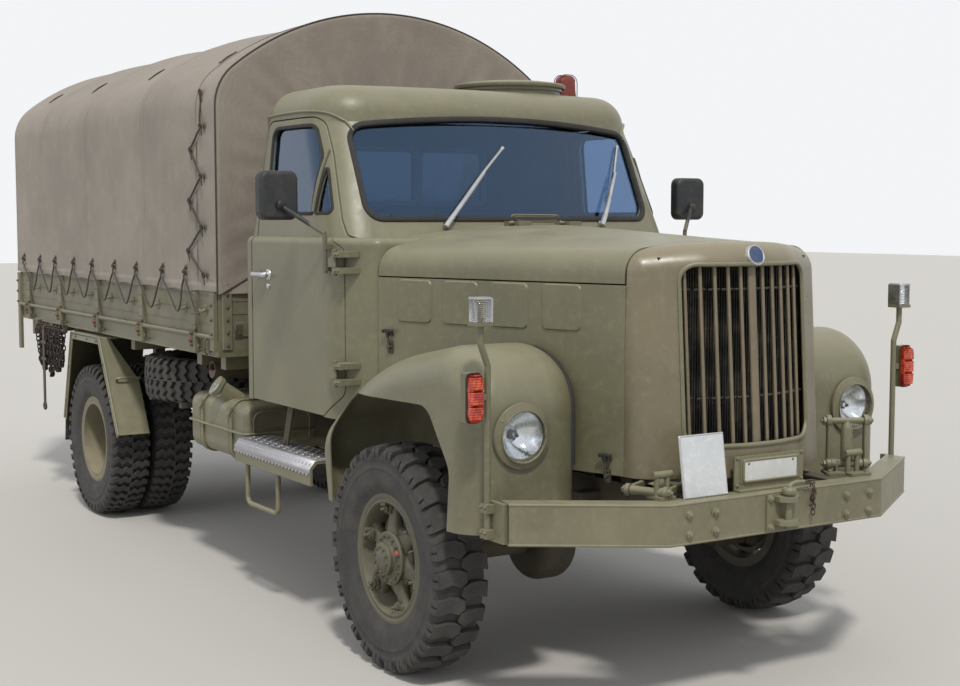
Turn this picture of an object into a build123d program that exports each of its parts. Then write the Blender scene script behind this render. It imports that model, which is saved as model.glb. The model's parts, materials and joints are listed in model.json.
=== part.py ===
"""Bonneted four-wheel-drive military cargo truck with a canvas-covered bed.

Millimetres. +X is forward, +Y is the truck's left, +Z is up. The origin is on the
ground, at the middle of the truck's length and width. The truck has right-hand drive.
"""
import os
from math import asin, atan2, cos, degrees, hypot, radians, sin, sqrt, tan

from build123d import *

os.makedirs("parts", exist_ok=True)

# Overall layout
wheelbase = 4200.0
front_overhang = 1370.0      # front axle to the tip of the towing jaw
rear_overhang = 1832.0       # rear axle to the back of the coupling
overall_length = front_overhang + wheelbase + rear_overhang
front_axle_x = overall_length / 2 - front_overhang
rear_axle_x = front_axle_x - wheelbase
seat_gap = 0.3               # running gap between pieces that rest on each other
sides = (("right", -1), ("left", 1))

# Tyres and wheels
tyre_radius = 507.0
tyre_width = 252.0
tyre_facets = 24
tread_base_radius = 482.0
bead_radius = 262.0
flange_radius = 291.0
flange_width = 190.0         # between the outer faces of the rim flanges
flange_sheet = 7.7
front_wheel_y = 1014.0       # middle of the front tyre
dual_outer_y = 994.0
dual_pitch = 292.0
axle_z = tyre_radius
kingpin_y = 925.0
spindle_radius = 42.0
hub_clearance = 0.6

# Frame
frame_bottom = axle_z + 213.0
frame_height = 180.0
frame_top = frame_bottom + frame_height
frame_half_width = 430.0
frame_flange = 70.0
frame_plate = 8.0
frame_front_x = front_axle_x + 1190.0
frame_rear_x = rear_axle_x - 1740.0

# Front bumper
bumper_bottom = frame_bottom + 16.0
bumper_height = 165.0
bumper_face_x = front_axle_x + 1291.0
bumper_depth = 95.0
bumper_plate = 8.0
bumper_middle_half = 570.0
bumper_end_x = front_axle_x + 948.0
bumper_end_half = 1088.0

# Sheet metal of the front end
sheet = 8.0
hood_line_z = 1730.0         # joint between the hood top and its sides
hood_rear_x = front_axle_x - 400.0
hood_rear_half = 935.0
hood_rear_crown = 1966.0
shell_seam_x = front_axle_x + 912.0
shell_seam_half = 511.0
shell_top_z = 1902.0
shell_bottom_z = 950.0
shell_front_x = front_axle_x + 1172.0
shell_lean = 48.0            # how far the top of the shell leans back
grille_half = 327.0
grille_bottom = 1085.0
grille_top = 1805.0
grille_bars = 5              # on each side of the middle post

# Front fenders
fender_outer_y = 1140.0
fender_inner_y = 575.0
fender_front_x = front_axle_x + 772.0
fender_top_z = 1490.0

# Cab
cab_bottom = frame_top + 150.0
belt_z = cab_bottom + 855.0
cab_half = 1065.0
cab_rear_x = front_axle_x - 1705.0
wall = 40.0
door_gap = 6.0
glass_thickness = 6.0
roof_z = 2660.0
eaves_z = 2480.0

# Bed
bed_front_x = front_axle_x - 1985.0
bed_rear_x = rear_axle_x - 1800.0
bed_half = 1085.0            # outer face of the boards
bed_bottom = frame_top + 334.0
bed_floor_thickness = 36.0
bed_floor_top = bed_bottom + bed_floor_thickness
board_top = bed_floor_top + 390.0
board_thickness = 30.0
bearer_height = 78.0

# Canvas
canvas_thickness = 12.0
canvas_gap = 0.4
canvas_half = bed_half + canvas_gap + canvas_thickness
canvas_bottom = 1595.0
canvas_apex = 3175.0
canvas_crown_radius = 1580.0
canvas_front_x = bed_front_x + 25.0
canvas_rear_x = bed_rear_x - 20.0


def ring_between(outer_radius, inner_radius, y_low, y_high, x, z):
    """A flat ring about an axis along Y."""
    with BuildPart() as ring:
        with BuildSketch(Plane.XZ.offset(-y_low)):
            with Locations((x, z)):
                Circle(outer_radius)
                Circle(inner_radius, mode=Mode.SUBTRACT)
        extrude(amount=-(y_high - y_low))
    return ring.part


def rod(start, end, radius):
    """A round bar from one point to another."""
    a, b = Vector(*start), Vector(*end)
    with BuildPart() as bar:
        with BuildSketch(Plane(origin=a, z_dir=b - a)):
            Circle(radius)
        extrude(amount=(b - a).length)
    return bar.part


def block(x, y, z):
    """A box given by its low and high values along each axis."""
    with BuildPart(Plane(origin=(min(x), min(y), min(z)))) as box:
        Box(abs(x[1] - x[0]), abs(y[1] - y[0]), abs(z[1] - z[0]), align=Align.MIN)
    return box.part


def mirrored(part):
    """The same piece on the other side of the truck."""
    return mirror(part, about=Plane.XZ)


# Tyre: flat facets with one heavy lug each, left and right in turn
def tyre_solid():
    # distance from the middle plane, radius
    rings = (
        (-flange_width / 2 + flange_sheet + seat_gap, flange_radius + 6),
        (-tyre_width / 2, 400.0),
        (-tyre_width / 2 + 16, tread_base_radius),
        (tyre_width / 2 - 16, tread_base_radius),
        (tyre_width / 2, 400.0),
        (flange_width / 2 - flange_sheet - seat_gap, flange_radius + 6),
    )
    facet_angle = 360.0 / tyre_facets
    apothem = tread_base_radius * cos(radians(facet_angle / 2))
    lug_half_width = 40.0
    lug_reach = tyre_width / 2 - 17.0
    with BuildPart() as tyre:
        for offset, radius in rings:
            with BuildSketch(Plane.XY.offset(offset)):
                RegularPolygon(radius, tyre_facets, rotation=facet_angle / 2)
        loft(ruled=True)
        with BuildSketch(Plane.XY.offset(-tyre_width)):
            RegularPolygon(bead_radius / cos(radians(facet_angle / 2)), tyre_facets, rotation=facet_angle / 2)
        extrude(amount=2 * tyre_width, mode=Mode.SUBTRACT)
        for turn in range(tyre_facets):
            side = 1 if turn % 2 else -1
            angle = turn * facet_angle
            foot = Plane(
                origin=(apothem * cos(radians(angle)), apothem * sin(radians(angle)), 0),
                x_dir=(-sin(radians(angle)), cos(radians(angle)), 0),
                z_dir=(cos(radians(angle)), sin(radians(angle)), 0),
            )
            with BuildSketch(foot):
                with BuildLine():
                    Polyline(
                        (-lug_half_width, side * lug_reach),
                        (lug_half_width, side * lug_reach),
                        (lug_half_width * 1.2, -side * 30.0),
                        (-lug_half_width * 0.2, -side * 60.0),
                        (-lug_half_width, side * lug_reach),
                    )
                make_face()
            extrude(amount=tyre_radius - apothem)
    return tyre.part


tyre_flat = tyre_solid()
tyre_upright = Rotation(90, 0, 0) * tyre_flat


# Rim: two flanges, a barrel and a well, turned about the wheel's axis
def rim_solid(x, y, z, barrel_inner=238.0):
    half = flange_width / 2
    with BuildPart() as rim:
        with BuildSketch(Plane.XY):
            with BuildLine():
                Polyline(
                    (barrel_inner, -half),
                    (flange_radius, -half),
                    (flange_radius, -half + flange_sheet),
                    (bead_radius - seat_gap, -half + flange_sheet),
                    (bead_radius - seat_gap, half - flange_sheet),
                    (flange_radius, half - flange_sheet),
                    (flange_radius, half),
                    (barrel_inner, half),
                    (barrel_inner, -half),
                )
            make_face()
        revolve(axis=Axis.Y)
    return Pos(x, y, z) * rim.part


# Front wheels: open cast spiders with six spokes
hub_face_y = 1150.0
spoke_count = 6
for side, s in sides:
    with BuildPart() as wheel_front:
        add(rim_solid(front_axle_x, s * front_wheel_y, axle_z))
        with BuildSketch(Plane.XZ.offset(-s * (front_wheel_y + 10))):
            with Locations((front_axle_x, axle_z)):
                Circle(128)
                with PolarLocations(0, spoke_count, start_angle=30):
                    with Locations((180, 0)):
                        Rectangle(140, 74)
        extrude(amount=-s * 48)
        with BuildSketch(Plane.XZ.offset(-s * (front_wheel_y + 10))):
            with Locations((front_axle_x, axle_z)):
                Circle(112)
        extrude(amount=-s * (hub_face_y - 30 - front_wheel_y - 10))
        with BuildSketch(Plane.XZ.offset(-s * (hub_face_y - 30))):
            with Locations((front_axle_x, axle_z)):
                Circle(72)
        extrude(amount=-s * 30)
        # brake drum, open towards the axle
        add(ring_between(206, 190, *sorted((s * (front_wheel_y - 52), s * (front_wheel_y + 12))), front_axle_x, axle_z))
        with BuildSketch(Plane.XZ.offset(-s * (front_wheel_y + 2))):
            with Locations((front_axle_x, axle_z)):
                Circle(206)
        extrude(amount=-s * 12)
        # bearing bore that runs on the knuckle's spindle
        with BuildSketch(Plane.XZ.offset(-s * (front_wheel_y - 60))):
            with Locations((front_axle_x, axle_z)):
                Circle(spindle_radius + hub_clearance)
        extrude(amount=-s * 120, mode=Mode.SUBTRACT)
    wheel_front.part.label = f"wheel_front_{side}"
    export_step(wheel_front.part, f"parts/wheel_front_{side}.step")

    tyre_front = Pos(front_axle_x, s * front_wheel_y, axle_z) * tyre_upright
    tyre_front.label = f"tyre_front_{side}"
    export_step(tyre_front, f"parts/tyre_front_{side}.step")

# Rear wheels: twin rims on one deep-dished disc
dual_inner_y = dual_outer_y - dual_pitch
disc_y = (dual_outer_y + dual_inner_y) / 2
axle_end_y = dual_inner_y - 118.0
for side, s in sides:
    with BuildPart() as wheel_rear:
        add(rim_solid(rear_axle_x, s * dual_outer_y, axle_z))
        add(rim_solid(rear_axle_x, s * dual_inner_y, axle_z))
        add(ring_between(bead_radius - 2, 238.0, *sorted((s * (dual_inner_y + 90), s * (dual_outer_y - 90))), rear_axle_x, axle_z))
        with BuildSketch(Plane.XZ.offset(-s * (disc_y - 10))):
            with Locations((rear_axle_x, axle_z)):
                Circle(245)
        extrude(amount=-s * 20)
        with BuildSketch(Plane.XZ.offset(-s * (disc_y - 60))):
            with Locations((rear_axle_x, axle_z)):
                Circle(118)
        extrude(amount=-s * 150)
        add(ring_between(206, 190, *sorted((s * (axle_end_y + 28), s * (disc_y - 9))), rear_axle_x, axle_z))
        with BuildSketch(Plane.XZ.offset(-s * (disc_y - 80))):
            with Locations((rear_axle_x, axle_z)):
                Circle(spindle_radius + hub_clearance)
        extrude(amount=-s * 120, mode=Mode.SUBTRACT)
    wheel_rear.part.label = f"wheel_rear_{side}"
    export_step(wheel_rear.part, f"parts/wheel_rear_{side}.step")

    outer_tyre = Pos(rear_axle_x, s * dual_outer_y, axle_z) * tyre_upright
    inner_tyre = Pos(rear_axle_x, s * dual_inner_y, axle_z) * tyre_upright
    tyre_rear = Compound([outer_tyre, inner_tyre])
    tyre_rear.label = f"tyre_rear_{side}"
    export_step(tyre_rear, f"parts/tyre_rear_{side}.step")


# Springs: stacked leaves bent upwards at their ends
spring_y = 480.0
spring_width = 76.0
leaf_thickness = 13.0
leaf_count = 7
clamp_bolt_radius = 9.0
clamp_bolt_gap = 2.0         # from the leaves' sides to the bolts
clamp_margin = 22.0          # how far the clamp plates reach past the leaves
axle_tube_radius = 58.0
spring_seat_z = axle_z + axle_tube_radius + 12.0
# half length, rise of the end above the middle
front_spring = (610.0, 95.0)
rear_spring = (680.0, 85.0)


def spring_radius(half_length, rise):
    return (half_length**2 + rise**2) / (2 * rise)


def leaf_spring(x, y, half_length, rise):
    radius = spring_radius(half_length, rise)
    low_z = spring_seat_z + (leaf_count - 1) * leaf_thickness
    with BuildPart() as spring:
        for leaf in range(leaf_count):
            reach = half_length * (1 - 0.125 * leaf)
            swing = degrees(asin(reach / radius))
            inner = radius + leaf * leaf_thickness
            outer = inner + leaf_thickness
            with BuildSketch(Plane.XZ.offset(-(y + spring_width / 2))):
                with BuildLine():
                    centre = (x, low_z + radius)
                    low = CenterArc(centre, outer, 270 - swing, 2 * swing)
                    high = CenterArc(centre, inner, 270 - swing, 2 * swing)
                    Line(low @ 0, high @ 0)
                    Line(low @ 1, high @ 1)
                make_face()
            extrude(amount=spring_width)
        # rolled eyes
        for end in (-1, 1):
            with BuildSketch(Plane.XZ.offset(-(y + spring_width / 2))):
                with Locations((x + end * half_length, low_z + rise)):
                    Circle(30)
            extrude(amount=spring_width)
        # clamp plates and shackle bolts over the axle
        with BuildSketch(Plane.XY.offset(axle_z)):
            with Locations((x, y)):
                Rectangle(150, spring_width + 2 * clamp_margin)
        extrude(amount=spring_seat_z - axle_z)
        with BuildSketch(Plane.XY.offset(low_z)):
            with Locations((x, y)):
                Rectangle(150, spring_width + 2 * clamp_margin)
        extrude(amount=16)
        for dx in (-55, 55):
            for side_way in (-1, 1):
                bolt_y = y + side_way * (spring_width / 2 + clamp_bolt_gap + clamp_bolt_radius)
                add(rod((x + dx, bolt_y, spring_seat_z), (x + dx, bolt_y, low_z + 30), clamp_bolt_radius))
    return spring.part


# Front axle: tube, offset differential housing and the forks that hold the kingpins
fork_gap_half = 118.0
fork_end_half = 158.0
diff_y = -296.0
with BuildPart() as front_axle:
    add(rod((front_axle_x, -790, axle_z), (front_axle_x, 790, axle_z), axle_tube_radius))
    with BuildSketch(Plane.XZ.offset(-(diff_y - 105))):
        with Locations((front_axle_x, axle_z)):
            Circle(188)
    extrude(amount=-210)
    fillet(front_axle.edges().filter_by(GeomType.CIRCLE).sort_by(lambda e: e.radius)[-2:], 70)
    add(rod((front_axle_x - 300, diff_y, axle_z + 20), (front_axle_x, diff_y, axle_z + 20), 82))
    for side, s in sides:
        y_low, y_high = sorted((s * 740, s * 800))
        with BuildSketch(Plane.XZ.offset(-y_low)):
            with Locations((front_axle_x, axle_z)):
                Rectangle(92, 2 * fork_end_half)
        extrude(amount=-(y_high - y_low))
        for up in (-1, 1):
            z_range = sorted((axle_z + up * fork_gap_half, axle_z + up * fork_end_half))
            add(block((front_axle_x - 46, front_axle_x + 46), sorted((s * 790, s * kingpin_y)), z_range))
            with BuildSketch(Plane.XY.offset(z_range[0])):
                with Locations((front_axle_x, s * kingpin_y)):
                    Circle(46)
            extrude(amount=z_range[1] - z_range[0])
        add(leaf_spring(front_axle_x, s * spring_y, *front_spring))
front_axle.part.label = "front_axle"
export_step(front_axle.part, "parts/front_axle.step")

# Steering knuckles: barrel on the kingpin, spindle and steering arm
for side, s in sides:
    with BuildPart() as knuckle:
        with BuildSketch(Plane.XY.offset(axle_z - fork_gap_half + seat_gap)):
            with Locations((front_axle_x, s * kingpin_y)):
                Circle(52)
        extrude(amount=2 * (fork_gap_half - seat_gap))
        add(rod((front_axle_x, s * kingpin_y, axle_z), (front_axle_x, s * (front_wheel_y + 46), axle_z), spindle_radius))
        with BuildSketch(Plane.XZ.offset(-s * (kingpin_y + 34))):
            with Locations((front_axle_x, axle_z)):
                Circle(96)
        extrude(amount=-s * 14)
        # arm that the track rod pulls
        add(block((front_axle_x - 190, front_axle_x - 30), sorted((s * (kingpin_y - 78), s * (kingpin_y - 30))), (axle_z - 82, axle_z - 52)))
    knuckle.part.label = f"knuckle_{side}"
    export_step(knuckle.part, f"parts/knuckle_{side}.step")

# Rear axle: tube, central differential and springs
with BuildPart() as rear_axle:
    add(rod((rear_axle_x, -axle_end_y, axle_z), (rear_axle_x, axle_end_y, axle_z), axle_tube_radius + 6))
    for side, s in sides:
        add(rod((rear_axle_x, s * (axle_end_y - 20), axle_z), (rear_axle_x, s * (disc_y + 10), axle_z), spindle_radius))
    with BuildSketch(Plane.XZ.offset(-110)):
        with Locations((rear_axle_x, axle_z)):
            Circle(196)
    extrude(amount=220)
    fillet(rear_axle.edges().filter_by(GeomType.CIRCLE).sort_by(lambda e: e.radius)[-2:], 72)
    add(rod((rear_axle_x, 0, axle_z + 20), (rear_axle_x + 310, 0, axle_z + 20), 84))
    for side, s in sides:
        add(leaf_spring(rear_axle_x, s * spring_y, *rear_spring))
rear_axle.part.label = "rear_axle"
export_step(rear_axle.part, "parts/rear_axle.step")

# Frame: two channel rails, cross members, spring hangers and the stools under the bed
cross_members = (frame_front_x - 60, front_axle_x - 1060, front_axle_x - 1500, rear_axle_x + 1150, rear_axle_x + 560, rear_axle_x - 700, frame_rear_x + 35)
stool_places = (bed_front_x - 110, bed_front_x - 470, rear_axle_x + 590, rear_axle_x - 20, rear_axle_x - 640, rear_axle_x - 1250, bed_rear_x + 150)
spare_x = rear_axle_x + 1160.0
with BuildPart() as frame:
    for side, s in sides:
        with BuildSketch(Plane.YZ.offset(frame_rear_x)):
            with Locations((s * (frame_half_width - frame_flange / 2), frame_bottom + frame_height / 2)):
                Rectangle(frame_flange, frame_height)
            with Locations((s * (frame_half_width - frame_flange / 2 - frame_plate), frame_bottom + frame_height / 2)):
                Rectangle(frame_flange, frame_height - 2 * frame_plate, mode=Mode.SUBTRACT)
        extrude(amount=frame_front_x - frame_rear_x)
    for x in cross_members:
        half_span = frame_half_width - frame_plate / 2
        with BuildSketch(Plane.XZ.offset(-half_span)):
            with Locations((x, frame_bottom + frame_height / 2)):
                Rectangle(70, frame_height - 24)
            with Locations((x + 8, frame_bottom + frame_height / 2)):
                Rectangle(70, frame_height - 40, mode=Mode.SUBTRACT)
        extrude(amount=2 * half_span)
    for axle, (half_length, rise) in ((front_axle_x, front_spring), (rear_axle_x, rear_spring)):
        eye_z = spring_seat_z + (leaf_count - 1) * leaf_thickness + rise
        for side, s in sides:
            for end in (-1, 1):
                x = axle + end * half_length
                for face in (spring_y - spring_width / 2 - 12 - seat_gap, spring_y + spring_width / 2 + seat_gap):
                    add(block((x - 38, x + 38), sorted((s * face, s * (face + 12))), (eye_z - 34, eye_z + 92)))
                add(block((x - 38, x + 38), sorted((s * (frame_half_width - 2), s * (spring_y + spring_width / 2 + 12 + seat_gap))), (eye_z + 62, eye_z + 92)))
    for x in stool_places:
        for side, s in sides:
            add(block((x - 35, x + 35), sorted((s * (frame_half_width - 70), s * frame_half_width)), (frame_top - 2, bed_bottom - bearer_height)))
    # arms below the spare wheel
    for dx in (-280, 240):
        add(block((spare_x + dx, spare_x + dx + 40), (-1010, -frame_half_width + 2), (frame_top - 36, frame_top)))
    add(block((spare_x - 300, spare_x + 300), (-930, -890), (frame_top - 34, frame_top - 4)))
frame.part.label = "frame"
export_step(frame.part, "parts/frame.step")

# Front bumper: a bent channel, open to the back
with BuildPart() as front_bumper:
    def bumper_plan(inset):
        points = []
        for s in (-1, 1):
            half = bumper_end_half - inset * 0.2
            ends = [(bumper_end_x - inset, s * half), (bumper_face_x - inset, s * (bumper_middle_half - inset * 0.3))]
            points += ends if s < 0 else ends[::-1]
        return points
    with BuildSketch(Plane.XY.offset(bumper_bottom)):
        with BuildLine():
            Polyline(*bumper_plan(0), *bumper_plan(bumper_depth)[::-1], close=True)
        make_face()
    extrude(amount=bumper_height)
    with BuildSketch(Plane.XY.offset(bumper_bottom + bumper_plate)):
        with BuildLine():
            Polyline(*bumper_plan(bumper_plate), *bumper_plan(bumper_depth + 5)[::-1], close=True)
        make_face()
    extrude(amount=bumper_height - 2 * bumper_plate, mode=Mode.SUBTRACT)
    # brackets that bolt to the frame's front ends
    for s in (-1, 1):
        add(block((frame_front_x + seat_gap, bumper_face_x - 4), sorted((s * (frame_half_width - frame_flange), s * frame_half_width)), (bumper_bottom + 20, bumper_bottom + bumper_height - 20)))
front_bumper.part.label = "front_bumper"
export_step(front_bumper.part, "parts/front_bumper.step")

# Towing gear: front jaw with its pin, a shackle on each side and the rear coupling
jaw_z = bumper_bottom + 95.0
jaw_tip_x = front_axle_x + front_overhang
coupling_tip_x = -overall_length / 2
coupling_z = frame_bottom + 95.0
with BuildPart() as towing_gear:
    add(block((bumper_face_x + seat_gap, bumper_face_x + 10), (-85, 85), (jaw_z - 88, jaw_z + 62)))
    for z in (jaw_z - 62, jaw_z + 34):
        with BuildSketch(Plane.XY.offset(z)):
            with Locations((jaw_tip_x - 38, 0)):
                Circle(38)
            with Locations((bumper_face_x + 24, 0)):
                Rectangle(40, 100)
            make_hull()
        extrude(amount=22)
    add(rod((jaw_tip_x - 38, 0, jaw_z - 80), (jaw_tip_x - 38, 0, jaw_z + 66), 15))
    add(rod((jaw_tip_x - 38, 0, jaw_z + 64), (jaw_tip_x - 38, 0, jaw_z + 84), 24))
    for side, s in sides:
        shackle_x = bumper_face_x - 120
        add(block((shackle_x - 50, shackle_x + 40), sorted((s * 480, s * 560)), (bumper_bottom + bumper_height + seat_gap, bumper_bottom + bumper_height + 14)))
        for y in (494, 546):
            add(rod((shackle_x, s * y, bumper_bottom + bumper_height + 10), (shackle_x, s * y, bumper_bottom + bumper_height + 96), 11))
        add(rod((shackle_x, s * 474, bumper_bottom + bumper_height + 96), (shackle_x, s * 566, bumper_bottom + bumper_height + 96), 15))
    # rear coupling
    add(block((frame_rear_x - 14, frame_rear_x - seat_gap), (-120, 120), (coupling_z - 80, coupling_z + 80)))
    add(rod((frame_rear_x - 14, 0, coupling_z), (coupling_tip_x + 60, 0, coupling_z), 34))
    for z in (coupling_z - 62, coupling_z + 34):
        with BuildSketch(Plane.XY.offset(z)):
            with Locations((coupling_tip_x + 38, 0)):
                Circle(38)
                Circle(20, mode=Mode.SUBTRACT)
        extrude(amount=28)
towing_gear.part.label = "towing_gear"
export_step(towing_gear.part, "parts/towing_gear.step")


# Hood: cross section with a flat joint below, rounded shoulders and an arched crown
shoulder_radius = 118.0
crown_ratio = 7400.0         # twice the radius of the crown's arc
hood_gap = 5.0


def hood_section(x, half, crown, inset=0.0, low=hood_line_z):
    shoulder = crown - inset - half**2 / crown_ratio
    with BuildSketch(Plane.YZ.offset(x)) as section:
        with BuildLine():
            ThreePointArc((-half + inset, shoulder), (0, crown - inset), (half - inset, shoulder))
            Polyline((half - inset, shoulder), (half - inset, low), (-half + inset, low), (-half + inset, shoulder))
        make_face()
        fillet(section.vertices().group_by(Axis.Y)[-1], shoulder_radius - inset)
    return section.sketch


def hood_form(inset, low):
    """The tapered hood between its rear and front sections."""
    rear = hood_section(hood_rear_x, hood_rear_half, hood_rear_crown, inset, low)
    front = hood_section(shell_seam_x, shell_seam_half, shell_top_z, inset, low)
    with BuildPart() as form:
        loft(sections=[rear.face(), front.face()], ruled=True)
    return form.part


# hinge at the hood's rear: its axis lies just above the crown
hood_hinge_z = hood_rear_crown + 9.0
hood_hinge_y = 150.0
hinge_half = 36.0
with BuildPart() as hood_top:
    add(hood_form(0, hood_line_z - 60))
    add(hood_form(sheet, hood_line_z - 70), mode=Mode.SUBTRACT)
    add(
        block((hood_rear_x + hood_gap, shell_seam_x - hood_gap), (-cab_half, cab_half), (hood_line_z + 3, roof_z)),
        mode=Mode.INTERSECT,
    )
    for s in (-1, 1):
        middle = s * hood_hinge_y
        add(rod((hood_rear_x, middle - hinge_half, hood_hinge_z), (hood_rear_x, middle + hinge_half, hood_hinge_z), 8))
        add(block((hood_rear_x, hood_rear_x + 46), (middle - hinge_half, middle + hinge_half), (hood_rear_crown - 14, hood_hinge_z + 8)))
hood_top.part.label = "hood_top"
export_step(hood_top.part, "parts/hood_top.step")

# Fender: side profile drawn out across the wheel, rounded along both rims
fender_outer_rim = 150.0
fender_inner_rim = 190.0
fender_bottom_z = 742.0
apron_bottom_z = 880.0


# profile seen from the side, rear foot first: distance from the front axle, height, corner radius
fender_profile = (
    (-630, 680, 0),
    (-688, 995, 200),
    (-173, 1360, 1500),
    (772, 1535, 280),
    (772, fender_bottom_z, 0),
)


def inset_line(points, inset):
    """An open line of points moved to its right-hand side by the inset."""
    moved = []
    for n, (x, z) in enumerate(points):
        turns = []
        for a, b in ((n - 1, n), (n, n + 1)):
            if 0 <= a and b < len(points):
                dx, dz = points[b][0] - points[a][0], points[b][1] - points[a][1]
                length = hypot(dx, dz)
                turns.append((dz / length, -dx / length))
        if len(turns) == 1:
            turns.append(turns[0])
        (ax, az), (bx, bz) = turns
        scale = inset / (1 + ax * bx + az * bz)
        moved.append((x + (ax + bx) * scale, z + (az + bz) * scale))
    return moved


def fender_form(inset):
    outline = [(front_axle_x + x, z) for x, z, radius in fender_profile]
    if inset:
        (x0, z0), (x1, z1) = outline[:2]
        outline[0] = (x0 + (x0 - x1) * 0.6, z0 + (z0 - z1) * 0.6)
        outline[-1] = (outline[-1][0], 490)
    outline = inset_line(outline, inset)
    with BuildPart() as form:
        with BuildSketch(Plane.XZ.offset(fender_inner_y + inset)) as profile:
            with BuildLine():
                Polyline(*outline, close=True)
            make_face()
            for (x, z), (_, _, radius) in zip(outline, fender_profile):
                if radius:
                    corner = profile.vertices().sort_by(lambda v: hypot(v.X - x, v.Y - z))[0]
                    fillet(corner, radius - inset)
        extrude(amount=fender_outer_y - fender_inner_y - 2 * inset)
        for rim_y, radius in ((fender_outer_y - inset, fender_outer_rim), (fender_inner_y + inset, fender_inner_rim)):
            rim = form.edges().filter_by(Plane.XZ).filter_by(lambda e: abs(e.center().Y + rim_y) < 1)
            rim = rim.filter_by(lambda e: e.center().Z > (720 if not inset else 640))
            fillet(rim, radius - inset)
    return form.part


headlamp_y = 918.0
headlamp_z = 1132.0
socket_radius = 124.0
fender_solid = fender_form(0)
with BuildPart() as fender_right:
    add(fender_solid)
    add(fender_form(sheet), mode=Mode.SUBTRACT)
    # wheel opening in the outer side
    with BuildSketch(Plane.XZ.offset(fender_inner_y + 200)) as opening:
        with BuildLine():
            Polyline(
                (front_axle_x + 545, 560),
                (front_axle_x + 585, 985),
                (front_axle_x + 400, 1228),
                (front_axle_x - 345, 1210),
                (front_axle_x - 505, 1010),
                (front_axle_x - 470, 560),
                close=True,
            )
        make_face()
        fillet(opening.vertices().group_by(Axis.Y)[-1], 120)
        fillet(opening.vertices().filter_by(lambda v: 900 < v.Y < 1100), 110)
    extrude(amount=600, mode=Mode.SUBTRACT)
    # the inner apron ends above the spring
    add(
        block((front_axle_x - 900, fender_front_x - 60), (-fender_inner_y - 100, -fender_inner_y + 20), (400, apron_bottom_z)),
        mode=Mode.SUBTRACT,
    )
    add(
        rod((fender_front_x - 150, -headlamp_y, headlamp_z), (fender_front_x + 90, -headlamp_y, headlamp_z), socket_radius),
        mode=Mode.SUBTRACT,
    )
front_fenders = Compound([fender_right.part, mirrored(fender_right.part)])
front_fenders.label = "front_fenders"
export_step(front_fenders, "parts/front_fenders.step")

# Hood sides: flat panels that stand on the fenders, with four raised squares each
square_size = 205.0
square_raise = 7.0
# distance of each square's middle from the front axle, height of its middle
squares = ((-180, 1624), (78, 1625), (343, 1626), (610, 1628))
side_angle = degrees(atan2(hood_rear_half - shell_seam_half, shell_seam_x - hood_rear_x))


def side_y(x):
    """Distance of the hood's side from the middle of the truck."""
    along = (x - hood_rear_x) / (shell_seam_x - hood_rear_x)
    return hood_rear_half + (shell_seam_half - hood_rear_half) * along


with BuildPart() as hood_side:
    with BuildSketch(Plane.XY.offset(shell_bottom_z)):
        with BuildLine():
            rear_x = hood_rear_x + seat_gap
            front_x = shell_seam_x - seat_gap
            Polyline(
                (rear_x, -side_y(rear_x)),
                (front_x, -side_y(front_x)),
                (front_x, -side_y(front_x) + sheet),
                (rear_x, -side_y(rear_x) + sheet),
                close=True,
            )
        make_face()
    extrude(amount=hood_line_z - 3 - shell_bottom_z)
    for place, z in squares:
        x = front_axle_x + place
        along = (cos(radians(side_angle)), sin(radians(side_angle)), 0)
        outwards = (sin(radians(side_angle)), -cos(radians(side_angle)), 0)
        with BuildSketch(Plane(origin=(x, -side_y(x), z), x_dir=along, z_dir=outwards)):
            RectangleRounded(square_size, square_size * 0.95, 26)
        extrude(amount=square_raise, taper=35)
    add(fender_solid, mode=Mode.SUBTRACT)
hood_side_right = hood_side.part.solids().sort_by(lambda p: p.volume)[-1]
hood_sides = Compound([hood_side_right, mirrored(hood_side_right)])
hood_sides.label = "hood_sides"
export_step(hood_sides, "parts/hood_sides.step")

# Grille shell: bowed front, rounded corners and a rounded brow, leaned back as a whole
shell_sheet = 8.0
shell_brow = 100.0
lean_slope = shell_lean / (grille_top - grille_bottom)
# plan from the side to the middle: how far behind the foremost point, distance from the middle, corner radius
shell_plan = (
    (186, shell_seam_half, 118),
    (38, 233, 330),
    (0, 79, 330),
)


def shell_form(inset):
    half = [(shell_front_x - behind, y) for behind, y, radius in shell_plan]
    outline = [(shell_seam_x - 120, -shell_seam_half)] + [(x, -y) for x, y in half]
    outline += half[::-1] + [(shell_seam_x - 120, shell_seam_half)]
    outline = inset_line(outline, -inset)
    radii = [0] + [radius for _, _, radius in shell_plan] * 1
    radii += radii[:0:-1] + [0]
    low = shell_bottom_z - (90 if inset else 40)
    with BuildPart() as form:
        with BuildSketch(Plane.XY.offset(low)) as plan:
            with BuildLine():
                Polyline(*outline, close=True)
            make_face()
            for (x, y), radius in zip(outline, radii):
                if radius:
                    corner = plan.vertices().sort_by(lambda v: hypot(v.X - x, v.Y - y))[0]
                    fillet(corner, radius - inset)
        extrude(amount=1980 - low)
        crown = shell_top_z - inset
        sag = 600**2 / crown_ratio
        with BuildSketch(Plane.YZ.offset(shell_seam_x - 200)):
            with BuildLine():
                ThreePointArc((-600, crown - sag), (0, crown), (600, crown - sag))
                Polyline((600, crown - sag), (600, 600), (-600, 600), (-600, crown - sag))
            make_face()
        extrude(amount=700, mode=Mode.INTERSECT)
        brow = form.edges().filter_by(lambda e: e.center().Z > 1820 and e.center().X > shell_seam_x - 110)
        fillet(brow, shell_brow - inset)
    shear = Matrix([[1, 0, -lean_slope, lean_slope * grille_bottom], [0, 1, 0, 0], [0, 0, 1, 0], [0, 0, 0, 1]])
    return form.part.transform_geometry(shear)


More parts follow.
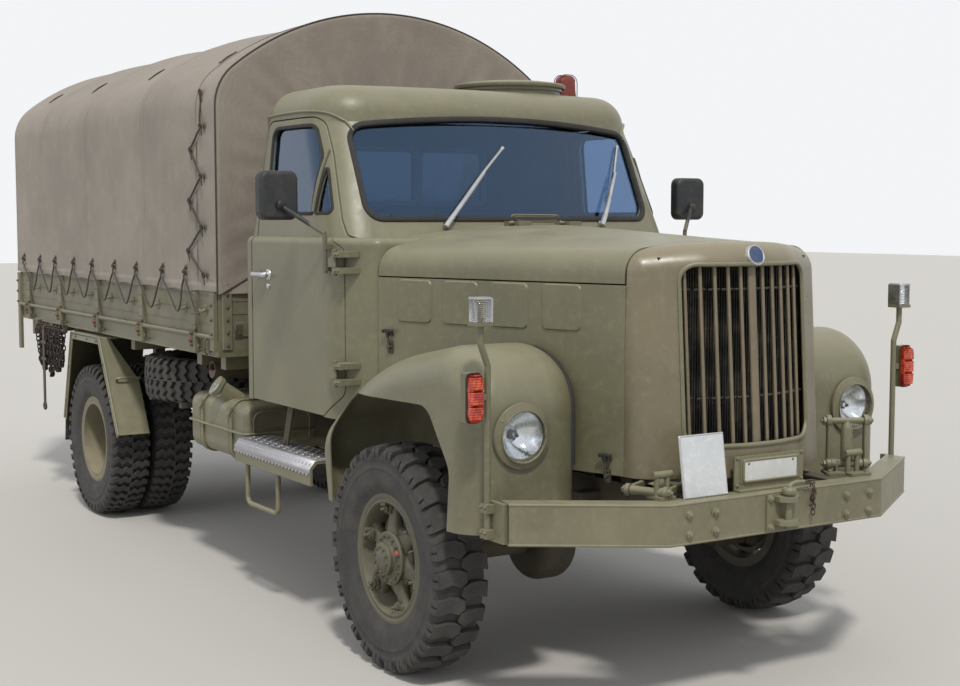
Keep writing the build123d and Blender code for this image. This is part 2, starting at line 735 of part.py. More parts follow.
with BuildPart() as grille_shell:
    add(shell_form(0))
    add(shell_form(shell_sheet), mode=Mode.SUBTRACT)
    add(block((shell_seam_x, shell_front_x + 200), (-600, 600), (shell_bottom_z, 2000)), mode=Mode.INTERSECT)
    with BuildSketch(Plane.YZ.offset(shell_seam_x + 60)):
        with Locations((0, (grille_bottom + grille_top) / 2)):
            RectangleRounded(2 * grille_half, grille_top - grille_bottom, 62)
    extrude(amount=400, mode=Mode.SUBTRACT)
grille_shell.part.label = "grille_shell"
export_step(grille_shell.part, "parts/grille_shell.step")

# Grille: upright bars on curved rails, with a broad middle post
bar_width = 24.0
bar_depth = 36.0
bar_set_back = 24.0
post_width = 58.0
face_radius = 650.0
bar_pitch = (grille_half - post_width / 2) / grille_bars
bar_lean = degrees(atan2(shell_lean, grille_top - grille_bottom))


def face_drop(y):
    return face_radius - sqrt(face_radius**2 - y**2)


def bar(y, width):
    foot_z = grille_bottom - 34
    foot_x = shell_front_x - bar_set_back - face_drop(y) + shell_lean * 34 / (grille_top - grille_bottom)
    with BuildPart() as piece:
        with BuildSketch(Plane(origin=(foot_x, y, foot_z), x_dir=(1, 0, 0), z_dir=(-sin(radians(bar_lean)), 0, cos(radians(bar_lean))))):
            with Locations((-bar_depth / 2, 0)):
                Rectangle(bar_depth, width)
        extrude(amount=(grille_top - grille_bottom + 56) / cos(radians(bar_lean)))
    return piece.part


with BuildPart() as grille:
    add(bar(0, post_width))
    for n in range(grille_bars):
        y = post_width / 2 + (n + 0.5) * bar_pitch
        add(bar(y, bar_width))
        add(bar(-y, bar_width))
    for z in (grille_bottom - 26, (grille_bottom + grille_top) / 2, grille_top - 2):
        front = shell_front_x - bar_set_back - bar_depth + 8 - shell_lean * (z - grille_bottom) / (grille_top - grille_bottom)
        with BuildSketch(Plane.XY.offset(z)):
            with BuildLine():
                low = ThreePointArc((front - face_drop(345), -345), (front, 0), (front - face_drop(345), 345))
                high = ThreePointArc((front - 14 - face_drop(345), -345), (front - 14, 0), (front - 14 - face_drop(345), 345))
                Line(low @ 0, high @ 0)
                Line(low @ 1, high @ 1)
            make_face()
        extrude(amount=20)
grille.part.label = "grille_bars"
export_step(grille.part, "parts/grille_bars.step")

# Headlamps: a bowl with a rounded ring, and a domed glass
with BuildPart() as headlamp:
    with BuildSketch(Plane.XY):
        with BuildLine():
            Polyline(
                (fender_front_x - 96, 0),
                (fender_front_x - 90, 70),
                (fender_front_x - 40, socket_radius - seat_gap),
                (fender_front_x + 1, socket_radius - seat_gap),
                (fender_front_x + 4, 134),
                (fender_front_x + 16, 133),
                (fender_front_x + 26, 104),
                (fender_front_x + 14, 102.8),
                (fender_front_x - 76, 62),
                (fender_front_x - 84, 0),
                close=True,
            )
        make_face()
    revolve(axis=Axis.X)
ring_right = Pos(0, -headlamp_y, headlamp_z) * headlamp.part
with BuildPart() as lens:
    with BuildSketch(Plane.XY):
        with BuildLine():
            Polyline(
                (fender_front_x + 15, 0),
                (fender_front_x + 15, 102.4),
                (fender_front_x + 20, 102.4),
                (fender_front_x + 30, 76),
                (fender_front_x + 37, 40),
                (fender_front_x + 39, 0),
                close=True,
            )
        make_face()
    revolve(axis=Axis.X)
lens_right = Pos(0, -headlamp_y, headlamp_z) * lens.part

# Marker rods: cranked tubes on the bumper's ends that carry a small lamp and the turn signal
rod_x = front_axle_x + 838.0
rod_y = 1118.0
rod_foot_z = bumper_bottom + 40.0
rod_top_z = 1588.0
rod_crank = 32.0
signal_y = rod_y + 68.0
signal_z = 1308.0
with BuildPart() as marker_rod:
    with BuildLine():
        Polyline(
            (rod_x, -rod_y, rod_foot_z),
            (rod_x, -rod_y, 1430),
            (rod_x, -rod_y - rod_crank, 1515),
            (rod_x, -rod_y - rod_crank, rod_top_z),
        )
    with BuildSketch(Plane(origin=(rod_x, -rod_y, rod_foot_z), z_dir=(0, 0, 1))):
        Circle(13)
    sweep(transition=Transition.RIGHT)
    # foot plate and clamps beside the bumper's end
    add(block((rod_x - 30, bumper_end_x - 20), (-bumper_end_half - 14, -bumper_end_half + 10), (bumper_bottom + 4, bumper_bottom + bumper_height - 4)))
    add(front_bumper.part, mode=Mode.SUBTRACT)
    for z in (rod_foot_z - 24, rod_foot_z + 76):
        add(block((rod_x - 24, rod_x + 24), (-rod_y - 20, -bumper_end_half - 8), (z, z + 36)))
    # plate under the top lamp, arm and box of the turn signal
    add(block((rod_x - 36, rod_x + 36), (-rod_y - rod_crank - 36, -rod_y - rod_crank + 36), (rod_top_z - 4, rod_top_z + 10)))
    add(block((rod_x - 12, rod_x + 8), (-signal_y + 20, -rod_y), (signal_z - 12, signal_z + 12)))
    add(block((rod_x - 34, rod_x + 8), (-signal_y - 33, -signal_y + 33), (signal_z - 96, signal_z + 96)))
lamp_holders = Compound([ring_right, mirrored(ring_right), marker_rod.part, mirrored(marker_rod.part)])
lamp_holders.label = "lamp_holders"
export_step(lamp_holders, "parts/lamp_holders.step")

with BuildPart() as top_lamp:
    with BuildSketch(Plane.XY.offset(rod_top_z + 10 + seat_gap)):
        with Locations((rod_x, -rod_y - rod_crank)):
            RectangleRounded(78, 68, 16)
    extrude(amount=92)
    fillet(top_lamp.edges().group_by(Axis.Z)[-1], 14)
clear_lenses = Compound([lens_right, mirrored(lens_right), top_lamp.part, mirrored(top_lamp.part)])
clear_lenses.label = "clear_lenses"
export_step(clear_lenses, "parts/clear_lenses.step")

# Turn signals: deep amber lenses that show forwards and outwards
with BuildPart() as signal_lens:
    with BuildSketch(Plane.YZ.offset(rod_x + 8 + seat_gap)):
        with Locations((-signal_y, signal_z)):
            RectangleRounded(66, 190, 20)
    extrude(amount=34)
    fillet(signal_lens.edges().group_by(Axis.X)[-1], 10)
signal_right = signal_lens.part

# Engine: one closed block with its radiator, and the shell's bulkhead behind the grille
with BuildPart() as engine:
    add(block((front_axle_x - 330, front_axle_x + 700), (-265, 265), (frame_top - 60, 1500)))
    add(block((front_axle_x + 690, front_axle_x + 790), (-90, 90), (1000, 1420)))
    add(block((front_axle_x + 780, front_axle_x + 860), (-350, 350), (960, 1760)))
    # feet on the frame rails
    for low, high in ((-250, -170), (520, 600), (786, 854)):
        add(block((front_axle_x + low, front_axle_x + high), (-frame_half_width + 4, frame_half_width - 4), (frame_top + seat_gap, frame_top + 70)))
engine.part.label = "engine"
export_step(engine.part, "parts/engine.step")


# Cab: lower body, scuttle and tapered upper part, all drawn again further in for the inner faces
belt_drop = 10.0             # the upper part starts this far below the top of the lower body
upper_low_z = belt_z - belt_drop
upper_top_z = 2470.0
upper_low_half = 1030.0
upper_top_half = 975.0
screen_low_x = front_axle_x - 546.0
screen_top_x = front_axle_x - 800.0
screen_radius = 4200.0
roof_rim = 165.0
roof_lean = 10.0             # degrees that the roof's sides lean inwards
belt_rounding = 34.0         # along the top of the lower body
scuttle_length = 340.0
cab_corner_x = front_axle_x - 600.0
cab_floor_top = cab_bottom + 40.0
roof_sheet = 30.0


def lower_plan(inset):
    points = [
        (cab_rear_x, cab_half),
        (cab_corner_x, cab_half),
        (hood_rear_x, hood_rear_half + 5),
        (hood_rear_x, -hood_rear_half - 5),
        (cab_corner_x, -cab_half),
        (cab_rear_x, -cab_half),
        (cab_rear_x, cab_half),
        (cab_corner_x, cab_half),
    ]
    return inset_line(points, inset)[1:-1]


def lower_body(inset, low, high, rounding=0.0):
    points = lower_plan(inset)
    with BuildPart() as form:
        with BuildSketch(Plane.XY.offset(low)) as plan:
            with BuildLine():
                Polyline(*points, close=True)
            make_face()
            for x, y, radius in (
                (cab_corner_x - inset * 0.3, cab_half - inset, 300.0),
                (hood_rear_x - inset, hood_rear_half - inset * 0.6, 60.0),
                (cab_rear_x + inset, cab_half - inset, 120.0),
            ):
                for s in (-1, 1):
                    corner = plan.vertices().sort_by(lambda v: hypot(v.X - x, v.Y - s * y))[0]
                    fillet(corner, radius - inset)
        extrude(amount=high - low)
        if rounding:
            fillet(form.edges().group_by(Axis.Z)[-1], rounding)
    return form.part


def upper_section(z, half, front, rear_radius, front_radius, inset):
    drop = (half - inset) ** 2 / (2 * screen_radius)
    low_x = cab_rear_x + inset
    front = front - inset
    with BuildSketch(Plane.XY.offset(z)) as section:
        with BuildLine():
            ThreePointArc((front - drop, -half + inset), (front, 0), (front - drop, half - inset))
            Polyline((front - drop, half - inset), (low_x, half - inset), (low_x, -half + inset), (front - drop, -half + inset))
        make_face()
        fillet(section.vertices().group_by(Axis.X)[0], rear_radius - inset)
        fillet(section.vertices().group_by(Axis.X)[-1], front_radius - inset)
    return section.sketch


def upper_body(inset, roof_inset):
    low = upper_section(upper_low_z, upper_low_half, screen_low_x, 120.0, 230.0, inset)
    high = upper_section(upper_top_z, upper_top_half, screen_top_x, 230.0, 280.0, inset)
    with BuildPart() as form:
        loft(sections=[low.face(), high.face()], ruled=True)
        extrude(high.face(), amount=roof_z - roof_inset - upper_top_z, taper=roof_lean)
        rim = form.edges().group_by(Axis.Z)[-1]
        fillet(rim, roof_rim - inset)
        extrude(low.face(), amount=-100.0)
    return form.part


with BuildPart() as cab_outer:
    add(lower_body(0, cab_bottom, belt_z, belt_rounding))
    add(upper_body(0, 0))
    scuttle = hood_section(hood_rear_x, hood_rear_half, hood_rear_crown, 0, hood_line_z - 300)
    extrude(scuttle.face(), amount=-scuttle_length)
with BuildPart() as cab_inner:
    add(lower_body(wall, cab_bottom - 60, belt_z - wall))
    add(upper_body(wall, roof_sheet))
    scuttle = hood_section(hood_rear_x - wall, hood_rear_half, hood_rear_crown, wall, hood_line_z - 300)
    extrude(scuttle.face(), amount=-scuttle_length)

# Outlines seen from the side: distance from the front axle, height, radius of the corner
door_outline = (
    (-1545, cab_bottom + 6, 0),
    (-1545, 2492, 95),
    (-985, 2492, 110),
    (-885, 2310, 500),
    (-735, 1985, 150),
    (-690, belt_z + 6, 50),
    (-551, belt_z - 50, 50),
    (-551, 1170, 60),
    (-622, 1118, 0),
    (-716, cab_bottom + 6, 0),
)
door_rear_extra = 8.0
door_hinge_heights = (1250, 1770)
# window openings: main light, then quarter light
light_outline = ((-1450, 2020, 25), (-1450, 2455, 60), (-1010, 2455, 70), (-917, 2290, 200), (-917, 2020, 15))
quarter_outline = ((-889, 2020, 15), (-889, 2268, 8), (-779, 2020, 22))


def outline_face(outline, grow):
    with BuildSketch() as shape:
        with BuildLine():
            Polyline(*[(front_axle_x + x, z) for x, z, radius in outline], close=True)
        make_face()
        for x, z, radius in outline:
            if radius:
                corner = shape.vertices().sort_by(lambda v: hypot(v.X - front_axle_x - x, v.Y - z))[0]
                fillet(corner, radius)
        if grow:
            offset(amount=grow, kind=Kind.INTERSECTION)
    return shape.sketch


def side_prism(outline, grow=0.0, inner_y=850.0, depth=400.0, rear_extra=0.0):
    """An outline in the side view, drawn out through the right side of the cab."""
    with BuildPart() as prism:
        with BuildSketch(Plane.XZ.offset(inner_y)):
            add(outline_face(outline, grow))
            if rear_extra:
                add(Pos(-rear_extra, 0) * outline_face(outline, grow))
        extrude(amount=depth)
    return prism.part


lights = side_prism(light_outline) + side_prism(quarter_outline)

with BuildPart() as door_blank:
    add(cab_outer.part)
    add(cab_inner.part, mode=Mode.SUBTRACT)
    add(side_prism(door_outline), mode=Mode.INTERSECT)
    add(lights, mode=Mode.SUBTRACT)
    # handle
    add(block((front_axle_x - 1455, front_axle_x - 1345), (-cab_half - 34, -cab_half - 22), (1700, 1722)))
    for x in (-1450, -1362):
        add(block((front_axle_x + x, front_axle_x + x + 12), (-cab_half - 24, -cab_half + 2), (1700, 1722)))
    # hinge knuckles on the front edge
    hinge_x = front_axle_x - 545.0
    hinge_y = cab_half + 20.0
    for z in door_hinge_heights:
        add(block((hinge_x - 60, hinge_x - 6), (-hinge_y + 4, -cab_half + 30), (z, z + 46)))
        add(rod((hinge_x, -hinge_y, z), (hinge_x, -hinge_y, z + 46), 10))
        add(block((hinge_x - 60, hinge_x), (-hinge_y - 4, -hinge_y + 8), (z, z + 46)))
door_right = door_blank.part
door_right.label = "door_right"
export_step(door_right, "parts/door_right.step")
door_left = mirrored(door_right)
door_left.label = "door_left"
export_step(door_left, "parts/door_left.step")

# Window glass: thin shells in the middle of the wall
glass_depth = 16.0
with BuildPart() as pane_form:
    add(upper_body(glass_depth, glass_depth))
    add(upper_body(glass_depth + glass_thickness, glass_depth + glass_thickness), mode=Mode.SUBTRACT)
pane_shell = pane_form.part
with BuildPart() as door_glass:
    add(pane_shell)
    add(side_prism(light_outline, -0.4) + side_prism(quarter_outline, -0.4), mode=Mode.INTERSECT)
door_glass_right = door_glass.part
door_glass_right.label = "door_glass_right"
export_step(door_glass_right, "parts/door_glass_right.step")
door_glass_left = mirrored(door_glass_right)
door_glass_left.label = "door_glass_left"
export_step(door_glass_left, "parts/door_glass_left.step")

# Windscreen and rear windows, seen from the front
screen_half = 832.0
screen_corner = 75.0
screen_low_z = 2002.0
screen_high_z = 2440.0
screen_crown_z = 2492.0
rear_light_half = 430.0
rear_light_low = 2085.0
rear_light_high = 2375.0
rear_bar = 34.0


def screen_prism(shrink):
    with BuildPart() as prism:
        with BuildSketch(Plane.YZ.offset(front_axle_x - 1050)) as face:
            with BuildLine():
                ThreePointArc((-screen_half, screen_high_z), (0, screen_crown_z), (screen_half, screen_high_z))
                Polyline((screen_half, screen_high_z), (screen_half, screen_low_z), (-screen_half, screen_low_z), (-screen_half, screen_high_z))
            make_face()
            fillet(face.vertices(), screen_corner)
            if shrink:
                offset(amount=-shrink)
        extrude(amount=700)
    return prism.part


def rear_prism(shrink):
    with BuildPart() as prism:
        with BuildSketch(Plane.YZ.offset(cab_rear_x - 60)):
            for s in (-1, 1):
                with Locations((s * (rear_light_half + rear_bar / 2) / 2, (rear_light_low + rear_light_high) / 2)):
                    RectangleRounded(rear_light_half - rear_bar / 2 - 2 * shrink, rear_light_high - rear_light_low - 2 * shrink, 30)
        extrude(amount=200)
    return prism.part


with BuildPart() as cab_glass:
    add(pane_shell)
    add(screen_prism(0.4) + rear_prism(0.4), mode=Mode.INTERSECT)
cab_glass.part.label = "cab_glass"
export_step(cab_glass.part, "parts/cab_glass.step")

# Roof hatch
hatch_x = front_axle_x - 1260.0
hatch_y = 350.0
hatch_radius = 290.0
hatch_hole = 258.0
hatch_hinge_x = hatch_x - hatch_radius - 12.0
ring_top_z = roof_z + 16.0
lid_low_z = ring_top_z + 0.6
hatch_hinge_z = lid_low_z + 10.0

# Steering column: tilted, and held in a boss on the dashboard
driver_y = -450.0
steer_angle = 38.0           # from level
steer_hub = (front_axle_x - 905.0, driver_y, 1800.0)
steer_axis = (-cos(radians(steer_angle)), 0, sin(radians(steer_angle)))
column_reach = (hood_rear_x - 230 - steer_hub[0]) / cos(radians(steer_angle))
column_end = tuple(Vector(*steer_hub) - Vector(*steer_axis) * column_reach)
column_foot = tuple(Vector(*steer_hub) - Vector(*steer_axis) * (column_reach + 0.6))
boss_foot = tuple(Vector(*steer_hub) - Vector(*steer_axis) * (column_reach + 100))

# Cab shell
dash_z = (1480.0, 1850.0)
with BuildPart() as cab_shell:
    add(cab_outer.part)
    add(cab_inner.part, mode=Mode.SUBTRACT)
    opening = side_prism(door_outline, door_gap, inner_y=850.0 - door_gap, rear_extra=door_rear_extra)
    add(opening, mode=Mode.SUBTRACT)
    add(mirrored(opening), mode=Mode.SUBTRACT)
    add(screen_prism(0), mode=Mode.SUBTRACT)
    add(rear_prism(0), mode=Mode.SUBTRACT)
    # floor
    add(lower_body(wall + door_gap, cab_bottom, cab_floor_top))
    add(block((cab_rear_x + 20, cab_rear_x + 120), (-900, 900), (cab_bottom, cab_floor_top)))
    add(block((hood_rear_x - 120, hood_rear_x - 20), (-850, 850), (cab_bottom, cab_floor_top)))
    # dashboard
    add(block((hood_rear_x - 190, hood_rear_x - 20), (-880, 880), dash_z))
    # knuckles of the hood's hinge
    for s in (-1, 1):
        for low in (s * hood_hinge_y - hinge_half - 30.6, s * hood_hinge_y + hinge_half + 0.6):
            add(rod((hood_rear_x, low, hood_hinge_z), (hood_rear_x, low + 30, hood_hinge_z), 8))
            add(block((hood_rear_x - 40, hood_rear_x), (low, low + 30), (hood_rear_crown - 20, hood_hinge_z + 8)))
    # boss that holds the steering column
    add(rod(column_foot, boss_foot, 30))
    # feet on the frame
    for x in (hood_rear_x - 190, cab_rear_x + 90):
        for s in (-1, 1):
            add(block((x, x + 90), sorted((s * (frame_half_width - 66), s * (frame_half_width - 4))), (frame_top + seat_gap, cab_bottom + 4)))
    # hatch ring
    with BuildSketch(Plane.XY.offset(roof_z - roof_sheet)):
        with Locations((hatch_x, hatch_y)):
            Circle(hatch_radius - 12)
    extrude(amount=roof_sheet + 16)
    with BuildSketch(Plane.XY.offset(roof_z - 100)):
        with Locations((hatch_x, hatch_y)):
            Circle(hatch_hole)
    extrude(amount=200, mode=Mode.SUBTRACT)
    for dy in (-120, 120):
        for low in (hatch_y + dy - 51, hatch_y + dy + 26):
            add(rod((hatch_hinge_x, low, hatch_hinge_z), (hatch_hinge_x, low + 25, hatch_hinge_z), 8))
            add(block((hatch_hinge_x - 24, hatch_hinge_x + 4), (low, low + 25), (roof_z - 24, hatch_hinge_z + 4)))
    # hinge lugs of the doors
    for z in door_hinge_heights:
        for s in (-1, 1):
            for low in (z - 28.6, z + 46.6):
                add(block((hinge_x - 4, hinge_x + 70), sorted((s * (cab_half - 75), s * (hinge_y + 8))), (low, low + 28)))
    add(fender_solid, mode=Mode.SUBTRACT)
    add(mirrored(fender_solid), mode=Mode.SUBTRACT)
cab_shell_part = cab_shell.part.solids().sort_by(lambda p: p.volume)[-1]
cab_shell_part.label = "cab_shell"
export_step(cab_shell_part, "parts/cab_shell.step")

with BuildPart() as hatch_lid:
    with BuildSketch(Plane.XY.offset(lid_low_z)):
        with Locations((hatch_x, hatch_y)):
            Circle(hatch_radius)
    extrude(amount=20)
    fillet(hatch_lid.edges().group_by(Axis.Z)[-1], 14)
    for dy in (-120, 120):
        middle = hatch_y + dy
        add(rod((hatch_hinge_x, middle - 25, hatch_hinge_z), (hatch_hinge_x, middle + 25, hatch_hinge_z), 8))
        add(block((hatch_hinge_x, hatch_x - hatch_radius + 70), (middle - 25, middle + 25), (lid_low_z + 2, lid_low_z + 18)))
hatch_lid.part.label = "hatch_lid"
export_step(hatch_lid.part, "parts/hatch_lid.step")

# Padded stop beside the hatch
pad_x = hatch_x
pad_low_y = hatch_y + hatch_radius + 20.0
with BuildPart() as hatch_pad:
    with BuildSketch(Plane.XZ.offset(-pad_low_y)):
        with Locations((pad_x, roof_z + 74)):
            RectangleRounded(56, 136, 24)
    extrude(amount=-130)
    add(block((pad_x - 20, pad_x + 20), (pad_low_y + 10, pad_low_y + 120), (roof_z - 30, roof_z + 10)))
    add(cab_outer.part, mode=Mode.SUBTRACT)
hatch_pad.part.label = "hatch_pad"
export_step(hatch_pad.part, "parts/hatch_pad.step")

# Seats
with BuildPart() as seats:
    for low_y, high_y in ((driver_y - 250, driver_y + 250), (60, 900)):
        with BuildSketch(Plane.XZ.offset(-low_y)):
            with BuildLine():
                Polyline(
                    (cab_rear_x + 150, cab_floor_top + seat_gap),
                    (cab_rear_x + 560, cab_floor_top + seat_gap),
                    (cab_rear_x + 560, cab_floor_top + 300),
                    (cab_rear_x + 600, cab_floor_top + 330),
                    (cab_rear_x + 600, cab_floor_top + 430),
                    (cab_rear_x + 210, cab_floor_top + 410),
                    (cab_rear_x + 160, cab_floor_top + 960),
                    (cab_rear_x + 70, cab_floor_top + 960),
                    (cab_rear_x + 100, cab_floor_top + 330),
                    (cab_rear_x + 150, cab_floor_top + 300),
                    close=True,
                )
            make_face()
        extrude(amount=-(high_y - low_y))
seats.part.label = "seats"
export_step(seats.part, "parts/seats.step")

# Steering wheel and its column, which ends at the dashboard
with BuildPart() as steering_wheel:
    with BuildSketch(Plane(origin=steer_hub, x_dir=(0, 1, 0), z_dir=steer_axis)):
        Circle(232)
        Circle(206, mode=Mode.SUBTRACT)
        Rectangle(430, 26)
        with Locations((0, -105)):
            Rectangle(26, 210)
        Circle(46)
    extrude(amount=22, both=True)
    add(rod(steer_hub, column_end, 22))
steering_wheel.part.label = "steering_wheel"
export_step(steering_wheel.part, "parts/steering_wheel.step")

# Mirrors on arms at the front edges of the doors
mirror_x = front_axle_x - 810.0
mirror_y = 1250.0
with BuildPart() as mirror_right:
    with BuildSketch(Plane.YZ.offset(mirror_x - 32)):
        with Locations((-mirror_y, 2105)):
            RectangleRounded(196, 232, 40)
    extrude(amount=62)
    fillet(mirror_right.edges().group_by(Axis.X)[-1], 22)
    add(rod((mirror_x + 24, -mirror_y, 2060), (front_axle_x - 640, -cab_half - 22, 1925), 11))
    add(rod((front_axle_x - 640, -cab_half - 22, 1925), (front_axle_x - 640, -cab_half - 22, 1740), 11))
    for z in (1750, 1850):
        add(block((front_axle_x - 655, front_axle_x - 625), (-cab_half - 26, -cab_half + 12), (z, z + 24)))
    add(door_right, mode=Mode.SUBTRACT)
mirror_right_part = mirror_right.part
mirror_right_part.label = "mirror_right"
export_step(mirror_right_part, "parts/mirror_right.step")
mirror_left = mirrored(mirror_right_part)
mirror_left.label = "mirror_left"
export_step(mirror_left, "parts/mirror_left.step")


# Bed: floor on cross bearers between two steel rails
rail_top = 1330.0
rail_thickness = 26.0
# place along the truck, half length of the bearer
bearers = tuple((x, 590.0 if abs(x - rear_axle_x) < 300 else 1010.0) for x in stool_places)
tailgate_bottom = bed_floor_top + 5.0
tailgate_hinge_x = bed_rear_x - 10.0
tailgate_hinge_z = tailgate_bottom + 2.0
lug_y = 640.0
with BuildPart() as bed_floor:
    add(block((bed_rear_x + 4, bed_front_x), (-bed_half, bed_half), (bed_bottom, bed_floor_top)))
    for x, half in bearers:
        with BuildSketch(Plane.XZ.offset(-half)):
            with Locations((x, bed_bottom - bearer_height / 2)):
                Rectangle(70, bearer_height)
        extrude(amount=2 * half)
    for s in (-1, 1):
        add(block((bed_rear_x + 40, bed_front_x), sorted((s * (bed_half - rail_thickness), s * bed_half)), (bed_bottom, rail_top)))
        # hinge lugs of the tailgate
        add(rod((tailgate_hinge_x, s * lug_y - 40, tailgate_hinge_z), (tailgate_hinge_x, s * lug_y + 40, tailgate_hinge_z), 9))
        add(block((tailgate_hinge_x - 9, bed_rear_x + 8), (s * lug_y - 40, s * lug_y + 40), (bed_floor_top - 20, bed_floor_top)))
        # housings of the rear lamps, hung below the floor
        add(block((bed_rear_x + 10, bed_rear_x + 60), sorted((s * 820, s * 1000)), (bed_bottom - 130, bed_bottom)))
bed_floor.part.label = "bed_floor"
export_step(bed_floor.part, "parts/bed_floor.step")

# Side boards with ribs, hinge brackets, a tube rail and corner posts
# distance of each bracket and rib from the front axle
bracket_places = (-2290.0, -3180.0, -4046.0, -4889.0, -5696.0)
rib_depth = 22.0
post_bottom = 1000.0
with BuildPart() as bed_side:
    add(block((bed_rear_x + 46, bed_front_x - board_thickness - 2), (-bed_half, -bed_half + board_thickness), (rail_top + seat_gap, board_top)))
    for place in bracket_places:
        x = front_axle_x + place
        add(block((x - 32, x + 32), (-bed_half - rib_depth, -bed_half + 2), (rail_top + 2, canvas_bottom - 12)))
        add(block((x - 42, x + 42), (-bed_half - rib_depth - 10, -bed_half - seat_gap), (bed_bottom + 14, rail_top + 40)))
    add(rod((bed_rear_x + 50, -bed_half - 16, rail_top + 14), (bed_front_x - 10, -bed_half - 16, rail_top + 14), 12))
    for x in (bed_rear_x + 4, bed_front_x - 64):
        add(block((x, x + 60), (-bed_half - rib_depth, -bed_half - seat_gap), (post_bottom if x < rear_axle_x else rail_top - 60, canvas_bottom - 12)))
        add(block((x + 42 if x < rear_axle_x else x, x + 60), (-bed_half - 4, -bed_half + 2), (rail_top + 2, canvas_bottom - 12)))
bed_sides = Compound([bed_side.part, mirrored(bed_side.part)])
bed_sides.label = "bed_sides"
export_step(bed_sides, "parts/bed_sides.step")

with BuildPart() as bed_front:
    add(block((bed_front_x - board_thickness, bed_front_x), (-bed_half + rail_thickness + seat_gap, bed_half - rail_thickness - seat_gap), (bed_floor_top + seat_gap, rail_top + 2)))
    add(block((bed_front_x - board_thickness, bed_front_x), (-bed_half + 5, bed_half - 5), (rail_top + seat_gap, board_top)))
bed_front.part.label = "bed_front"
export_step(bed_front.part, "parts/bed_front.step")

# Tailgate: board with ribs, turning about its lower outer edge
with BuildPart() as tailgate:
    add(block((bed_rear_x, bed_rear_x + board_thickness), (-bed_half + 6, bed_half - 6), (tailgate_bottom, board_top - 5)))
    for y in (-900, -450, 0, 450, 900):
        add(block((bed_rear_x - 12, bed_rear_x + 2), (y - 32, y + 32), (tailgate_bottom, board_top - 5)))
    for low, high in ((-bed_half + 60, -lug_y - 40.6), (-lug_y + 40.6, lug_y - 40.6), (lug_y + 40.6, bed_half - 60)):
        add(rod((tailgate_hinge_x, low, tailgate_hinge_z), (tailgate_hinge_x, high, tailgate_hinge_z), 9))
        add(block((tailgate_hinge_x, bed_rear_x + 6), (low, high), (tailgate_bottom, tailgate_hinge_z + 9)))
tailgate.part.label = "tailgate"
export_step(tailgate.part, "parts/tailgate.step")


# Canvas cover: straight sides, rounded shoulders and an arched top
canvas_shoulder = 285.0


def canvas_section(x, inset, low):
    half = canvas_half - inset
    radius = canvas_crown_radius - inset
    side_z = canvas_apex - inset - radius + sqrt(radius**2 - half**2)
    with BuildSketch(Plane.YZ.offset(x)) as section:
        with BuildLine():
            ThreePointArc((-half, side_z), (0, canvas_apex - inset), (half, side_z))
            Polyline((half, side_z), (half, low), (-half, low), (-half, side_z))
        make_face()
        fillet(section.vertices().group_by(Axis.Y)[-1], canvas_shoulder - inset)
    return section.sketch


with BuildPart() as canvas_cover:
    extrude(canvas_section(canvas_rear_x, 0, canvas_bottom).face(), amount=canvas_front_x - canvas_rear_x, dir=(1, 0, 0))
    extrude(
        canvas_section(canvas_rear_x + canvas_thickness, canvas_thickness, canvas_bottom - 50).face(),
        amount=canvas_front_x - canvas_rear_x - 2 * canvas_thickness,
        dir=(1, 0, 0),
        mode=Mode.SUBTRACT,
    )
    # clearance above the tailgate
    add(
        block((canvas_rear_x - 5, canvas_rear_x + canvas_thickness + 5), (-canvas_half - 5, canvas_half + 5), (canvas_bottom - 5, board_top + 20)),
        mode=Mode.SUBTRACT,
    )
canvas_cover.part.label = "canvas_cover"
export_step(canvas_cover.part, "parts/canvas_cover.step")

# Rear mudguards: bent sheets with a turned rim, cut slantwise in front
mudguard_sheet = 6.0
mudguard_inner_y = 600.0
mudguard_outer_y = 1130.0
mudguard_top = bed_bottom - 20.0
with BuildPart() as mudguard:
    line = [
        (rear_axle_x + 625, 610),
        (rear_axle_x + 270, mudguard_top),
        (rear_axle_x - 350, mudguard_top),
        (rear_axle_x - 550, 596),
    ]
    with BuildSketch(Plane.XZ.offset(mudguard_inner_y)):
        with BuildLine():
            Polyline(*line, *inset_line(line, -mudguard_sheet)[::-1], close=True)
        make_face()
    extrude(amount=mudguard_outer_y - mudguard_inner_y)
    with BuildSketch(Plane.XZ.offset(mudguard_outer_y - 4)):
        with BuildLine():
            Polyline(*line, *inset_line(line, -44)[::-1], close=True)
        make_face()
    extrude(amount=4)
    # slanted inner edge of the front panel
    with BuildSketch(Plane.YZ.offset(rear_axle_x + 275)):
        with BuildLine():
            Polyline((-mudguard_inner_y + 5, 560), (-720, 560), (-1060, mudguard_top - 12), (-mudguard_inner_y + 5, mudguard_top - 12), close=True)
        make_face()
    extrude(amount=500, mode=Mode.SUBTRACT)
    for x in (rear_axle_x + 150, rear_axle_x - 220):
        add(block((x - 30, x + 30), (-860, -780), (mudguard_top - 3, bed_bottom - seat_gap)))
rear_mudguards = Compound([mudguard.part, mirrored(mudguard.part)])
rear_mudguards.label = "rear_mudguards"
export_step(rear_mudguards, "parts/rear_mudguards.step")

